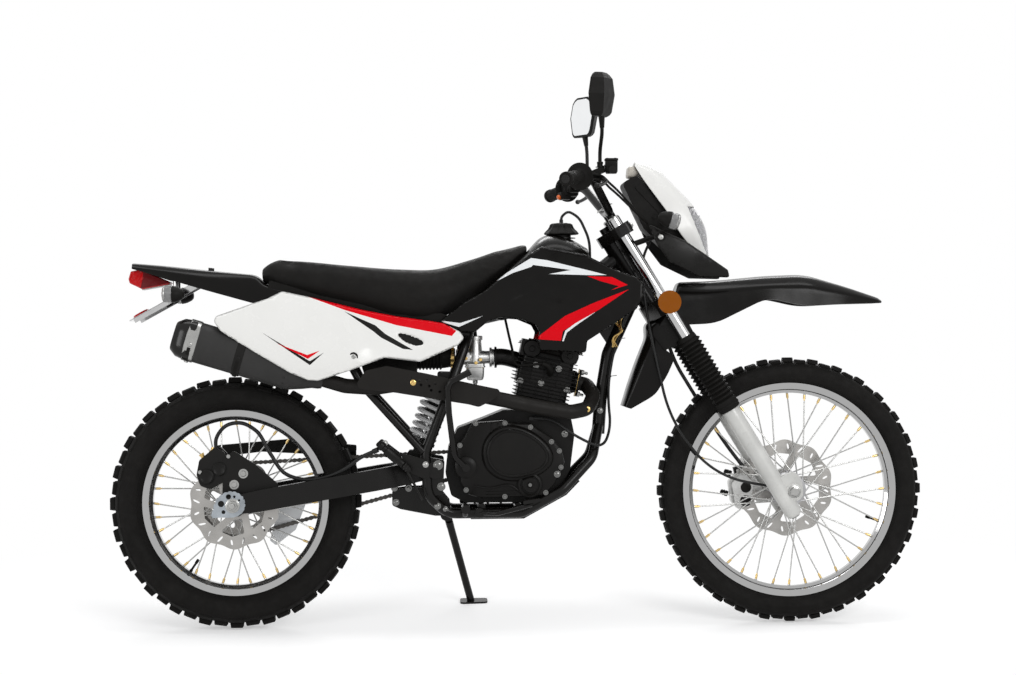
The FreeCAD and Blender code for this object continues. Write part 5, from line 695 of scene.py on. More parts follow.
def skin(name, on, depth, outline, materials, node=None, holes=(), marks=(), thick=3.5, edge=5.0,
         spacing=10.0, drop=None):
    """A panel inside its outline. Marks are (number of the material, pairs), in the same faces."""
    chains = [outline] + list(holes)
    marks = [(paint, flat(mark)) for paint, mark in marks]
    lines = [mark for _, mark in marks]
    points, edges = [], []
    for line in chains + lines:
        dense = []
        for i, p in enumerate(line):
            q = line[(i + 1) % len(line)]
            steps = max(1, round((q - p).length / (spacing * LINE_SHARE)))
            dense += [p.lerp(q, k / steps) for k in range(steps)]
        add_loop(points, edges, [(p.x, p.z) for p in dense])
    inner = [p for p in skin_points(chains, edge, spacing)
             if inside(p[0], p[1], outline) and not any(inside(p[0], p[1], h) for h in holes)]
    away = far_from(inner, chains)
    clear = far_from(inner, lines)
    cells = {}
    for p, d, c in zip(inner, away, clear):
        if d >= p[2] and c >= spacing * CLEAR_SHARE:
            cells.setdefault((round(p[0] / CELL), round(p[1] / CELL)), (p[0], p[1]))
    made, kept = cut_sheet(points + list(cells.values()), edges, outline, holes, 0.01)
    form = Form()
    verts = []
    for p, d in zip(made, far_from(made, chains)):
        roll = edge - math.sqrt(max(0.0, edge * edge - (edge - d) ** 2)) if d < edge else 0.0
        y = depth(p[0], p[1]) - roll
        if drop:
            y += drop(p[0], p[1])
        verts.append(form.mesh.verts.new((p[0], y, p[1])))
    for corners, x, z in kept:
        form.paint = 0
        for paint, mark in marks:
            if inside(x, z, mark):
                form.paint = paint
        form.face([verts[i] for i in corners])
    form.mesh.normal_update()
    for f in form.mesh.faces:
        if f.normal.y < 0:
            f.normal_flip()
    form.drop_loose()
    return form.both().place(name, on, materials, node, thick=thick, sharp=50)


# Bowed sheets and closed bodies through stations of (centre, tilt, half line)
def across(half):
    return half + [(-y, h) for y, h in reversed(half) if y > 0]


def stretch_places(knots, per_run):
    """Places along the knots, so many to each run."""
    for i in range((len(knots) - 1) * per_run + 1):
        k = min(i // per_run, len(knots) - 2)
        yield knots[k] + (knots[k + 1] - knots[k]) * (i / per_run - k)


def grid_of(stations, per_station=10, per_line=36, fold=0.0):
    """Rows of points over the surface through the stations' lines: smooth, or in eased folds."""
    def line_through(knots, points, at):
        return folded(knots, points, at, fold) if fold else through(knots, points, at)
    lines = []
    for centre, tilt, half in stations:
        t = math.radians(tilt)
        rise = vec(math.sin(t), 0, math.cos(t))
        lines.append([centre + LEFT * y + rise * h for y, h in across(half)])
    along = knots_of([centre for centre, _, _ in stations])
    middles = [sum((line[i] for line in lines), Vector()) / len(lines) for i in range(len(lines[0]))]
    widths = knots_of(middles)
    rows = []
    for at in stretch_places(along, per_station):
        line = [line_through(along, [row[j] for row in lines], at) for j in range(len(widths))]
        rows.append([line_through(widths, line, widths[-1] * j / per_line)
                     for j in range(per_line + 1)])
    return rows


def skin_stations(grid, shares):
    return [(grid(x, z), tilt, [(y * SKIN_HALF, h * SKIN_HALF) for y, h in half])
            for x, z, tilt, half in shares]


def bowed(name, on, stations, node, fold):
    form = Form()
    form.grid(grid_of(stations, fold=fold))
    form.mesh.normal_update()
    return form.place(name, on, gloss_black, node, thick=3.5, sharp=60, bevel=0.9)


def line_of_half(x, half, unit):
    return [body(x, z, y * unit) for y, z in half]


def closed_body(shares, per_station, per_ring):
    """Rings over the smooth body through stations of (x, half line of (y, z) from foot to top)."""
    rings = [line_of_half(x, half, SKIN_HALF) + line_of_half(x, half[-2:0:-1], -SKIN_HALF)
             for x, half in shares]
    knots = [ring[0].x for ring in rings]
    made = []
    for at in stretch_places(knots, per_station):
        ring = [through(knots, [r[j] for r in rings], at) for j in range(len(rings[0]))]
        loop = ring[-2:] + ring + ring[:3]
        around = knots_of(loop)
        first, last = around[2], around[2 + len(ring)]
        made.append([through(around, loop, first + (last - first) * j / per_ring)
                     for j in range(per_ring)])
    return made


# Panels and their stripes: outlines in the side view
TANK_WHITE = [(661, 894), (689, 904), (725, 922), (772, 937), (777, 942), (833, 934), (874, 928),
              (817, 918), (930, 914), (966, 914), (926, 925), (875, 938), (813, 954), (772, 960)]
TANK_RED_TOP = [(915, 912), (979, 909), (1019, 888), (976, 875), (996, 885), (948, 899)]
TANK_RED_LOW = [(1022, 877), (929, 842), (857, 810), (779, 751), (846, 746), (851, 771),
                (877, 786), (947, 827)]
TANK_THIN = [(936, 820), (885, 792), (857, 772), (849, 745), (853, 745), (861, 767), (889, 788)]
SMALL_WHITE = [(521, 803), (585, 784), (647, 812), (588, 794)]
PANEL_RED = [(190, 868), (338, 834), (424, 818), (513, 802), (545, 796), (578, 774), (566, 761),
             (424, 790), (292, 830)]
PANEL_DARK = [(290, 827), (330, 808), (370, 790), (395, 768), (466, 726), (440, 729), (385, 758),
              (364, 775)]
PANEL_BLACK = [(78, 776), (203, 700), (239, 722), (203, 690)]
PANEL_BLACK_RED = [(117, 747), (196, 716), (229, 727), (198, 706)]

SHROUD_OUTLINE = [(652, 874), (768, 968), (801, 988), (912, 966), (990, 925), (1049, 903),
                  (1059, 890), (1058, 855), (1041, 824), (914, 743), (911, 713), (792, 720),
                  (787, 747), (792, 766), (782, 785), (744, 801), (690, 805), (658, 794),
                  (625, 767), (594, 769), (534, 797), (599, 845)]
# Stations of (x, line of (y in half widths, z))
SHROUD_STATIONS = [
    (520, [(1.02, 700), (1.05, 790), (0.98, 880), (0.9, 1000)]),
    (650, [(1.2, 700), (1.24, 800), (1.16, 900), (1.0, 1000)]),
    (790, [(1.4, 700), (1.46, 800), (1.36, 900), (1.14, 1000)]),
    (920, [(1.5, 700), (1.56, 800), (1.42, 900), (1.12, 1000)]),
    (1062, [(1.62, 700), (1.66, 800), (1.56, 900), (1.5, 1000)]),
]
PANEL_OUTLINE = [(130, 878), (212, 860), (338, 828), (424, 811), (513, 798), (545, 792), (586, 772),
                 (600, 754), (582, 735), (484, 693), (393, 705), (304, 673), (223, 648), (197, 650),
                 (152, 669), (56, 726), (-25, 777), (-43, 802), (-38, 815), (51, 846), (91, 859)]
PANEL_STATIONS = [
    (-60, [(1.62, 760), (1.5, 800), (1.2, 850), (0.96, 900)]),
    (150, [(1.7, 640), (1.64, 720), (1.42, 800), (1.0, 900)]),
    (300, [(1.7, 640), (1.6, 720), (1.34, 790), (1.0, 880)]),
    (480, [(1.5, 640), (1.44, 700), (1.24, 770), (1.1, 850)]),
    (610, [(1.4, 680), (1.3, 740), (1.14, 780), (1.1, 840)]),
]
WINDOW = [(425, 766), (445, 764), (489, 747), (493, 739), (476, 736), (448, 745)]
WINDOW_LINER = [(418, 774), (447, 772), (496, 752), (500, 734), (474, 729), (440, 741)]
LINER_DEPTH = 3.6
# The panel's raised field ends along this line, and the shroud's scoop lies inside this outline
FIELD_LINE = [(120, 860), (250, 826), (330, 790), (352, 765), (345, 720), (300, 668)]
SCOOP = [(784, 922), (866, 905), (914, 884), (908, 862), (862, 832), (700, 838), (730, 880)]
FAR_BEHIND = -400


def ease(t):
    return t * t * (3 - 2 * t)


def step_at(chain, rise, wide):
    """A smooth step across an open line: 0 on its one side, the rise on the other."""
    line = smooth_line(flat(chain), 20)
    closed = line + [vec(FAR_BEHIND, 0, line[-1].z), vec(FAR_BEHIND, 0, line[0].z)]

    def drop(x, z):
        t = ease(min(1.0, min((vec(x, 0, z) - p).length for p in line) / wide)) / 2
        return rise * (0.5 + t) if inside(x, z, closed) else rise * (0.5 - t)
    return drop


def hollow(outline, depth, wide):
    """A smooth hollow inside an outline."""
    edge = rounded(flat(outline), 26, 4)

    def drop(x, z):
        if not inside(x, z, edge):
            return 0.0
        return -depth * ease(min(1.0, float(far_from([(x, z)], [edge])[0]) / wide))
    return drop


shroud_depth = depth_lines(body, SHROUD_STATIONS)
panel_depth = depth_lines(body, PANEL_STATIONS)
skin("tank_shroud_panels", "chassis", shroud_depth, rounded(line_of(body, SHROUD_OUTLINE), 9, 4),
     [gloss_black, white_paint, red_paint], "tank_shrouds",
     marks=[(1, TANK_WHITE), (2, TANK_RED_TOP), (2, TANK_RED_LOW), (1, TANK_THIN), (1, SMALL_WHITE)],
     drop=hollow(SCOOP, 9.0, 30.0))
skin("side_number_panels", "chassis", panel_depth, rounded(line_of(body, PANEL_OUTLINE), 16, 5),
     [white_plastic, red_paint, black_paint], "side_panels",
     holes=[rounded(line_of(body, WINDOW), 6, 3)],
     marks=[(1, PANEL_RED), (2, PANEL_DARK), (2, PANEL_BLACK), (1, PANEL_BLACK_RED)],
     drop=step_at(FIELD_LINE, 4.0, 16.0), edge=7.0)
# Behind the window a dark liner, a little larger than the opening, lies on the panel's inner face
skin("panel_window_liners", "chassis", lambda x, z: panel_depth(x, z) - LINER_DEPTH,
     rounded(line_of(body, WINDOW_LINER), 5, 3), [black_plastic], thick=2.0, edge=2.0)

TANK_STATIONS = [
    (640, [(0.0, 822), (0.55, 822), (0.72, 842), (0.74, 858), (0.6, 868), (0.0, 873)]),
    (700, [(0.0, 828), (0.75, 800), (1.0, 850), (1.02, 884), (0.78, 912), (0.0, 922)]),
    (762, [(0.0, 850), (0.62, 830), (1.08, 805), (1.14, 900), (0.86, 958), (0.0, 974)]),
    (800, [(0.0, 868), (0.56, 850), (1.12, 800), (1.2, 900), (0.9, 985), (0.0, 1012)]),
    (880, [(0.0, 905), (0.5, 880), (1.12, 830), (1.2, 905), (0.9, 985), (0.0, 1010)]),
    (925, [(0.0, 912), (0.5, 900), (1.0, 850), (1.08, 905), (0.82, 962), (0.0, 985)]),
]
tank = Form().loft(closed_body(TANK_STATIONS, 8, 72))
tank.place("fuel_tank_shell", "chassis", gloss_black, "fuel_tank", bevel=3.0, sharp=44)

# Seat: a padded cover over the foam, swollen by a cloth run
SEAT_STATIONS = [
    (72, [(0.0, 912), (0.46, 909), (0.62, 918), (0.56, 932), (0.0, 938)]),
    (92, [(0.0, 908), (0.66, 905), (0.84, 918), (0.78, 938), (0.0, 949)]),
    (150, [(0.0, 888), (0.8, 886), (0.97, 906), (0.9, 934), (0.0, 950)]),
    (300, [(0.0, 846), (0.84, 844), (1.05, 872), (0.96, 917), (0.0, 938)]),
    (430, [(0.0, 812), (0.84, 808), (1.03, 838), (0.95, 903), (0.0, 928)]),
    (530, [(0.0, 810), (0.8, 806), (0.96, 836), (0.86, 899), (0.0, 928)]),
    (600, [(0.0, 856), (0.74, 854), (0.8, 868), (0.7, 921), (0.0, 946)]),
    (652, [(0.0, 892), (0.68, 891), (0.71, 899), (0.6, 943), (0.0, 962)]),
    (705, [(0.0, 936), (0.62, 934), (0.65, 941), (0.5, 968), (0.0, 982)]),
    (748, [(0.0, 973), (0.5, 971), (0.54, 976), (0.4, 991), (0.0, 999)]),
    (764, [(0.0, 986), (0.42, 985), (0.44, 988), (0.34, 995), (0.0, 999)]),
]
SEAT_VOXEL = 0.006
SWELL_CAP = 0.006
CLOTH = {"use_pressure": True, "uniform_pressure_force": 4.0, "quality": 4, "tension_stiffness": 18}
CLOTH_FRAMES = 20


def swell(made, cap):
    """Runs the cover as cloth under pressure, keeps each point within the cap, and applies it."""
    scene = bpy.context.scene
    start = [v.co.copy() for v in made.data.vertices]
    cloth = made.modifiers.new("cloth", "CLOTH")
    for key, value in CLOTH.items():
        setattr(cloth.settings, key, value)
    cloth.settings.effector_weights.gravity = 0.0
    for number in range(CLOTH_FRAMES):
        scene.frame_set(number + 1)
    shown = made.evaluated_get(bpy.context.evaluated_depsgraph_get())
    moved = [v.co.copy() for v in shown.data.vertices]
    made.modifiers.remove(cloth)
    for v, a, b in zip(made.data.vertices, start, moved):
        step = b - a
        if step.length > cap:
            step *= cap / step.length
        v.co = a + step
    scene.frame_set(1)


def remeshed(made, voxel):
    modifier(made, "even", "REMESH", voxel_size=voxel)
    shown = made.evaluated_get(bpy.context.evaluated_depsgraph_get())
    mesh = bpy.data.meshes.new_from_object(shown)
    made.modifiers.clear()
    made.data = mesh
    mesh.shade_smooth()


seat = Form().loft(closed_body(SEAT_STATIONS, 6, 48)).place(
    "seat_cushion", "chassis", seat_cover, "seat", sharp=180)
remeshed(seat, SEAT_VOXEL)
swell(seat, SWELL_CAP)
modifier(seat, "soft", "CORRECTIVE_SMOOTH", iterations=4)
modifier(seat, "finer", "SUBSURF", levels=1, render_levels=1)

# The seat's base, a dark moulded pan between the cushion and the panels
PAN = [(96, 908), (150, 892), (224, 868), (430, 822), (540, 818), (590, 800), (560, 786), (430, 796),
       (215, 846), (140, 868), (92, 886)]
form = Form()
form.cut(body, PAN, 8, 3, -86, 86)
form.place("seat_base_pan", "chassis", black_plastic, bevel=2.0)

# Tail, fender and the headlamp's mask: stations of (x, z, tilt, half line in half widths)
TAIL_STATIONS = [
    (176, 871.6, 0.0, [(0.94, -0.4), (0.92, -0.1), (0.86, 0.0), (0.0, 0.02)]),
    (84, 896, 0.0, [(0.92, -0.5), (0.9, -0.14), (0.8, 0.0), (0.0, 0.02)]),
    (60, 920, 0.0, [(0.9, -0.74), (0.88, -0.3), (0.74, 0.0), (0.0, 0.03)]),
    (-60, 932, 0.0, [(0.86, -0.52), (0.83, -0.2), (0.64, 0.0), (0.0, 0.03)]),
    (-180, 946, 0.0, [(0.7, -0.3), (0.66, -0.12), (0.5, 0.0), (0.0, 0.03)]),
    (-262, 955, 0.0, [(0.5, -0.14), (0.48, -0.1), (0.4, -0.02), (0.0, 0.01)]),
]
bowed("tail_fairing", "chassis", skin_stations(body, TAIL_STATIONS), "rear_fender", 0.34)

FLAP_STATIONS = [
    (-432, 222, -72.0, [(0.5, -0.16), (0.48, 0.0), (0.3, 0.04), (0.0, 0.05)]),
    (-416, 276, -70.0, [(0.6, -0.66), (0.58, -0.06), (0.36, 0.03), (0.0, 0.04)]),
    (-394, 340, -66.0, [(0.64, -0.8), (0.61, -0.1), (0.38, 0.02), (0.0, 0.03)]),
    (-372, 398, -58.0, [(0.62, -0.84), (0.58, -0.14), (0.36, 0.0), (0.0, 0.0)]),
]
FENDER_STATIONS = [
    (-288, 542, 10.0, [(0.62, -1.1), (0.58, -0.3), (0.4, 0.0), (0.0, 0.02)]),
    (-206, 541, -6.0, [(0.64, -1.04), (0.6, -0.24), (0.38, 0.0), (0.0, 0.05)]),
    (-60, 553, 0.0, [(0.74, -0.5), (0.69, -0.2), (0.44, 0.0), (0.0, 0.06)]),
    (44, 556, 4.0, [(0.76, -0.76), (0.72, -0.24), (0.46, 0.0), (0.0, 0.06)]),
    (150, 526, 14.0, [(0.6, -0.42), (0.56, -0.14), (0.38, 0.0), (0.0, 0.04)]),
    (236, 498, 20.0, [(0.36, -0.12), (0.34, -0.05), (0.22, 0.0), (0.0, 0.02)]),
    (246, 492, 24.0, [(0.26, -0.05), (0.24, -0.02), (0.14, 0.0), (0.0, 0.01)]),
]
FENDER_UP = FORK_LENGTH - YOKE_DROP - 22.3
FENDER_REACH = 55.5
UNDER_YOKE = [   # (share of the reach ahead of the steering axis, up along it, tilt, half line in mm)
    (-0.7, FENDER_UP, -31.0, [(62, -80), (58, -10), (36, 0), (0, 0)]),
    (1.12, FENDER_UP, -31.0, [(62, -96), (58, -10), (36, 0), (0, 0)]),
    (1.3, FENDER_UP + 30, 34.0, [(62, -104), (58, -20), (38, 0), (0, 0)]),
]
under = [(steer(share * FENDER_REACH, up), tilt, half) for share, up, tilt, half in UNDER_YOKE]
blade = skin_stations(front, FLAP_STATIONS) + under + skin_stations(front, FENDER_STATIONS)
bowed("front_fender_blade", "steering", blade, "front_fender", 0.3)

MASK_STATIONS = [
    (-398, 861, 20.0, [(0.42, -0.1), (0.4, -0.05), (0.24, 0.0), (0.0, 0.0)]),
    (-344, 847, 45.0, [(0.62, -0.5), (0.58, -0.18), (0.34, -0.03), (0.0, 0.0)]),
    (-248, 750, 58.0, [(0.84, -0.72), (0.78, -0.28), (0.46, -0.05), (0.0, 0.0)]),
    (-212, 690, 78.0, [(0.86, -0.8), (0.8, -0.3), (0.48, -0.05), (0.0, 0.0)]),
    (-207, 610, 96.0, [(0.66, -0.3), (0.62, -0.14), (0.4, -0.03), (0.0, 0.0)]),
]
MASK_LINE = 120
MASK_ROWS = grid_of(skin_stations(front, MASK_STATIONS), 22, MASK_LINE, 0.42)
LENS_LOW, LENS_HIGH = front(0, 616).z, front(0, 742).z
LENS_CORNER = front(-269, 742)
LENS_LEAN = 0.4
LENS_LAP = 3                          # how far the cover reaches under the mask


def over_lens(p):
    """How far a point of the mask lies over the lamp's cover; below zero it is outside."""
    slant = (p.x - LENS_CORNER.x - (LENS_HIGH - p.z) * LENS_LEAN) / math.hypot(1, LENS_LEAN)
    return min(slant, p.z - LENS_LOW, (LENS_HIGH - p.z) * 0.9)


def snap_to_lens(mesh, edge):
    """Moves the boundary points near the lamp's edge onto it, for a smooth line."""
    step, near = 0.5, 9
    for v in mesh.verts:
        off = over_lens(v.co) - edge
        if v.is_boundary and abs(off) < near:
            along = Vector([(over_lens(v.co + way * step) - over_lens(v.co - way * step)) / (2 * step)
                            for way in (FORE, LEFT, SKY)])
            if along.length > 0.1:
                v.co -= along * (off / along.length_squared)
    mesh.normal_update()


def mask_shell():
    form = Form()
    form.grid(MASK_ROWS, lambda p: over_lens(p) < 0)
    form.drop_loose()
    snap_to_lens(form.mesh, 0.0)
    form.place("headlamp_mask_shell", "steering", white_plastic, "headlamp_mask", thick=3.5, sharp=60)


def lamp_cover():
    form = Form()
    form.grid(MASK_ROWS, lambda p: over_lens(p) > -LENS_LAP)
    form.drop_loose()
    snap_to_lens(form.mesh, -LENS_LAP)
    for v in form.mesh.verts:
        v.co += v.normal * 1.2
    form.place("headlamp_clear_cover", "steering", clear_lens, "headlamp_lens", thick=2.5, sharp=60)


def lens_gasket():
    """The dark line where the cover's slanting edge meets the mask, on each side."""
    form = Form()
    middle = MASK_LINE // 2
    for half in (range(middle + 1), range(middle, MASK_LINE + 1)):
        line = []
        for j in half:
            for a, b in zip(MASK_ROWS, MASK_ROWS[1:]):
                p, q = a[j], b[j]
                u, v = over_lens(p), over_lens(q)
                if u <= 0 < v and LENS_LOW + 2 < p.z < LENS_HIGH + 4:
                    line.append(p.lerp(q, u / (u - v)) + FORE * 0.4)
                    break
        line.sort(key=lambda p: p.z)
        if len(line) > 3:
            form.tube(line, 1.5, 8)
    form.place("lens_gasket", "steering", black_plastic, sharp=50)


mask_shell()
lamp_cover()
lens_gasket()

# Headlamp inside: a bright bowl and its bulb
LAMP_MIDDLE = front(-222, 680)
LAMP_WAY = vec(0.97, 0, 0.05)
BOWL = [(-58, 6), (-56, 14), (-50, 24), (-38, 34), (-22, 42), (-6, 46), (-6, 48), (-24, 44),
        (-42, 35), (-54, 23), (-60, 6)]
form = Form()
form.lathe(BOWL, LAMP_MIDDLE, LAMP_WAY, 40, ends=False)
form.lathe([(-60, 4), (-40, 5), (-34, 5), (-30, 0.5)], LAMP_MIDDLE, LAMP_WAY, 16)
form.place("headlamp_bowl", "steering", mirror_bowl, sharp=50)

SHELL_OUTLINE = [(-377, 699), (-326, 673), (-280, 652), (-167, 576), (-162, 556), (-245, 559),
                 (-319, 596), (-352, 640)]
SHELL_STATIONS = [
    (-390, [(1.3, 540), (1.34, 620), (1.26, 720)]),
    (-260, [(1.28, 540), (1.34, 620), (1.2, 720)]),
    (-155, [(1.06, 540), (1.1, 600), (1.0, 720)]),
]
skin("headlamp_side_shells", "steering", depth_lines(front, SHELL_STATIONS),
     rounded(line_of(front, SHELL_OUTLINE), 7, 4), [black_paint], "headlamp_shell",
     edge=4.0, spacing=8.0)

# Tyres: a smooth carcass with its beads and ribs, and rings of blocks
# The sidewall's (share of the height from bead to crown, share of the half width)
SIDEWALL = [(0.27, 0.74), (0.42, 0.95), (0.62, 1.0), (0.84, 0.94), (0.95, 0.72), (1.0, 0.36),
            (1.01, 0.0)]
# (middle in y and half width in half widths, tilt of the top, phase in rows, height in radii,
# length in shares of the usual one)
TREAD = [(0.0, 0.44, 0.0, 0.0, 1.0, 0.86),
         (0.44, 0.2, 0.2, 0.5, 0.985, 0.9), (-0.44, 0.2, -0.2, 0.5, 0.985, 0.9),
         (0.82, 0.17, 0.62, 0.02, 0.945, 1.0), (-0.82, 0.17, -0.62, 0.02, 0.945, 1.0),
         (0.86, 0.13, 0.75, 0.52, 0.935, 0.8), (-0.86, 0.13, -0.75, 0.52, 0.935, 0.8)]


BLOCK_LENGTH = 0.235                  # half a block's length, in the pitch of its row at the tip
BLOCK_DEPTH = 0.95                    # in shares of the lug's height
BLOCK_TAPER = 0.88


def carcass(form, axle, bead, rim_half, half, crown):
    line = [vec(rim_half - 0.3, 0, bead + 0.3), vec(rim_half - 0.3, 0, bead + 13.8)]
    line += [vec(half * out, 0, bead + (crown - bead) * up) for up, out in SIDEWALL]
    ribs = []
    for p in smooth_line(line, 4.0):
        share = (p.z - bead) / (crown - bead)
        bulge = 1.3 if 0.3 < share < 0.36 else 0.9 if 0.56 < share < 0.6 else 0.0
        ribs.append((p.x + bulge, p.z))
    whole = ribs + [(-y, r) for y, r in reversed(ribs)]
    seat_half = rim_half - 6
    form.wheel(whole + [(-seat_half, bead + 0.3), (seat_half, bead + 0.3)], axle, 144)


def knobbly(name, on, node, axle, bead, rim_half, half, tip, lug, rows):
    form = Form()
    carcass(form, axle, bead, rim_half, half, tip - lug)
    pitch = 2 * math.pi / rows
    length = pitch * tip * BLOCK_LENGTH
    deep = lug * BLOCK_DEPTH
    for middle, wide, tilt, phase, height, long in TREAD:
        lean = math.copysign(math.acos(1 / math.sqrt(1 + tilt * tilt)), tilt) if tilt else 0.0
        for row in range(rows):
            angle = (row + phase) * pitch
            out = radial(angle)
            along = vec(math.cos(angle), 0, -math.sin(angle))
            up = out * math.cos(lean) + LEFT * math.sin(lean)
            side = LEFT * math.cos(lean) - out * math.sin(lean)
            top = axle + LEFT * (half * middle) + out * (tip * height - abs(tilt) * 2)
            form.block(top - up * deep / 2, along * (length * long), side * (half * wide),
                       up * (deep / 2), BLOCK_TAPER)
    form.place(name, on, tyre_rubber, node, bevel=1.1, sharp=32)


knobbly("front_tyre_knobbly", "front_wheel", "tyre_front", FRONT_AXLE, FRONT_RIM_R,
        22.0, 41.0, 346.5, 12.0, 32)
knobbly("rear_tyre_knobbly", "rear_wheel", "tyre_rear", REAR_AXLE, REAR_RIM_R,
        28.0, 54.0, 327.0, 14.0, 24)

STEM = [(0, 4.2), (5, 4.2), (6, 3.0), (24, 3.0), (25, 4.0), (36, 4.0), (37, 2.4)]
for on, axle, foot_r, angle in (("rear_wheel", REAR_AXLE, 216, 214), ("front_wheel", FRONT_AXLE, 254, 110)):
    out = radial(math.radians(angle))
    form = Form()
    form.lathe(STEM, axle + out * foot_r, -out, 14)
    form.place("valve_stem_" + on, on, black_rubber)

# Silencer: body, end cap, outlet, rivets and straps
SILENCER_FRONT = body(236, 650, -121)
SILENCER_REAR = body(-147, 767, -121)
CAN_TALL, CAN_WIDE = 53, 38
CAN_POINTS = 48
# (share of the way to the rear, size)
CAN_STEPS = [(0.0, 0.44), (0.02, 0.5), (0.06, 0.56), (0.12, 0.74), (0.2, 0.95), (0.235, 0.985),
             (0.24, 0.975), (0.25, 0.99), (0.5, 0.99), (0.87, 0.99), (0.872, 0.97)]
END_STEPS = [(0.865, 0.99), (0.87, 1.0), (0.9, 1.0), (0.955, 0.94), (0.995, 0.72), (1.0, 0.66),
             (0.992, 0.6), (0.95, 0.56)]
OUTLET = [(0, 19), (14, 19), (16, 18), (16, 15), (2, 15)]


def silencer_can():
    span = SILENCER_REAR - SILENCER_FRONT
    along = (SILENCER_FRONT - SILENCER_REAR).normalized()
    rise = vec(-along.z, 0, along.x)

    def ring(way, size, power=2.4):
        made = []
        for a in turns(CAN_POINTS):
            c, s = (math.copysign(abs(w) ** (2 / power), w) for w in (math.cos(a), math.sin(a)))
            made.append(SILENCER_FRONT + span * way + LEFT * (CAN_WIDE * size * c)
                        + rise * (CAN_TALL * size * s))
        return made

    form = Form()
    form.loft([ring(way, size) for way, size in CAN_STEPS])
    form.paint = 1
    form.loft([ring(way, size, 2.9) for way, size in END_STEPS])
    form.paint = 2
    form.lathe(OUTLET, SILENCER_FRONT + span * 0.955, -along, 32)
    form.paint = 0
    rivets = 14
    for way in (0.245, 0.862):
        around = ring(way, 1.0)
        for k in range(rivets):
            p = around[int(k * CAN_POINTS / rivets)]
            form.lathe([(-2, 2.6), (0.4, 2.6), (1.2, 1.2)], p, p - SILENCER_FRONT - span * way, 8)
    form.place("silencer_can", "chassis", [silencer_black, gloss_cap, exhaust_black], "silencer",
               sharp=30)
    for name, low, high, finish in (("silencer_front_strap", 0.53, 0.585, caliper_black),
                                    ("silencer_rear_strap", 0.84, 0.915, bright_steel)):
        strap = Form()
        rings = [ring(way, size) for way, size in
                 ((low, 1.0), (low + 0.004, 1.035), (high - 0.004, 1.035), (high, 1.0))]
        strap.loft(rings)
        crest = [(p + q) / 2 for p, q in zip(rings[1], rings[2])]
        middle = SILENCER_FRONT + span * (low + high) / 2
        strap.paint = 1
        for k in (*range(26, 35), *range(37, 46)):
            p, q = crest[k], crest[k + 1]
            out = ((p + q) / 2 - middle).normalized()
            strap.block((p + q) / 2, along * 4.5, (q - p) * 0.52, out * 0.6)
        strap.paint = 0
        for k in (25, 35, 47):
            strap.lathe([(-1, 6), (1.4, 6), (3, 4), (3, 0.5)], crest[k], crest[k] - middle, 16)
        strap.place(name, "chassis", [finish, black_plastic], sharp=30)


silencer_can()

# Wheels: one material whose metal changes with the distance from the axle
WHEEL_REACH = 350                     # the largest distance told apart
HUB_R = 50
NIPPLES_IN, RIM_IN = 31, 15.5         # from the bead inwards to the nipples and to the rim's well
METALS = [((0.42, 0.42, 0.43), 0.42), ((0.46, 0.46, 0.45), 0.22), ((0.66, 0.48, 0.2), 0.26),
          ((0.4, 0.4, 0.4), 0.07)]    # (colour, roughness) of hub, spokes, nipples and rim
GRIME = (0.3, 0.29, 0.27)


def wheel_finish(name, axle, rim_r):
    f = Finish(name)
    axis = (UPRIGHT.to_3x3() @ LEFT).normalized()
    arm = f.node("ShaderNodeVectorMath", [(0, f.place), (1, UPRIGHT @ axle)], operation="SUBTRACT")
    square = f.node("ShaderNodeVectorMath", [(0, arm.outputs[0]), (1, axis)], operation="CROSS_PRODUCT")
    reach = f.node("ShaderNodeVectorMath", [(0, square.outputs[0])], operation="LENGTH")
    far = f.spread(reach.outputs["Value"], 0, 1, 0.0, WHEEL_REACH * MM)
    stops = [r / WHEEL_REACH for r in (0.0, HUB_R, rim_r - NIPPLES_IN, rim_r - RIM_IN)]
    tint = f.steps(far, [(at, color) for at, (color, _) in zip(stops, METALS)])
    rough = f.steps(far, [(at, (r, r, r)) for at, (_, r) in zip(stops, METALS)])
    cloud = f.noise(30, 5)
    worn = f.node("ShaderNodeMath", [(0, rough), (1, f.spread(cloud, 0.75, 1.35))], operation="MULTIPLY")
    return f.set(color=f.mix(f.spread(cloud, 0, 0.12), tint, GRIME), metallic=1.0,
                 roughness=worn.outputs[0], normal=f.bump(f.noise(700, 3), 0.000004))


for node, axle, rim_r in (("wheel_front", FRONT_AXLE, FRONT_RIM_R), ("wheel_rear", REAR_AXLE, REAR_RIM_R)):
    dress(node, wheel_finish(node + "_metal", axle, rim_r))


# Flat pieces with holes, in a plane of their own
def circle(u, v, radius, count=20):
    return [(u + radius * math.cos(a), v + radius * math.sin(a)) for a in turns(count)]


def polar(pairs):
    return [(r * math.sin(a), r * math.cos(a)) for r, a in pairs]


DISC_SLOTS, DISC_ARMS, DISC_THICK = 20, 6, 4.0
DISC_BORE, ARM_FOOT, DISC_BAND = 23, 41, 33   # the band is measured inwards from the edge
RIVET_RING = 31


def disc_slot(radius, k):
    """One of the long slots in a disc's band, alternately wide and narrow."""
    angle = 2 * math.pi * (k + 0.25) / DISC_SLOTS
    lean, reach, middle = (0.035, 9.0, radius - 20) if k % 2 else (-0.02, 7.0, radius - 18)
    slot = []
    for t in turns(14):
        along = reach * math.copysign(abs(math.cos(t)) ** 0.6, math.cos(t))
        slot.append((middle + along, angle + lean * along / 9 + 2.7 * math.sin(t) / middle))
    return polar(slot)


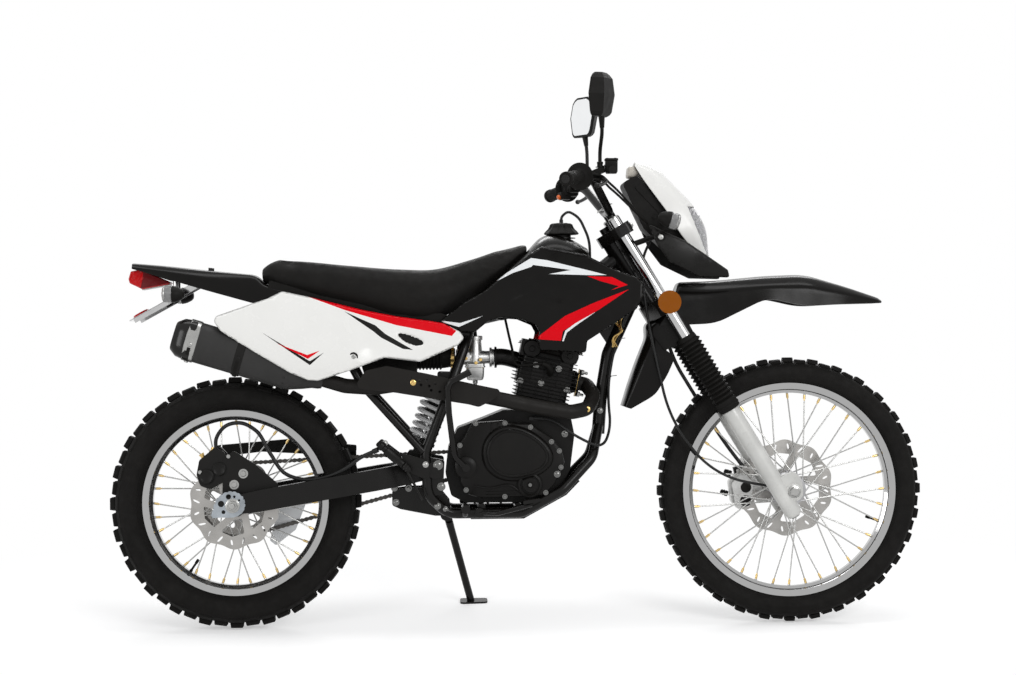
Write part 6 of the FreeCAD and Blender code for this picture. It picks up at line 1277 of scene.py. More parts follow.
def brake_disc(name, on, node, axle, radius, y_low, arms_turn):
    """A waved disc with long slots in its band, on a carrier of cut arms."""
    form = Form()
    edge = polar([(radius - 3.5 * (1 - math.cos(10 * a)), a) for a in turns(200)])
    holes = [circle(0, 0, DISC_BORE, 32)] + [disc_slot(radius, k) for k in range(DISC_SLOTS)]
    band = radius - DISC_BAND
    step = 2 * math.pi / DISC_ARMS
    for k in range(DISC_ARMS):
        a0, a1 = k * step + 0.13 + arms_turn + 0.3, (k + 1) * step - 0.13 + arms_turn + 0.3
        b0, b1 = k * step + 0.26 + arms_turn, (k + 1) * step - 0.26 + arms_turn
        window = [(ARM_FOOT, b0), (ARM_FOOT, (b0 + b1) / 2), (ARM_FOOT, b1),
                  (band - 5, a1), (band, (a0 + a1) / 2), (band - 5, a0)]
        holes.append(smoothed(polar(window), 5))
    form.axle_plate(axle, y_low, DISC_THICK, edge, holes)
    form.paint = 1
    for a in turns(DISC_ARMS):
        a += 0.1
        for end, way in ((y_low + DISC_THICK, LEFT), (y_low, -LEFT)):
            at = axle + vec(RIVET_RING * math.sin(a), end, RIVET_RING * math.cos(a))
            form.lathe([(-0.5, 6), (1.8, 6), (2.4, 5), (2.4, 2.8), (1.2, 2.6)], at, way, 12)
    form.place(name, on, [disc_steel, bright_steel], node, bevel=0.4)


brake_disc("front_brake_disc", "front_wheel", "disc_front", FRONT_AXLE, FRONT_DISC_R, 56, 0.0)
brake_disc("rear_brake_disc", "rear_wheel", "disc_rear", REAR_AXLE, REAR_DISC_R, -70, 0.3)

# Rear axle: spindle, spacers, zinc snail cams and nuts
CAM = [(r * math.cos(math.radians(a)), r * math.sin(math.radians(a))) for a, r in (
    (-60, 30), (-40, 31), (-20, 32), (0, 33), (20, 34), (40, 35), (60, 36), (80, 37), (100, 38),
    (120, 39.5), (140, 41.5), (160, 44.5), (180, 48.5), (196, 54), (204, 60), (212, 60), (216, 52),
    (228, 40), (250, 33), (275, 30))]
CAM_HOLES = [circle(-29, 5, 8), circle(-10, 23, 6.5), circle(5, 23, 3.4, 14), circle(17, 14, 2.8, 12),
             circle(-23, -16, 5, 14), circle(0, 0, 8.6, 24)]
CAM_Y, CAM_THICK = 130.3, 4.0
AXLE_NUT = [(3, 14.5), (13, 14.5), (15, 12.6), (15, 8.6), (22, 8.5), (23.5, 7)]


def notched(outline):
    """The cam's outline with a small notch in each side of its gentle part."""
    made = []
    for i, (u, v) in enumerate(outline):
        n, m = outline[(i + 1) % len(outline)]
        for t in range(4):
            cut = 0.955 if t == 2 and 1 < i < 13 else 1.0
            made.append(((u + (n - u) * t / 4) * cut, (v + (m - v) * t / 4) * cut))
    return made


def rear_axle():
    form = Form()
    form.rod(REAR_AXLE - LEFT * 142, REAR_AXLE + LEFT * 142, 8.5, 20)
    for side, hub_end, cam_low in ((1, 79.3, CAM_Y), (-1, 70.3, -CAM_Y - CAM_THICK)):
        form.paint = 0
        form.rod(REAR_AXLE + LEFT * (side * hub_end), REAR_AXLE + LEFT * (side * 103.7), 14, 24)
        form.paint = 1
        form.axle_plate(REAR_AXLE, cam_low, CAM_THICK, notched(CAM), CAM_HOLES)
        form.paint = 0
        end = REAR_AXLE + LEFT * (side * (CAM_Y + CAM_THICK))
        form.lathe([(0, 19), (2.4, 19), (3, 18)], end, LEFT * side, 28)
        form.lathe(AXLE_NUT, end, LEFT * side, 6)
    form.place("rear_spindle", "chassis", [bright_steel, zinc], "rear_axle", bevel=0.5)


rear_axle()

# Chain: inner and outer links with rollers, along the pitch line
CHAIN_PITCH, CHAIN_Y = 12.7, 75.5
REAR_TEETH, GEARBOX_TEETH = 48, 15
GEARBOX = body(606, 424)
OUTER_LINK, INNER_LINK, LINK_THICK = 5.7, 4.2, 1.4
ROLLER_HALF, ROLLER_R = 4.1, 4.1
PIN_HALF, PIN_R = 8, 1.9


def pitch_line():
    """The closed line of the chain's pins round both sprockets, in the side view."""
    wide, narrow = (CHAIN_PITCH / 2 / math.sin(math.pi / teeth) for teeth in (REAR_TEETH, GEARBOX_TEETH))
    span = GEARBOX - REAR_AXLE
    along = span.normalized()
    square = vec(-along.z, 0, along.x)
    lean = math.asin((wide - narrow) / span.length)
    top = square * math.cos(lean) + along * math.sin(lean)
    under = along * math.sin(lean) - square * math.cos(lean)
    route = [REAR_AXLE + top * wide, GEARBOX + top * narrow]
    start, end = math.atan2(top.x, top.z), math.atan2(under.x, under.z)
    route += [GEARBOX + radial(start + (end - start) * k / 15) * narrow for k in range(1, 16)]
    route.append(REAR_AXLE + under * wide)
    turn = 2 * math.pi - (end - start)
    route += [REAR_AXLE + radial(end + turn * k / 60) * wide for k in range(1, 60)]
    return route + route[:1]


def link_outline(p, q):
    """The waisted outline of a link's plate between two pins."""
    way = (q - p).normalized()
    rise = vec(-way.z, 0, way.x)
    outline = []
    for centre, first, waist in ((q, -90, 3.6), (p, 90, -3.6)):
        for s in range(5):
            t = math.radians(first + 45 * s)
            outline.append(centre + way * (5.4 * math.cos(t)) + rise * (5.6 * math.sin(t)))
        outline.append((p + q) / 2 + rise * waist)
    return outline


def chain_links():
    route = pitch_line()
    knots = knots_of(route)
    count = 2 * round(knots[-1] / CHAIN_PITCH / 2)
    pins = []
    for k in range(count):
        way = k * knots[-1] / count
        i = min(bisect_right(knots, way) - 1, len(route) - 2)
        pins.append(route[i].lerp(route[i + 1], (way - knots[i]) / (knots[i + 1] - knots[i])))
    form = Form()
    for k, p in enumerate(pins):
        q = pins[(k + 1) % count]
        shift = OUTER_LINK if k % 2 else INNER_LINK
        for side in SIDES:
            form.slab(link_outline(p, q), CHAIN_Y + side * shift, CHAIN_Y + side * (shift + LINK_THICK))
        form.rod(p + LEFT * (CHAIN_Y - ROLLER_HALF), p + LEFT * (CHAIN_Y + ROLLER_HALF), ROLLER_R, 10)
        if k % 2:
            for pin in (p, q):
                form.rod(pin + LEFT * (CHAIN_Y - PIN_HALF), pin + LEFT * (CHAIN_Y + PIN_HALF), PIN_R, 8)
    form.place("roller_chain", "chassis", chain_steel, "chain")


chain_links()


# Shock absorber: coil, damper, collars and eyes
COILS, PER_COIL = 7, 20
SPRING_R, WIRE_R = 33, 5.6
SPRING_LOW, SPRING_HIGH = 0.205, 0.815   # shares of the way from the foot to the top


def shock():
    top, foot = body(545, 650), body(470, 446)
    way = (top - foot).normalized()
    one = way.cross(LEFT).normalized()
    length = (top - foot).length
    form = Form()
    line = []
    for k in range(COILS * PER_COIL + 1):
        a = 2 * math.pi * k / PER_COIL
        share = SPRING_LOW + (SPRING_HIGH - SPRING_LOW) * k / (COILS * PER_COIL)
        line.append(foot + way * (length * share) + (one * math.cos(a) + LEFT * math.sin(a)) * SPRING_R)
    form.tube(line, WIRE_R, 10)
    form.paint = 1
    for steps, profile in (
            (24, [(0.5, 17), (0.93, 17), (0.95, 13)]),
            (32, [(0.16, 13), (0.165, 38), (0.2, 38), (0.205, 30), (0.23, 22)]),
            (32, [(0.8, 22), (0.815, 38), (0.845, 38), (0.85, 24), (0.94, 15)])):
        form.lathe([(length * share, r) for share, r in profile], foot, way, steps)
    for share in (0.86, 0.875, 0.89, 0.905):
        form.lathe([(length * share, 23.5), (length * share + 2.4, 23.5)], foot, way, 28)
    for end in (top, foot):
        form.lathe([(-15, 10), (-15, 15), (-13, 16), (13, 16), (15, 15), (15, 10)], end, LEFT, 24)
    form.rod(foot, foot + way * (length * 0.17), 12, 18)
    form.paint = 2
    form.rod(foot + way * (length * 0.2), foot + way * (length * 0.52), 7, 16)
    form.place("shock_absorber", "chassis", [shock_paint, caliper_black, chrome_tube], "rear_shock")


shock()

# Fork: gaiters with sharp folds, legs with their lugs, axle and clamps
GAITER_LOW, GAITER_HIGH, FOLDS = 268.0, 490.0, 15
LEG = [(-58, 13), (-57, 17), (-52, 20.5), (-44, 22), (-30, 22.6), (30, 23), (240, 23), (284, 23.2),
       (286, 22), (286, 15.9)]
LUG = [(6, 52), (22, 22), (24, -10), (12, -24), (-10, -24), (-30, -4), (-38, 40)]


def gaiters():
    form = Form()
    span = GAITER_HIGH - GAITER_LOW
    pitch = (span - 44) / FOLDS
    profile = [(-2, 24.0), (0, 28.5), (3, 29.5), (27, 29.5), (29, 26.5)]
    for k in range(FOLDS):
        at = 31 + pitch * k
        profile += [(at, 24.6), (at + pitch * 0.42, 31.0), (at + pitch * 0.56, 31.0)]
    profile += [(span - 12, 24.6), (span - 11, 26), (span, 24), (span, 15.8)]
    foot = steer(YOKE_OFFSET, GAITER_LOW, LEG_Y)
    form.lathe(profile, foot, UP, 40)
    form.lathe([(8, 30.2), (9, 31), (13, 31), (14, 30.2)], foot, UP, 40)
    form.both()
    form.place("gaiters_folded", "steering", black_rubber, "fork_gaiters", sharp=24)


def fork_legs():
    form = Form()
    foot = steer(YOKE_OFFSET, 0, LEG_Y)
    form.lathe(LEG, foot, UP, 48)
    form.paint = 1
    form.lathe([(-58.5, 12), (-61, 11), (-61, 5)], foot, UP, 20)
    form.paint = 0
    form.cut(front, LUG, 16, 5, LEG_Y - 15, LEG_Y + 15)
    form.lathe([(-19, 19), (-18, 21), (18, 21), (19, 19.5), (19, 12)], FRONT_AXLE + LEFT * LEG_Y, LEFT, 32)
    form.both()
    form.rod(FRONT_AXLE - LEFT * 117, FRONT_AXLE + LEFT * 117, 8.5, 18)
    for side, hub_end in ((1, 60.3), (-1, 44.3)):
        form.rod(FRONT_AXLE + LEFT * (side * hub_end), FRONT_AXLE + LEFT * (side * 80), 14, 20)
        form.paint = 1
        end = FRONT_AXLE + LEFT * (side * 111.2)
        form.lathe([(0, 17), (2.4, 17), (3, 16)], end, LEFT * side, 24)
        form.lathe([(3, 13.6), (8, 13.6), (9.4, 11.5), (9.4, 8)], end, LEFT * side, 6)
        for up, reach in ((-14, 24), (34, 18)):
            at = steer(YOKE_OFFSET + 10, up, side * (LEG_Y + 3))
            form.lathe([(0, 5), (reach, 5)], at, AHEAD, 6)
        form.paint = 0
    form.place("fork_legs", "steering", [fork_silver, bright_steel], "fork_lowers", bevel=1.4, sharp=34)


gaiters()
fork_legs()


# Front caliper: silver body, black caps, pins and bracket, in shares of the disc
def front_caliper():
    def at(x, z, y=0.0):
        return FRONT_AXLE + vec(x * FRONT_DISC_R, y, z * FRONT_DISC_R)
    form = Form()
    form.cut(at, [(-1.17, 0.14), (-1.12, -0.28), (-0.98, -0.44), (-0.74, -0.46), (-0.6, -0.2),
                  (-0.62, 0.2), (-0.9, 0.42)], 14, 5, 66, 98)
    form.cut(at, [(-1.12, 0.1), (-1.05, -0.34), (-0.76, -0.4), (-0.66, 0.1), (-0.9, 0.36)], 10, 4, 42, 53)
    form.cut(at, [(-0.92, 0.62), (-0.6, 0.66), (-0.2, -0.05), (-0.32, -0.3), (-0.56, -0.32),
                  (-0.72, 0.0), (-0.9, 0.3)], 9, 4, 84, 95)
    form.cut(at, [(-1.12, 0.0), (-1.0, 0.3), (-0.84, 0.26), (-0.9, -0.06)], 6, 3, 50, 70)
    form.paint = 1
    for x, z, r in ((-0.83, 0.02, 14), (-0.84, -0.26, 15)):
        form.lathe([(98, 0), (98, r), (102, r), (103, r * 0.86), (101.5, r * 0.6), (101.5, 0)],
                   at(x, z), LEFT, 24, ends=False)
        form.lathe([(42, 0), (42, r), (39, r), (38, r * 0.86), (38, 0)], at(x, z), LEFT, 24, ends=False)
    for x, z in ((-1.12, 0.3), (-1.2, -0.12)):
        form.lathe([(-4, 7), (2, 8), (5, 6.4), (8, 8), (11, 6), (14, 7), (17, 4)],
                   at(x, z, 84), vec(-0.9, 0, 0.35), 16)
    form.block(at(-0.92, 0.38, 86), vec(17, 0, 5), LEFT * 13, vec(-4, 0, 9), 0.8)
    form.paint = 2
    for x, z in ((-0.76, 0.5), (-0.42, -0.2)):
        form.hexagon(at(x, z, 95), LEFT, 6.5, 7)
    form.rod(at(-0.98, 0.36, 60), at(-0.98, 0.36, 98), 4, 12)
    form.place("front_caliper", "steering", [cast_alloy, caliper_black, bright_steel], "front_brake",
               bevel=1.6, sharp=34)


# Rear caliper: black body with bridge, pads, pins, banjo and its bracket plate
def rear_caliper():
    def at(x, z, y=0.0):
        return REAR_AXLE + vec(x * REAR_DISC_R, y, z * REAR_DISC_R)
    form = Form()
    outline = [(-0.8, 0.66), (-0.74, 0.98), (-0.4, 1.26), (-0.2, 1.16), (-0.06, 0.86), (-0.2, 0.5),
               (-0.5, 0.34), (-0.72, 0.42)]
    form.cut(at, outline, 12, 5, -99, -76)
    form.cut(at, outline, 12, 5, -64, -52)
    form.cut(at, [(-0.5, 1.17), (-0.3, 1.27), (-0.12, 1.1), (-0.26, 0.98)], 5, 3, -80, -60)
    for x, z, r in ((-0.58, 0.62, 20), (-0.3, 0.78, 18)):
        form.lathe([(-99, r), (-104, r * 0.96), (-106, r * 0.8), (-104.5, r * 0.66), (-104.5, 0.5)],
                   at(x, z), LEFT, 28, ends=False)
    plate = [(-0.25, -0.2), (0.12, -0.26), (0.38, -0.06), (0.98, 0.36), (0.96, 0.46), (0.5, 0.86),
             (0.02, 1.18), (-0.22, 1.02)]
    chain = smoothed([(x * REAR_DISC_R, z * REAR_DISC_R) for x, z in plate], 9)
    form.axle_plate(REAR_AXLE, -100, 8, chain, [circle(0, 0, 15, 24)])
    form.paint = 1
    for x, z in ((0.22, 0.68), (0.02, 0.44)):
        form.hexagon(at(x, z, -100), -LEFT, 8.5, 8)
    for x, z in ((-0.1, 1.06), (-0.72, 0.72)):
        form.lathe([(0, 5), (6, 5), (6, 3.4), (9, 3.4)], at(x, z, -99), -LEFT, 12)
    form.paint = 2
    form.lathe([(0, 8.6), (4, 8.6), (4, 6.2), (15, 6.2), (15, 7.6), (19, 7.6)],
               at(-0.62, 0.98, -86), vec(-0.5, 0, 0.8), 6)
    form.lathe([(0, 6), (5, 7), (9, 7), (12, 5), (22, 5)], at(-0.5, 1.08, -86), vec(0.35, 0, 0.94), 12)
    form.place("rear_caliper", "chassis", [caliper_black, bright_steel, brass], "rear_brake",
               bevel=1.2, sharp=34)


front_caliper()
rear_caliper()

# Engine: cases, a relief cover, the clutch's lid, fins and head
BORE_FOOT = body(790, 560)
BORE_TILT = math.radians(12)
BORE_AHEAD = vec(math.cos(BORE_TILT), 0, -math.sin(BORE_TILT))
BORE_UP = radial(BORE_TILT)


def bore(ahead, up, y=0.0):
    """A point in the cylinder's own frame, which leans forward."""
    return BORE_FOOT + BORE_AHEAD * ahead + BORE_UP * up + LEFT * y


def lid(form, outline, steps):
    """A lid on the right side: steps of (distance drawn in towards the middle, y)."""
    middle = sum(outline, Vector()) / len(outline)
    rings = []
    for depth, y in steps:
        ring = [p + (middle - p).normalized() * depth for p in outline]
        rings.append([vec(p.x, y, p.z) for p in ring])
    form.loft(rings)


def egg(centre, long, tall, blunt=0.2, turn_deg=9, count=72):
    """A rounded outline, blunt behind and narrower ahead, with its nose turned down."""
    turn = math.radians(turn_deg)
    ahead, rise = vec(math.cos(turn), 0, -math.sin(turn)), radial(turn)
    return [centre + ahead * (long * math.cos(a)) + rise * (tall * math.sin(a) * (1 - blunt * math.cos(a)))
            for a in turns(count)]


COVER_MIDDLE = body(734, 453)
COVER_BOLTS = line_of(body, [(626, 533), (702, 533), (768, 522), (822, 484), (842, 460), (846, 418),
                             (806, 353), (585, 477), (600, 362), (700, 344)], -105)
CASE = [(562, 345), (548, 400), (556, 470), (580, 520), (655, 548), (700, 566), (872, 562), (884, 500),
        (872, 410), (838, 345), (800, 326), (600, 326)]
RIGHT_COVER = [(606, 350), (586, 380), (583, 432), (575, 470), (592, 492), (618, 535), (702, 541),
               (716, 534), (768, 532), (826, 492), (848, 466), (856, 430), (829, 375), (802, 346),
               (640, 340)]
SPROCKET_GUARD = [(572, 372), (560, 424), (576, 476), (640, 486), (720, 470), (720, 400), (650, 372)]
OIL_CAP = [(100, 34), (108, 33), (111, 30), (112, 25), (109, 24), (109, 21), (115, 20), (117, 17),
           (117, 8), (119, 7), (119, 0.5)]
GENERATOR_COVER = [(62, 78), (70, 77), (86, 74), (94, 68), (98, 58), (99, 54), (97, 50), (99, 40),
                   (100, 0.5)]


def right_side(form):
    """The clutch side: a cover with bosses, webs, two lids, caps, a swept ridge and ribs."""
    lid(form, rounded(line_of(body, RIGHT_COVER), 12, 4),
        [(0, -62.3), (0, -78), (2.5, -80), (2.5, -83), (0, -85), (0, -99), (1.5, -102), (5, -104)])
    for p in COVER_BOLTS:
        form.rod(p + LEFT * 42, p, 7.6, 16)
    for x in (668, 684):
        form.block(body(x, 520, -104), FORE * 2.6, SKY * 16, LEFT * -3.4, 0.7)
    lid(form, egg(COVER_MIDDLE, 94, 72), [(0, -103), (2, -108), (6, -112), (8, -113)])
    lid(form, egg(COVER_MIDDLE, 80, 60), [(-1, -112), (-1, -120), (0.5, -123), (3, -124.4),
                                          (5.5, -123), (7.5, -120.8), (30, -121.6), (52, -122)])
    form.lathe(OIL_CAP, body(765, 374), -LEFT, 32)
    form.lathe([(100, 30), (106, 28), (109, 22), (110, 14)], body(600, 420), -LEFT, 32)
    ridge = [(620, 372, -104), (660, 366, -105), (716, 372, -106), (744, 352, -105)]
    form.tube(smooth_line(route_of(body, ridge), 4), 2.6, 8)
    for z in (348, 356):
        form.block(body(690, z, -104), FORE * 48, SKY * 1.2, LEFT * -1.8, 0.8)


def engine_cases():
    form = Form()
    form.cut(body, CASE, 14, 4, -62, 62)
    right_side(form)
    for k in range(5):
        x = 620 + 34 * k
        form.cut(body, [(x, 322), (x + 6, 322), (x + 6, 336), (x, 336)], 1.5, 2, -60, 60)
    # left side: generator cover, chain guard and the gearbox's shaft and sprocket
    generator = body(765, 440)
    form.lathe(GENERATOR_COVER, generator, LEFT, 48)
    form.cut(body, SPROCKET_GUARD, 12, 4, 86.7, 91.4)
    bosses = []
    for a in range(20, 380, 60):
        t = math.radians(a)
        bosses.append(generator + vec(72 * math.cos(t), 90, 72 * math.sin(t)))
        form.rod(bosses[-1] - LEFT * 26, bosses[-1], 7, 12)
    form.rod(GEARBOX + LEFT * 60, GEARBOX + LEFT * 82, 14, 20)
    form.paint = 1
    for p in COVER_BOLTS:
        form.hexagon(p, -LEFT, 4.6, 5)
    for p in bosses:
        form.hexagon(p, LEFT, 5.2, 6)
    form.lathe([(0, 5), (5, 4.6), (5, 1)], body(765, 374, -119), -LEFT, 12)
    form.place("engine_cases_detailed", "chassis", [engine_black, bolt_steel], "engine_block",
               bevel=1.4, sharp=32)
    sprocket = Form()
    teeth = [(r, (k + share) * 2 * math.pi / GEARBOX_TEETH) for k in range(GEARBOX_TEETH)
             for r, share in ((34, -0.09), (34, 0.09), (26.3, 0.36), (26.3, 0.64))]
    sprocket.axle_plate(GEARBOX, 72, 7, polar(teeth), [circle(0, 0, 14.2, 20)])
    sprocket.place("gearbox_sprocket", "chassis", chain_steel)


engine_cases()

FIN_PITCH, FIN_THICK = 9.4, 2.3
HEAD_FOOT = FIN_PITCH * 7             # seven fins on the cylinder, eight on the head
PORT_UP = 93.8
INTAKE = body(678, 702)
SIDE_CAP = [(50, 24), (60, 24), (64, 21), (64, 8), (68, 7), (68, 0.5)]


def bore_ring(half_long, half_wide, up, corner=15):
    return rounded([bore(half_long * a, up, half_wide * b) for a, b in CORNERS], corner)


def bore_stack(form, steps):
    form.loft([bore_ring(*step) for step in steps])


def fin(form, half_long, half_wide, low):
    high = low + FIN_THICK
    bore_stack(form, [(half_long - 0.8, half_wide - 0.8, low), (half_long, half_wide, low + 0.5),
                      (half_long, half_wide, high - 0.5), (half_long - 0.8, half_wide - 0.8, high)])


def barrel_and_head(form):
    bore_stack(form, [(66, 64, 0, 14), (66, 64, 66, 14), (74, 64, 67, 14), (74, 64, 118, 14),
                      (68, 60, 122, 14), (68, 60, 141, 14)])
    for k in range(7):
        fin(form, 74, 74, FIN_PITCH * (k + 0.6))
        for y in (-68, 68):
            for a in (-50, -17, 17, 50):
                form.block(bore(a, FIN_PITCH * (k + 1.1) + 1, y * 0.8), BORE_AHEAD * 1.6, LEFT * 13,
                           BORE_UP * 3.6)
    for k in range(8):
        half_long, half_wide = (84, 74) if k < 6 else (78, 70)
        fin(form, half_long, half_wide, HEAD_FOOT + FIN_PITCH * (k + 0.6))
    # the head's walls through the fins, and its cover with caps
    for side in (-1, 1):
        form.block(bore(-22, HEAD_FOOT + 36, side * 54), BORE_AHEAD * 15, LEFT * 14, BORE_UP * 34)
        form.block(bore(44, HEAD_FOOT + 40, side * 52), BORE_AHEAD * 13, LEFT * 15, BORE_UP * 32)
    bore_stack(form, [(74, 52, 141, 18), (74, 52, 152, 18), (71, 50, 155, 18), (71, 50, 166, 18),
                      (64, 46, 176, 18), (50, 38, 182, 16)])
    for a in (-48, 52):
        form.lathe([(0, 27), (14, 27), (17, 24), (17, 12), (24, 11), (24, 0.5)], bore(a, 160), BORE_UP, 28)
        for way in (-LEFT, LEFT):
            form.lathe(SIDE_CAP, bore(a, 158), way, 28)


def engine_top():
    form = Form()
    barrel_and_head(form)
    # cam chain side cover, and the breather box behind the cover
    form.lathe([(50, 31), (58, 31), (62, 28), (63, 14), (61, 12), (61, 0.5)], bore(4, 112), LEFT, 32)
    form.block(bore(-66, 158, -16), BORE_AHEAD * 12, LEFT * 40, BORE_UP * 22, 0.92)
    form.block(bore(-66, 160, -57), BORE_AHEAD * 8, LEFT * 1.2, BORE_UP * 12)
    # inlet tract and exhaust port
    up = HEAD_FOOT + 50.4
    mouth = INTAKE + FORE
    inlet = [bore(-40, up), bore(-78, up + 4), INTAKE + vec(14, 0, 1), mouth]
    form.tube(smooth_line(inlet, 4), 22, 24)
    form.lathe([(0, 28), (5, 28), (6, 27)], mouth, FORE, 24)
    form.lathe([(0, 30), (20, 30), (24, 27), (26.5, 27)], bore(60, PORT_UP), BORE_AHEAD, 28)
    form.paint = 1
    for a in (-58, 62):
        for b in (-17, 17):
            for y in (-43, 43):
                form.hexagon(bore(a + b, 166, y), BORE_UP, 6, 8)
    for a, up, y in ((-62, 70, -64), (62, 70, -64), (-8, 75, -70), (30, 120, -70), (-30, 118, -70),
                     (66, 148, -54)):
        form.hexagon(bore(a, up, y), -LEFT, 6, 6)
    # spark plug with its boot and lead
    form.lathe([(0, 10), (8, 10), (8, 8), (14, 7), (30, 4)], bore(8, 98, -48), vec(0.1, -1, 0.25), 6)
    form.paint = 2
    plug = route_of(bore, [(10, 104, -66), (10, 112, -84), (0, 122, -94), (-16, 126, -96)])
    form.tube(smooth_line(plug, 3), lambda share: 9.5 - 3.4 * share, 14)
    lead = [plug[-1], bore(-44, 116, -92), bore(-80, 110, -72), bore(-100, 150, -48), body(705, 812, -34)]
    form.tube(smooth_line(lead, 6), 3.4, 10)
    form.place("cylinder_and_head", "chassis", [engine_black, bolt_steel, black_rubber],
               "engine_cylinder", bevel=0.7, sharp=34)


def exhaust_flange():
    """The flange with its brass gasket and studs."""
    form = Form()
    face = box_ring(27, 36, 24, 6)
    form.loft([[bore(88 + w, PORT_UP) + LEFT * u + BORE_UP * v for u, v in face] for w in (0, 6)])
    form.paint = 1
    form.loft([[bore(86.6 + w, PORT_UP) + LEFT * (u * 1.04) + BORE_UP * (v * 1.03) for u, v in face]
               for w in (0, 1.4)])
    form.paint = 2
    for v in (-29, 29):
        form.lathe([(0, 7), (7, 7), (7, 4), (16, 4), (17, 3)], bore(94, PORT_UP + v), BORE_AHEAD, 8)
    form.place("exhaust_flange", "chassis", [engine_black, brass, bright_steel], bevel=0.6)


engine_top()
exhaust_flange()

# Carburettor: slide body, venturi, float bowl, screws, drain, clamps and the ribbed boot
VENTURI = [(-50, 21.5), (-44, 21.5), (-43, 24), (-39, 24), (-37, 20), (-18, 19), (18, 18), (30, 17),
           (37, 17), (38, 26), (44, 26), (44, 22), (49.8, 22)]
SLIDE = [(-14, 23), (-12, 23.5), (14, 19), (40, 16.5), (46, 16.5), (46, 19.5), (55, 19.5), (57, 18),
         (57, 6)]
SLIDE_WAY = vec(0.02, 0, 1)
FLOAT_BOWL = [(-16, 1.04), (-22, 1.04), (-22.4, 1.12), (-26, 1.12), (-26.4, 1.0), (-50, 0.96),
              (-58, 0.86), (-60, 0.7)]
AIRBOX = [(338, 662), (330, 690), (332, 796), (344, 798), (472, 785), (476, 770), (476, 660), (468, 650)]


def carburettor():
    middle = (INTAKE + body(578, 702)) / 2
    form = Form()
    form.lathe(VENTURI, middle, FORE, 32)
    form.lathe(SLIDE, middle, SLIDE_WAY, 28)
    form.loft([[middle + vec(u, v, z) for u, v in box_ring(24 * s, 22 * s, 9)] for z, s in FLOAT_BOWL])
    form.lathe([(0, 7), (8, 7), (9, 5), (14, 5)], middle - SKY * 60, -SKY, 6)
    form.block(middle + vec(-24, -20, 2), FORE * 10, LEFT * 7, SKY * 12, 0.9)
    form.paint = 1
    for x, z in ((-24, -2), (14, -6), (2, -14)):
        form.lathe([(0, 4.6), (7, 4.6), (7, 1)], middle + vec(x, -24, z), -LEFT, 12)
    for u in (-19, 19):
        for v in (-18, 18):
            form.lathe([(0, 3.6), (3, 3.2), (3, 1)], middle + vec(u, v, -26), -SKY, 10)
    form.paint = 2
    form.lathe([(57, 5), (64, 4.4), (70, 3.6)], middle, SLIDE_WAY, 14)
    for radius, hose in ((3.2, [(1.4, 0, 70), (4, -3, 96), (30, -14, 122), (78, -22, 128)]),
                         (3.6, [(-30, -20, 0), (-44, -26, 24), (-12, -38, 64), (22, -30, 104)])):
        form.tube(smooth_line([middle + Vector(p) for p in hose], 5), radius, 10)
    form.place("carburettor_detailed", "chassis", [cast_alloy, brass, black_rubber], "carburettor",
               bevel=0.8, sharp=30)


def airbox():
    form = Form()
    start = body(472, 702)
    profile = [(-4, 29), (0, 34), (4, 34), (5, 29)]
    for k in range(7):
        low = 8 + 9 * k
        profile += [(low, 27.5), (low + 2, 31.5), (low + 5, 31.5), (low + 7, 27.5)]
    profile += [(76, 27), (90, 25), (104, 24.6), (104, 23)]
    form.lathe(profile, start, FORE, 36)
    form.cut(body, AIRBOX, 10, 4, -62.6, 62.6)
    for z in (690, 716, 742):
        for side in SIDES:
            form.block(body(404, z, side * 62), vec(46, 0, -3), SKY * 3, LEFT * 1.6)
    form.paint = 1
    form.lathe([(92, 25.8), (92, 27.2), (101, 27.2), (101, 25.8)], start, FORE, 36)
    form.block(start + vec(96.5, -6, 29), FORE * 4, LEFT * 9, SKY * 4)
    form.rod(start + vec(96.5, -18, 29), start + vec(96.5, 8, 29), 2.4, 10)
    form.place("airbox_and_boot", "chassis", [black_rubber, brass], "airbox", bevel=0.8, sharp=30)


carburettor()
airbox()

# Fasteners: (grid x, z, y of the seat on the right side, washer's radius), the same on the left
FRAME_BOLTS = [(528, 428, -127.4, 13), (536, 372, -114.2, 11), (526, 322, -118, 9), (859, 502, -62, 9),
               (836, 400, -104, 9), (955, 560, -16.6, 8), (414, 365, -44.4, 9), (451, 364, -44.4, 9),
               (418, 328, -44.4, 9), (545, 313, -110, 9)]
form = Form()
for x, z, y, washer in FRAME_BOLTS:
    r = washer * 0.68
    form.hexagon(body(x, z, y), -LEFT, r, r * 0.75)
    form.hexagon(body(x, z, -y), LEFT, r, r * 0.75)
form.place("frame_bolts", "chassis", bolt_steel, bevel=0.5)
form = Form()
for x, z, y in ((466, 641, -164.6), (915, 567, -117.5)):
    form.lathe([(0, 7.5), (1.6, 7.5), (2.6, 5), (2.6, 3), (1.4, 2.8), (1.4, 0.4)], body(x, z, y), -LEFT, 20)
form.place("exhaust_screws", "chassis", brass, bevel=0.3)

# Handlebar: grips, switch boxes, levers and the brake's master cylinder
BAR_END = front(-603, 797, 398)
BAR_ELBOW = front(-533, 818, 215)
BAR_WAY = (BAR_END - BAR_ELBOW).normalized()
BAR_UP = (SKY - BAR_WAY * BAR_WAY.z).normalized()
BAR_FORE = BAR_WAY.cross(BAR_UP)
PERCH_Y = 245
LEVER = [(0, 0, 0), (14, 40, -8), (4, 92, -19), (-8, 128, -25), (-14, 146, -26)]


def along_bar(y, fore=0.0, up=0.0):
    share = (y - BAR_ELBOW.y) / (BAR_END.y - BAR_ELBOW.y)
    return BAR_ELBOW.lerp(BAR_END, share) + BAR_FORE * fore + BAR_UP * up


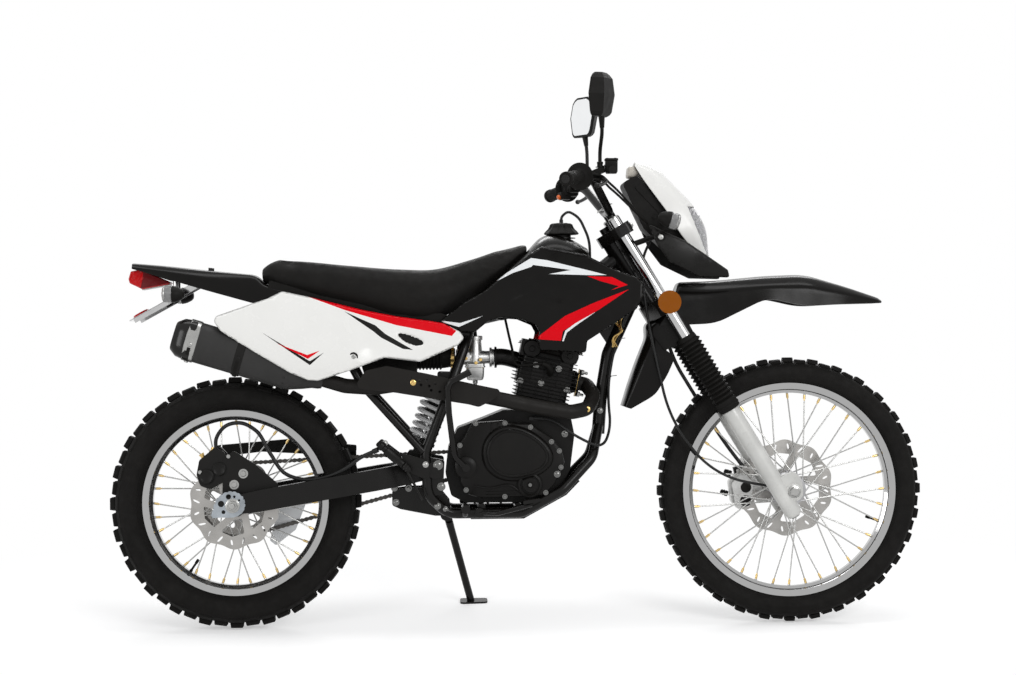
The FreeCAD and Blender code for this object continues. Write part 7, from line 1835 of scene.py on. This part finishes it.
def grip_pair():
    form = Form()
    start = along_bar(284)
    length = (along_bar(396) - start).length
    profile = [(0, 12), (0, 33), (2, 35), (4.5, 34), (6, 22), (10, 17)]
    for k in range(int((length - 30) / 6)):
        low = 13 + 6 * k
        profile += [(low, 15), (low + 0.8, 16.7), (low + 4, 16.7), (low + 4.8, 15)]
    profile += [(length - back, r) for back, r in
                ((13, 16), (11, 18), (2, 18), (0, 16.5), (0, 4.6), (5, 4), (5, 0.5))]
    form.lathe(profile, start, BAR_WAY, 40).both()
    form.place("ribbed_grips", "steering", black_rubber, "grips", sharp=35)


def bar_box(form, low, high, fore, up, corner=8):
    """A clamped housing round the bar, with the seam between its halves."""
    middle = (low + high) / 2
    steps = ((low, 0.84), (low + 2, 0.97), (middle - 0.8, 1), (middle - 0.5, 0.94),
             (middle + 0.5, 0.94), (middle + 0.8, 1), (high - 2, 0.97), (high, 0.84))
    ring = box_ring(fore, up, corner)
    form.loft([[along_bar(y, u * s, v * s) for u, v in ring] for y, s in steps])


def lever_and_perch(form):
    perch = along_bar(PERCH_Y)
    root = perch + vec(34, 0, -8)
    bar_box(form, PERCH_Y - 9, PERCH_Y + 9, 18, 17, 9)
    form.block(perch + vec(25, 0, -6), vec(14, 0, -2), LEFT * 8, SKY * 9, 0.86)
    form.block(perch + vec(34, 2, 10), vec(24, 0, 10), LEFT * 9, vec(-3, 0, 8), 0.9)
    for up in (-8.4, 8.4):
        form.hexagon(along_bar(PERCH_Y, -17, up), -BAR_FORE, 4, 3)
    form.paint = 1
    form.lathe([(-13, 2), (-13, 6.5), (-9, 6.5), (-9, 5), (9, 5), (9, 6.5), (13, 6.5), (13, 2)],
               root, SKY, 16)
    line = smooth_line([root + Vector(p) for p in LEVER], 5)
    form.tube(line, lambda share: 6.6 - 2.2 * share ** 0.6, 12)
    form.lathe([(-6, 2), (-4.6, 5), (-1, 6.8), (3, 6.2), (6, 3.4), (7, 0.5)],
               line[-1], line[-1] - line[-3], 16)
    form.paint = 0


def clutch_side():
    form = Form()
    bar_box(form, 256, 282, 21, 24)
    lever_and_perch(form)
    form.block(along_bar(269, -16, -22), BAR_FORE * 16, BAR_WAY * 12, BAR_UP * -10, 0.8)
    form.paint = 2
    form.lathe([(0, 7), (5, 7), (7, 5), (7.4, 0.5)], along_bar(272, -30, -24), -BAR_FORE - BAR_UP * 0.5, 16)
    form.paint = 1
    form.lathe([(0, 4), (4, 4), (5, 2)], along_bar(263, -20, 8), -BAR_FORE, 12)
    form.place("clutch_lever_and_switches", "steering", [black_plastic, caliper_black, switch_orange],
               "hand_controls", bevel=0.8)


def brake_side():
    """Built on the left like the clutch's, with its master cylinder, and then mirrored."""
    form = Form()
    bar_box(form, 256, 282, 21, 24)
    lever_and_perch(form)
    middle = along_bar(PERCH_Y) + vec(66, 9, 23)
    half = vec(16, 19, 19)
    ring = box_ring(half.x, half.y, 6)
    steps = ((-half.z, 0.8), (-half.z + 5, 0.94), (half.z - 7, 0.96), (half.z - 6.6, 0.9),
             (half.z - 6, 0.9), (half.z - 5.6, 1.04), (half.z - 1, 1.04), (half.z, 0.98))
    form.loft([[middle + vec(u * s, v * s, z) for u, v in ring] for z, s in steps])
    form.lathe([(0, 8), (22, 8), (24, 10), (30, 10)], middle + vec(0, 17, -12), LEFT, 20)
    form.paint = 1
    for u in (-10, 10):
        form.lathe([(0, 3.4), (1.6, 3), (1.6, 0.4)], middle + vec(u, 0, half.z), SKY, 10)
    form.paint = 2
    form.lathe([(0, 6.5), (1.5, 6.5), (2.4, 5), (2.4, 0.5)], middle - vec(half.x, 0, 2), -FORE, 20)
    form.paint = 0
    for lift in (-6, 6):
        route = [along_bar(262, 18, lift), along_bar(250, 40, lift - 6), along_bar(210, 54, lift - 30),
                 steer(96, FORK_LENGTH - 20, 90)]
        form.tube(smooth_line(route, 6), 3.2, 10)
    for v in form.mesh.verts:
        v.co.y = -v.co.y
    bmesh.ops.reverse_faces(form.mesh, faces=form.mesh.faces)
    form.place("brake_lever_and_throttle", "steering", [black_plastic, caliper_black, smoked_lens],
               "hand_controls", bevel=0.8)


grip_pair()
clutch_side()
brake_side()

# Mirrors: a faceted shell, the glass in its rim, and a stem with its boot and nut
MIRROR_LOW, MIRROR_HIGH = front(-513, 956, 330), front(-509, 1066, 330)
MIRROR_TURN = math.radians(27)
MIRROR_HALF = 62
# (share of the height, width, depth)
MIRROR_STATIONS = [(0.0, 0.6, 0.5), (0.04, 0.72, 0.7), (0.1, 0.8, 0.84), (0.5, 1.0, 1.0),
                   (0.86, 0.82, 0.84), (0.95, 0.64, 0.6), (1.0, 0.42, 0.4)]


def mirror_pair():
    across = vec(-math.sin(MIRROR_TURN), math.cos(MIRROR_TURN), 0)
    back = vec(-math.cos(MIRROR_TURN), -math.sin(MIRROR_TURN), 0)
    span = MIRROR_HIGH - MIRROR_LOW
    form = Form()
    rings, left_rim, right_rim = [], [], []
    for way, wide, deep in MIRROR_STATIONS:
        middle = MIRROR_LOW + span * way
        edge = across * MIRROR_HALF * wide
        crease, shell = edge * 0.55, back * -26 * deep
        rings.append([middle + edge + back * 5, middle - edge + back * 5, middle - edge,
                      middle - crease + shell, middle + crease + shell, middle + edge])
        left_rim.append(middle + edge)
        right_rim.insert(0, middle - edge)
    form.loft(rings)
    foot = along_bar(PERCH_Y) + vec(38, 2, 18)
    neck = MIRROR_LOW + span * 0.14 - back * 5
    stem = smooth_line([foot, foot + SKY * 36, foot.lerp(neck, 0.64) + vec(3, -4, 0), neck], 6)
    form.tube(stem, 4.8, 12)
    form.tube(stem[-9:], lambda share: 6 + 3.5 * share, 12)
    form.hexagon(foot + SKY * 2, SKY, 8, 9)
    form.lathe([(11, 8), (15, 8), (17, 6)], foot, SKY, 16)
    form.paint = 1
    centre = MIRROR_LOW + span * 0.52
    form.prism([centre + (p - centre) * 0.9 + back * 5.6 for p in left_rim + right_rim], back * 0.6)
    form.both()
    form.place("mirrors_faceted", "steering", [black_plastic, mirror_glass], "mirrors", bevel=1.6, sharp=20)


mirror_pair()


# Dials, indicators and lamps
def dials():
    form = Form()
    form.cut(front, [(-436, 806), (-400, 826), (-300, 740), (-262, 690), (-262, 640), (-330, 640),
                     (-380, 686)], 14, 4, -58, 58)
    for side in SIDES:
        form.rod(steer(YOKE_OFFSET, FORK_LENGTH - 43, side * LEG_Y), front(-310, 680, side * 50), 7)
        form.cut(front, [(-404, 794), (-388, 804), (-318, 738), (-334, 720)], 6, 3, side * 56, side * 61)
        form.hexagon(front(-352, 716, side * 60), LEFT * side, 5, 4)
    form.place("dial_housing", "steering", black_plastic, "instrument_panel", bevel=2.0, sharp=30)
    form = Form()
    top = line_of(front, [(-420, 822), (-417, 850), (-402, 852), (-386, 832), (-400, 822)])
    form.swollen(top, 6, [(-38, 0.62), (-36, 0.86), (-30, 1), (30, 1), (36, 0.86), (38, 0.62)])
    form.place("dial_cover", "steering", dial_beige, "instrument_panel", sharp=50)


def indicators(name, on, centre, aim, reach_in, node):
    form = Form()
    form.lathe([(-32, 3), (-31, 8), (-26, 13.5), (-16, 18.5), (-8, 21), (-1, 22), (0, 22), (0.6, 21),
                (0.6, 12)], centre, aim, 32)
    form.rod(vec(centre.x, reach_in, centre.z), centre, 6)
    for k in range(3):
        form.lathe([(-2, 6), (-1.4, 8), (1.4, 8), (2, 6)],
                   vec(centre.x, reach_in + 10 + 7 * k, centre.z), LEFT, 16)
    form.paint = 1
    form.lathe([(-1, 14), (0.7, 20.6), (2, 21.6), (18, 21.4), (22, 20), (24.6, 15), (26, 8), (26.4, 0.5)],
               centre, aim, 32)
    form.paint = 2
    form.lathe([(19, 21.2), (20.5, 21.8), (22, 20.6)], centre, aim, 32, ends=False)
    form.lathe([(2, 11), (8, 12), (14, 9), (15, 0.5)], centre, aim, 20)
    form.both()
    form.place(name, on, [black_plastic, smoked_lens, bright_steel], node, bevel=0.5, sharp=35)


def tail_lamp():
    form = Form()
    outline = line_of(body, [(-272, 914), (-266, 934), (-242, 938), (-156, 902), (-236, 887), (-269, 903)])
    form.swollen(outline, 5, [(-42, 0.72), (-40, 0.92), (-36, 1), (36, 1), (40, 0.92), (42, 0.72)])
    for k in range(5):
        low, high = body(-268 + 6 * k, 911 - 3 * k), body(-262 + 8 * k, 932 - 3 * k)
        form.block((low + high) / 2, (high - low) * 0.42, LEFT * 42.6, FORE * 1.2)
    form.paint = 1
    form.slab(line_of(body, [(-240, 934), (-236, 946), (-170, 944), (-162, 908)]), -30, 30)
    form.paint = 2
    form.slab(line_of(body, [(-240, 889), (-232, 933), (-162, 903)]), -42.5, 42.5)
    form.paint = 3
    rim, root = body(-238, 886.5), body(-166, 898.5)
    form.block((rim + root) / 2, (root - rim) / 2, LEFT * 30, SKY * 1.4)
    form.place("tail_lamp_ribbed", "chassis", [red_lens, black_plastic, dark_red_lens, bright_steel],
               "tail_lamp", bevel=0.8, sharp=30)


def plate_holder():
    top, foot = body(-146, 872), body(-268, 806)
    back = (foot - top).normalized()
    normal = vec(-back.z, 0, back.x)
    length = (foot - top).length
    form = Form()
    sheet = smoothed([(-70, 0), (70, 0), (70, length), (-70, length)], 12, 5)
    form.prism([top + LEFT * u + back * v for u, v in sheet], normal * 2.5)
    bar = body(-150, 872)
    form.rod(bar - LEFT * 76, bar + LEFT * 76, 6)
    for side in SIDES:
        post = bar + LEFT * side * 34
        form.rod(post, post + SKY * 66, 6)
        form.hexagon(top + back * 22 + LEFT * side * 44 - normal * 0.5, -normal, 6, 4)
    form.paint = 1
    form.lathe([(0, 22), (6, 22), (8, 20), (8, 0.5)], foot - back * 30, -normal, 32)
    form.paint = 0
    for side in SIDES:
        form.block((top + foot) / 2 + LEFT * side * 68.8 + normal * 7, back * (length / 2 - 12),
                   normal * 6.5, LEFT * 1.2)
        form.block(top - back * 20 + LEFT * side * 46 + normal * 2, back * 34, normal * 9, LEFT * 1.2)
    form.paint = 2
    form.block(top + back * 30 + normal * 9, back * 12, LEFT * 20, normal * 7, 0.8)
    form.place("plate_holder_chrome", "chassis", [chrome_tube, red_lens, black_plastic], "plate_bracket",
               bevel=0.5)


dials()
indicators("rear_indicator_pair", "chassis", body(-150, 872, 132), -FORE, 77, "rear_indicators")
indicators("front_indicator_pair", "steering", front(-322, 704, 170), vec(1, 0, -0.3), 59,
           "front_indicators")
tail_lamp()
plate_holder()

# Fuel cap: a lobed grip over a skirt, in steps of (height, radius, depth of the lobes)
CAP_SEAT = body(858, 1012)
CAP_STEPS = [(-9, 25, 0), (8, 25, 0), (9, 40, 0), (10, 44, 0.02), (13, 44.5, 0.03), (18, 40, 0.05),
             (24, 33, 0.08), (30, 29, 0.1), (36, 27, 0.1), (39, 23, 0.08), (40, 16, 0.03), (40.4, 5, 0)]
LOBES = 8
form = Form()
form.loft([[CAP_SEAT + vec(math.cos(a), math.sin(a), 0) * radius * (1 + lobe * math.cos(LOBES * a))
            + SKY * z for a in turns(72)] for z, radius, lobe in CAP_STEPS])
form.place("fuel_cap_lobed", "chassis", black_plastic, "tank_cap", bevel=0.6)
form = Form()
form.lathe([(-1, 26), (1.2, 26), (1.8, 31), (1.2, 37), (-1, 37)], CAP_SEAT, SKY, 48)
form.place("fuel_neck_ring", "chassis", frame_paint, sharp=30)

# Rear brake: master cylinder on its plate, pushrod and hose
MASTER_Y = -142.3
MASTER_PLATE = [(366, 482), (384, 498), (430, 462), (506, 440), (506, 388), (440, 416)]
REAR_HOSE = [(-44, 462, -84), (-44, 500, -85), (-20, 532, -87), (22, 540, -96), (60, 520, -103),
             (96, 462, -108), (134, 410, -110), (180, 394, -109), (240, 400, -107), (290, 422, -113),
             (330, 450, -128), (374, 470, -140)]


def rear_brake_line():
    top, foot = body(378, 484, MASTER_Y), body(440, 430, MASTER_Y)
    way = (foot - top).normalized()
    length = (foot - top).length
    form = Form()
    form.lathe([(0, 9), (3, 12), (12, 12), (14, 9.5), (22, 9.5), (24, 13), (length - 20, 13),
                (length - 16, 10), (length - 3, 10), (length, 7)], top, way, 28)
    form.rod(foot, body(488, 340, MASTER_Y), 3.4)
    form.lathe([(0, 9), (4, 11), (8, 9), (12, 10.4), (16, 8), (20, 8.6), (24, 5)], foot, way, 24)
    form.cut(body, MASTER_PLATE, 7, 4, MASTER_Y + 15.5, MASTER_Y + 10)
    form.paint = 1
    for x, z in ((392, 486), (428, 446), (496, 430)):
        form.hexagon(body(x, z, MASTER_Y + 10), -LEFT, 5.5, 4)
    form.place("rear_master_cylinder", "chassis", [caliper_black, bright_steel], "rear_brake_line",
               bevel=0.5)
    form = Form()
    line = smooth_line(route_of(body, REAR_HOSE), 6)
    form.tube(line, 5, 12)
    for end, other in ((line[0], line[1]), (line[-1], line[-2])):
        form.lathe([(0, 7), (14, 7), (15, 5.4)], end, other - end, 12)
    form.place("rear_brake_hose", "chassis", cable_black, "rear_brake_line", sharp=40)


rear_brake_line()

# The headlamp shell's and the side panels' bolts in their washers
form = Form()
for side in SIDES:
    at = front(-343, 662, 131 * side)
    form.paint = 0
    form.lathe([(0, 13), (2.4, 13), (3, 10), (1.6, 9), (1.6, 0.5)], at, LEFT * side, 28)
    form.paint = 1
    form.lathe([(1.6, 7), (4, 7), (5, 5), (5, 3), (3.6, 2.6), (3.6, 0.5)], at, LEFT * side, 20)
form.place("shell_bolts", "steering", [black_plastic, bright_steel], bevel=0.3)
form = Form()
for side in SIDES:
    at = body(314, 708, 163 * side)
    form.paint = 1
    form.lathe([(-4, 12), (1.2, 12), (2, 10.5), (2, 8), (1, 7.6), (1, 0.5)], at, LEFT * side, 32)
    form.paint = 0
    form.lathe([(1, 6.4), (3, 6.4), (4, 5), (4, 3), (3, 2.6), (3, 0.5)], at, LEFT * side, 6)
form.place("panel_bolts", "chassis", [bright_steel, black_plastic], bevel=0.3)

# Cables and hoses that the machine holds all the way, in easy bends: (x, z, y), and for the front
# hose (ahead of the steering axis, up along it, y)
CABLE_R, HOSE_R = 3.6, 5
CAP_HOSE = [(858, 1068, 0), (876, 1084, 0), (906, 1066, 0), (932, 1008, 0), (933, 960, 0)]
CLUTCH_CABLE = [(1020, 800, -28), (984, 690, -27), (974, 600, -27), (982, 515, -30), (956, 462, -74),
                (880, 500, -86), (826, 541, -84), (776, 545, -84)]
SPEED_CABLE = [(-352, 676, -40), (-390, 600, -56), (-379, 478, -76), (-352, 340, -80),
               (-318, 190, -74), (-205, 40, -58), (-8, 2, -58)]
FRONT_HOSE = [(-6, 84, 74), (-17, 200, 92), (-17, 440, 92), (5, 525, 92), (5, 590, 92)]


def ferrule(form, line, end, radius, length=14):
    """A pressed sleeve at the start (0) or the end (-1) of a line."""
    way = line[1] - line[0] if end == 0 else line[-2] - line[-1]
    form.lathe([(0, radius), (length, radius), (length + 1.5, radius * 0.75)], line[end], way, 14)


def chassis_cables():
    form = Form()
    line = eased([CAP_SEAT + SKY * 40.3] + route_of(body, CAP_HOSE), 4)
    form.tube(line, CABLE_R, 12)
    ferrule(form, line, 0, 5, 8)
    line = eased(route_of(body, CLUTCH_CABLE), 5)
    form.tube(line, CABLE_R, 12)
    ferrule(form, line, 0, 5.4, 20)
    ferrule(form, line, -1, 5, 26)
    form.block(line[-1] - SKY * 2, FORE * 10, LEFT * 3, SKY * 4)
    for share in (0.1, 0.28):
        i = int(share * len(line))
        form.lathe([(-2, 3), (-2, 5), (2, 5), (2, 3)], line[i], line[i + 1] - line[i], 14)
        form.block(line[i] + vec(10, 0, 1), vec(9, 0, 1), LEFT * 1.4, SKY * 0.8)
    form.place("tank_hose_and_clutch_cable", "chassis", cable_black, "control_cables", sharp=40)


def steering_cables():
    form = Form()
    line = eased(route_of(front, SPEED_CABLE), 6)
    form.tube(line, CABLE_R, 12)
    ferrule(form, line, -1, 6, 22)
    form.lathe([(-8, 12), (-8, 20), (-5, 24), (5, 24), (8, 20), (8, 12)],
               FRONT_AXLE - LEFT * 57.5, LEFT, 36)
    hose = eased(route_of(steer, FRONT_HOSE), 6)
    form.tube(hose, HOSE_R, 12)
    ferrule(form, hose, 0, 7.4)
    ferrule(form, hose, -1, 7.4)
    form.place("speed_cable_and_brake_hose", "steering", cable_black, "steering_cables", sharp=40)


def wire_bundle():
    form = Form()
    for k, a in enumerate(turns(6)):
        shift = vec(3 * math.cos(a), 3 * math.sin(a), 0)
        wire = [(1016, 812, -34), (1004 - 3 * k, 790, -40 + 2 * k), (1010 + 2 * k, 768, -44),
                (994 - 2 * k, 752, -40), (984 + 3 * k, 726, -34)]
        form.tube(eased([p + shift for p in route_of(body, wire)], 4), 1.5, 8)
    form.place("wire_bundle", "chassis", brass, sharp=40)


chassis_cables()
steering_cables()
wire_bundle()
form = Form()
for side in SIDES:
    for up in (FORK_LENGTH, FORK_LENGTH - YOKE_DROP):
        form.hexagon(steer(58, up, side * (LEG_Y - 4)), AHEAD, 6, 5)
    form.lathe([(0, 15), (3, 15), (6, 12), (6, 6), (3, 5), (3, 0.5)],
               steer(YOKE_OFFSET, FORK_LENGTH + 36, side * LEG_Y), UP, 24)
    for ahead in (16, 44):
        form.hexagon(steer(ahead, FORK_LENGTH + 72, side * 38), UP, 5, 4)
form.place("yoke_bolts", "steering", bright_steel, bevel=0.3)

# Stage: a floor that is white but for the machine's shadow, and a white world round it
WHITE = (1, 1, 1, 1)
PALE = (0.76, 0.76, 0.76)
SHADOW_REACH = (1.9, 0.9)             # half axes of the shadowed patch, in metres
FLOOR_HALF = 30.0


def seen_rays(tree):
    """1 for rays that show the background: to the camera, in a reflection or through glass."""
    rays = tree.nodes.new("ShaderNodeLightPath")
    total = rays.outputs["Is Camera Ray"]
    for name in ("Is Glossy Ray", "Is Transmission Ray"):
        more = tree.nodes.new("ShaderNodeMath")
        more.operation = "MAXIMUM"
        tree.links.new(total, more.inputs[0])
        tree.links.new(rays.outputs[name], more.inputs[1])
        total = more.outputs[0]
    return total


def plain_stage():
    f = Finish("pale_floor")
    f.set(color=f.mix(f.spread(f.noise(3), 0, 1), PALE, shade(PALE, 0.995)), roughness=0.9, specular=0.0)
    matt = f.shader.outputs[0]
    glow = f.node("ShaderNodeEmission", Strength=0.45, Color=WHITE).outputs[0]
    shown = f.node("ShaderNodeEmission", Strength=1.0, Color=WHITE).outputs[0]
    lit = f.node("ShaderNodeAddShader", [(0, matt), (1, glow)]).outputs[0]
    near = f.node("ShaderNodeMixShader", [(0, seen_rays(f.tree)), (1, matt), (2, lit)]).outputs[0]
    patch = f.stretched(1 / SHADOW_REACH[0], 1 / SHADOW_REACH[1], 0)
    reach = f.node("ShaderNodeVectorMath", [(0, patch)], operation="LENGTH").outputs["Value"]
    mix = f.node("ShaderNodeMixShader", [(0, f.spread(reach, 0.0, 1.0, 0.5, 1.0)), (1, near), (2, shown)])
    f.tree.links.new(mix.outputs[0], f.tree.nodes["Material Output"].inputs["Surface"])
    mesh = bpy.data.meshes.new("floor")
    mesh.from_pydata([(x * FLOOR_HALF, y * FLOOR_HALF, 0) for x, y in CORNERS], [], [(0, 1, 2, 3)])
    mesh.materials.append(f.material)
    link_in(bpy.data.objects.new("floor", mesh))


def studio_world():
    world = bpy.data.worlds.new("studio")
    world.use_nodes = True
    tree = world.node_tree
    light = tree.nodes["Background"]
    light.inputs["Color"].default_value = (0.97, 0.98, 1.0, 1)
    light.inputs["Strength"].default_value = 0.34
    shown = tree.nodes.new("ShaderNodeBackground")
    shown.inputs["Color"].default_value = WHITE
    mix = tree.nodes.new("ShaderNodeMixShader")
    for i, source in enumerate((seen_rays(tree), light.outputs[0], shown.outputs[0])):
        tree.links.new(source, mix.inputs[i])
    tree.links.new(mix.outputs[0], tree.nodes["World Output"].inputs["Surface"])
    bpy.context.scene.world = world


def softbox(name, place, aim, width, height, watts):
    data = bpy.data.lights.new(name, "AREA")
    data.shape = "RECTANGLE"
    data.size, data.size_y = width, height
    data.energy = watts
    lamp = link_in(bpy.data.objects.new(name, data))
    lamp.location = place
    lamp.rotation_euler = (Vector(aim) - Vector(place)).to_track_quat("-Z", "Y").to_euler()


plain_stage()
studio_world()
softbox("key", (1.9, -3.4, 2.6), (0, 0, 0.6), 2.0, 1.4, 66)
softbox("overhead", (0.0, 0.0, 4.0), (0, 0, 0.6), 4.2, 0.9, 52)
softbox("fill", (-3.0, -2.8, 1.6), (0, 0, 0.6), 1.0, 1.8, 30)
softbox("rim", (0.4, 3.2, 2.6), (0, 0, 0.7), 3.0, 0.8, 42)

bpy.context.scene.view_settings.view_transform = "Standard"
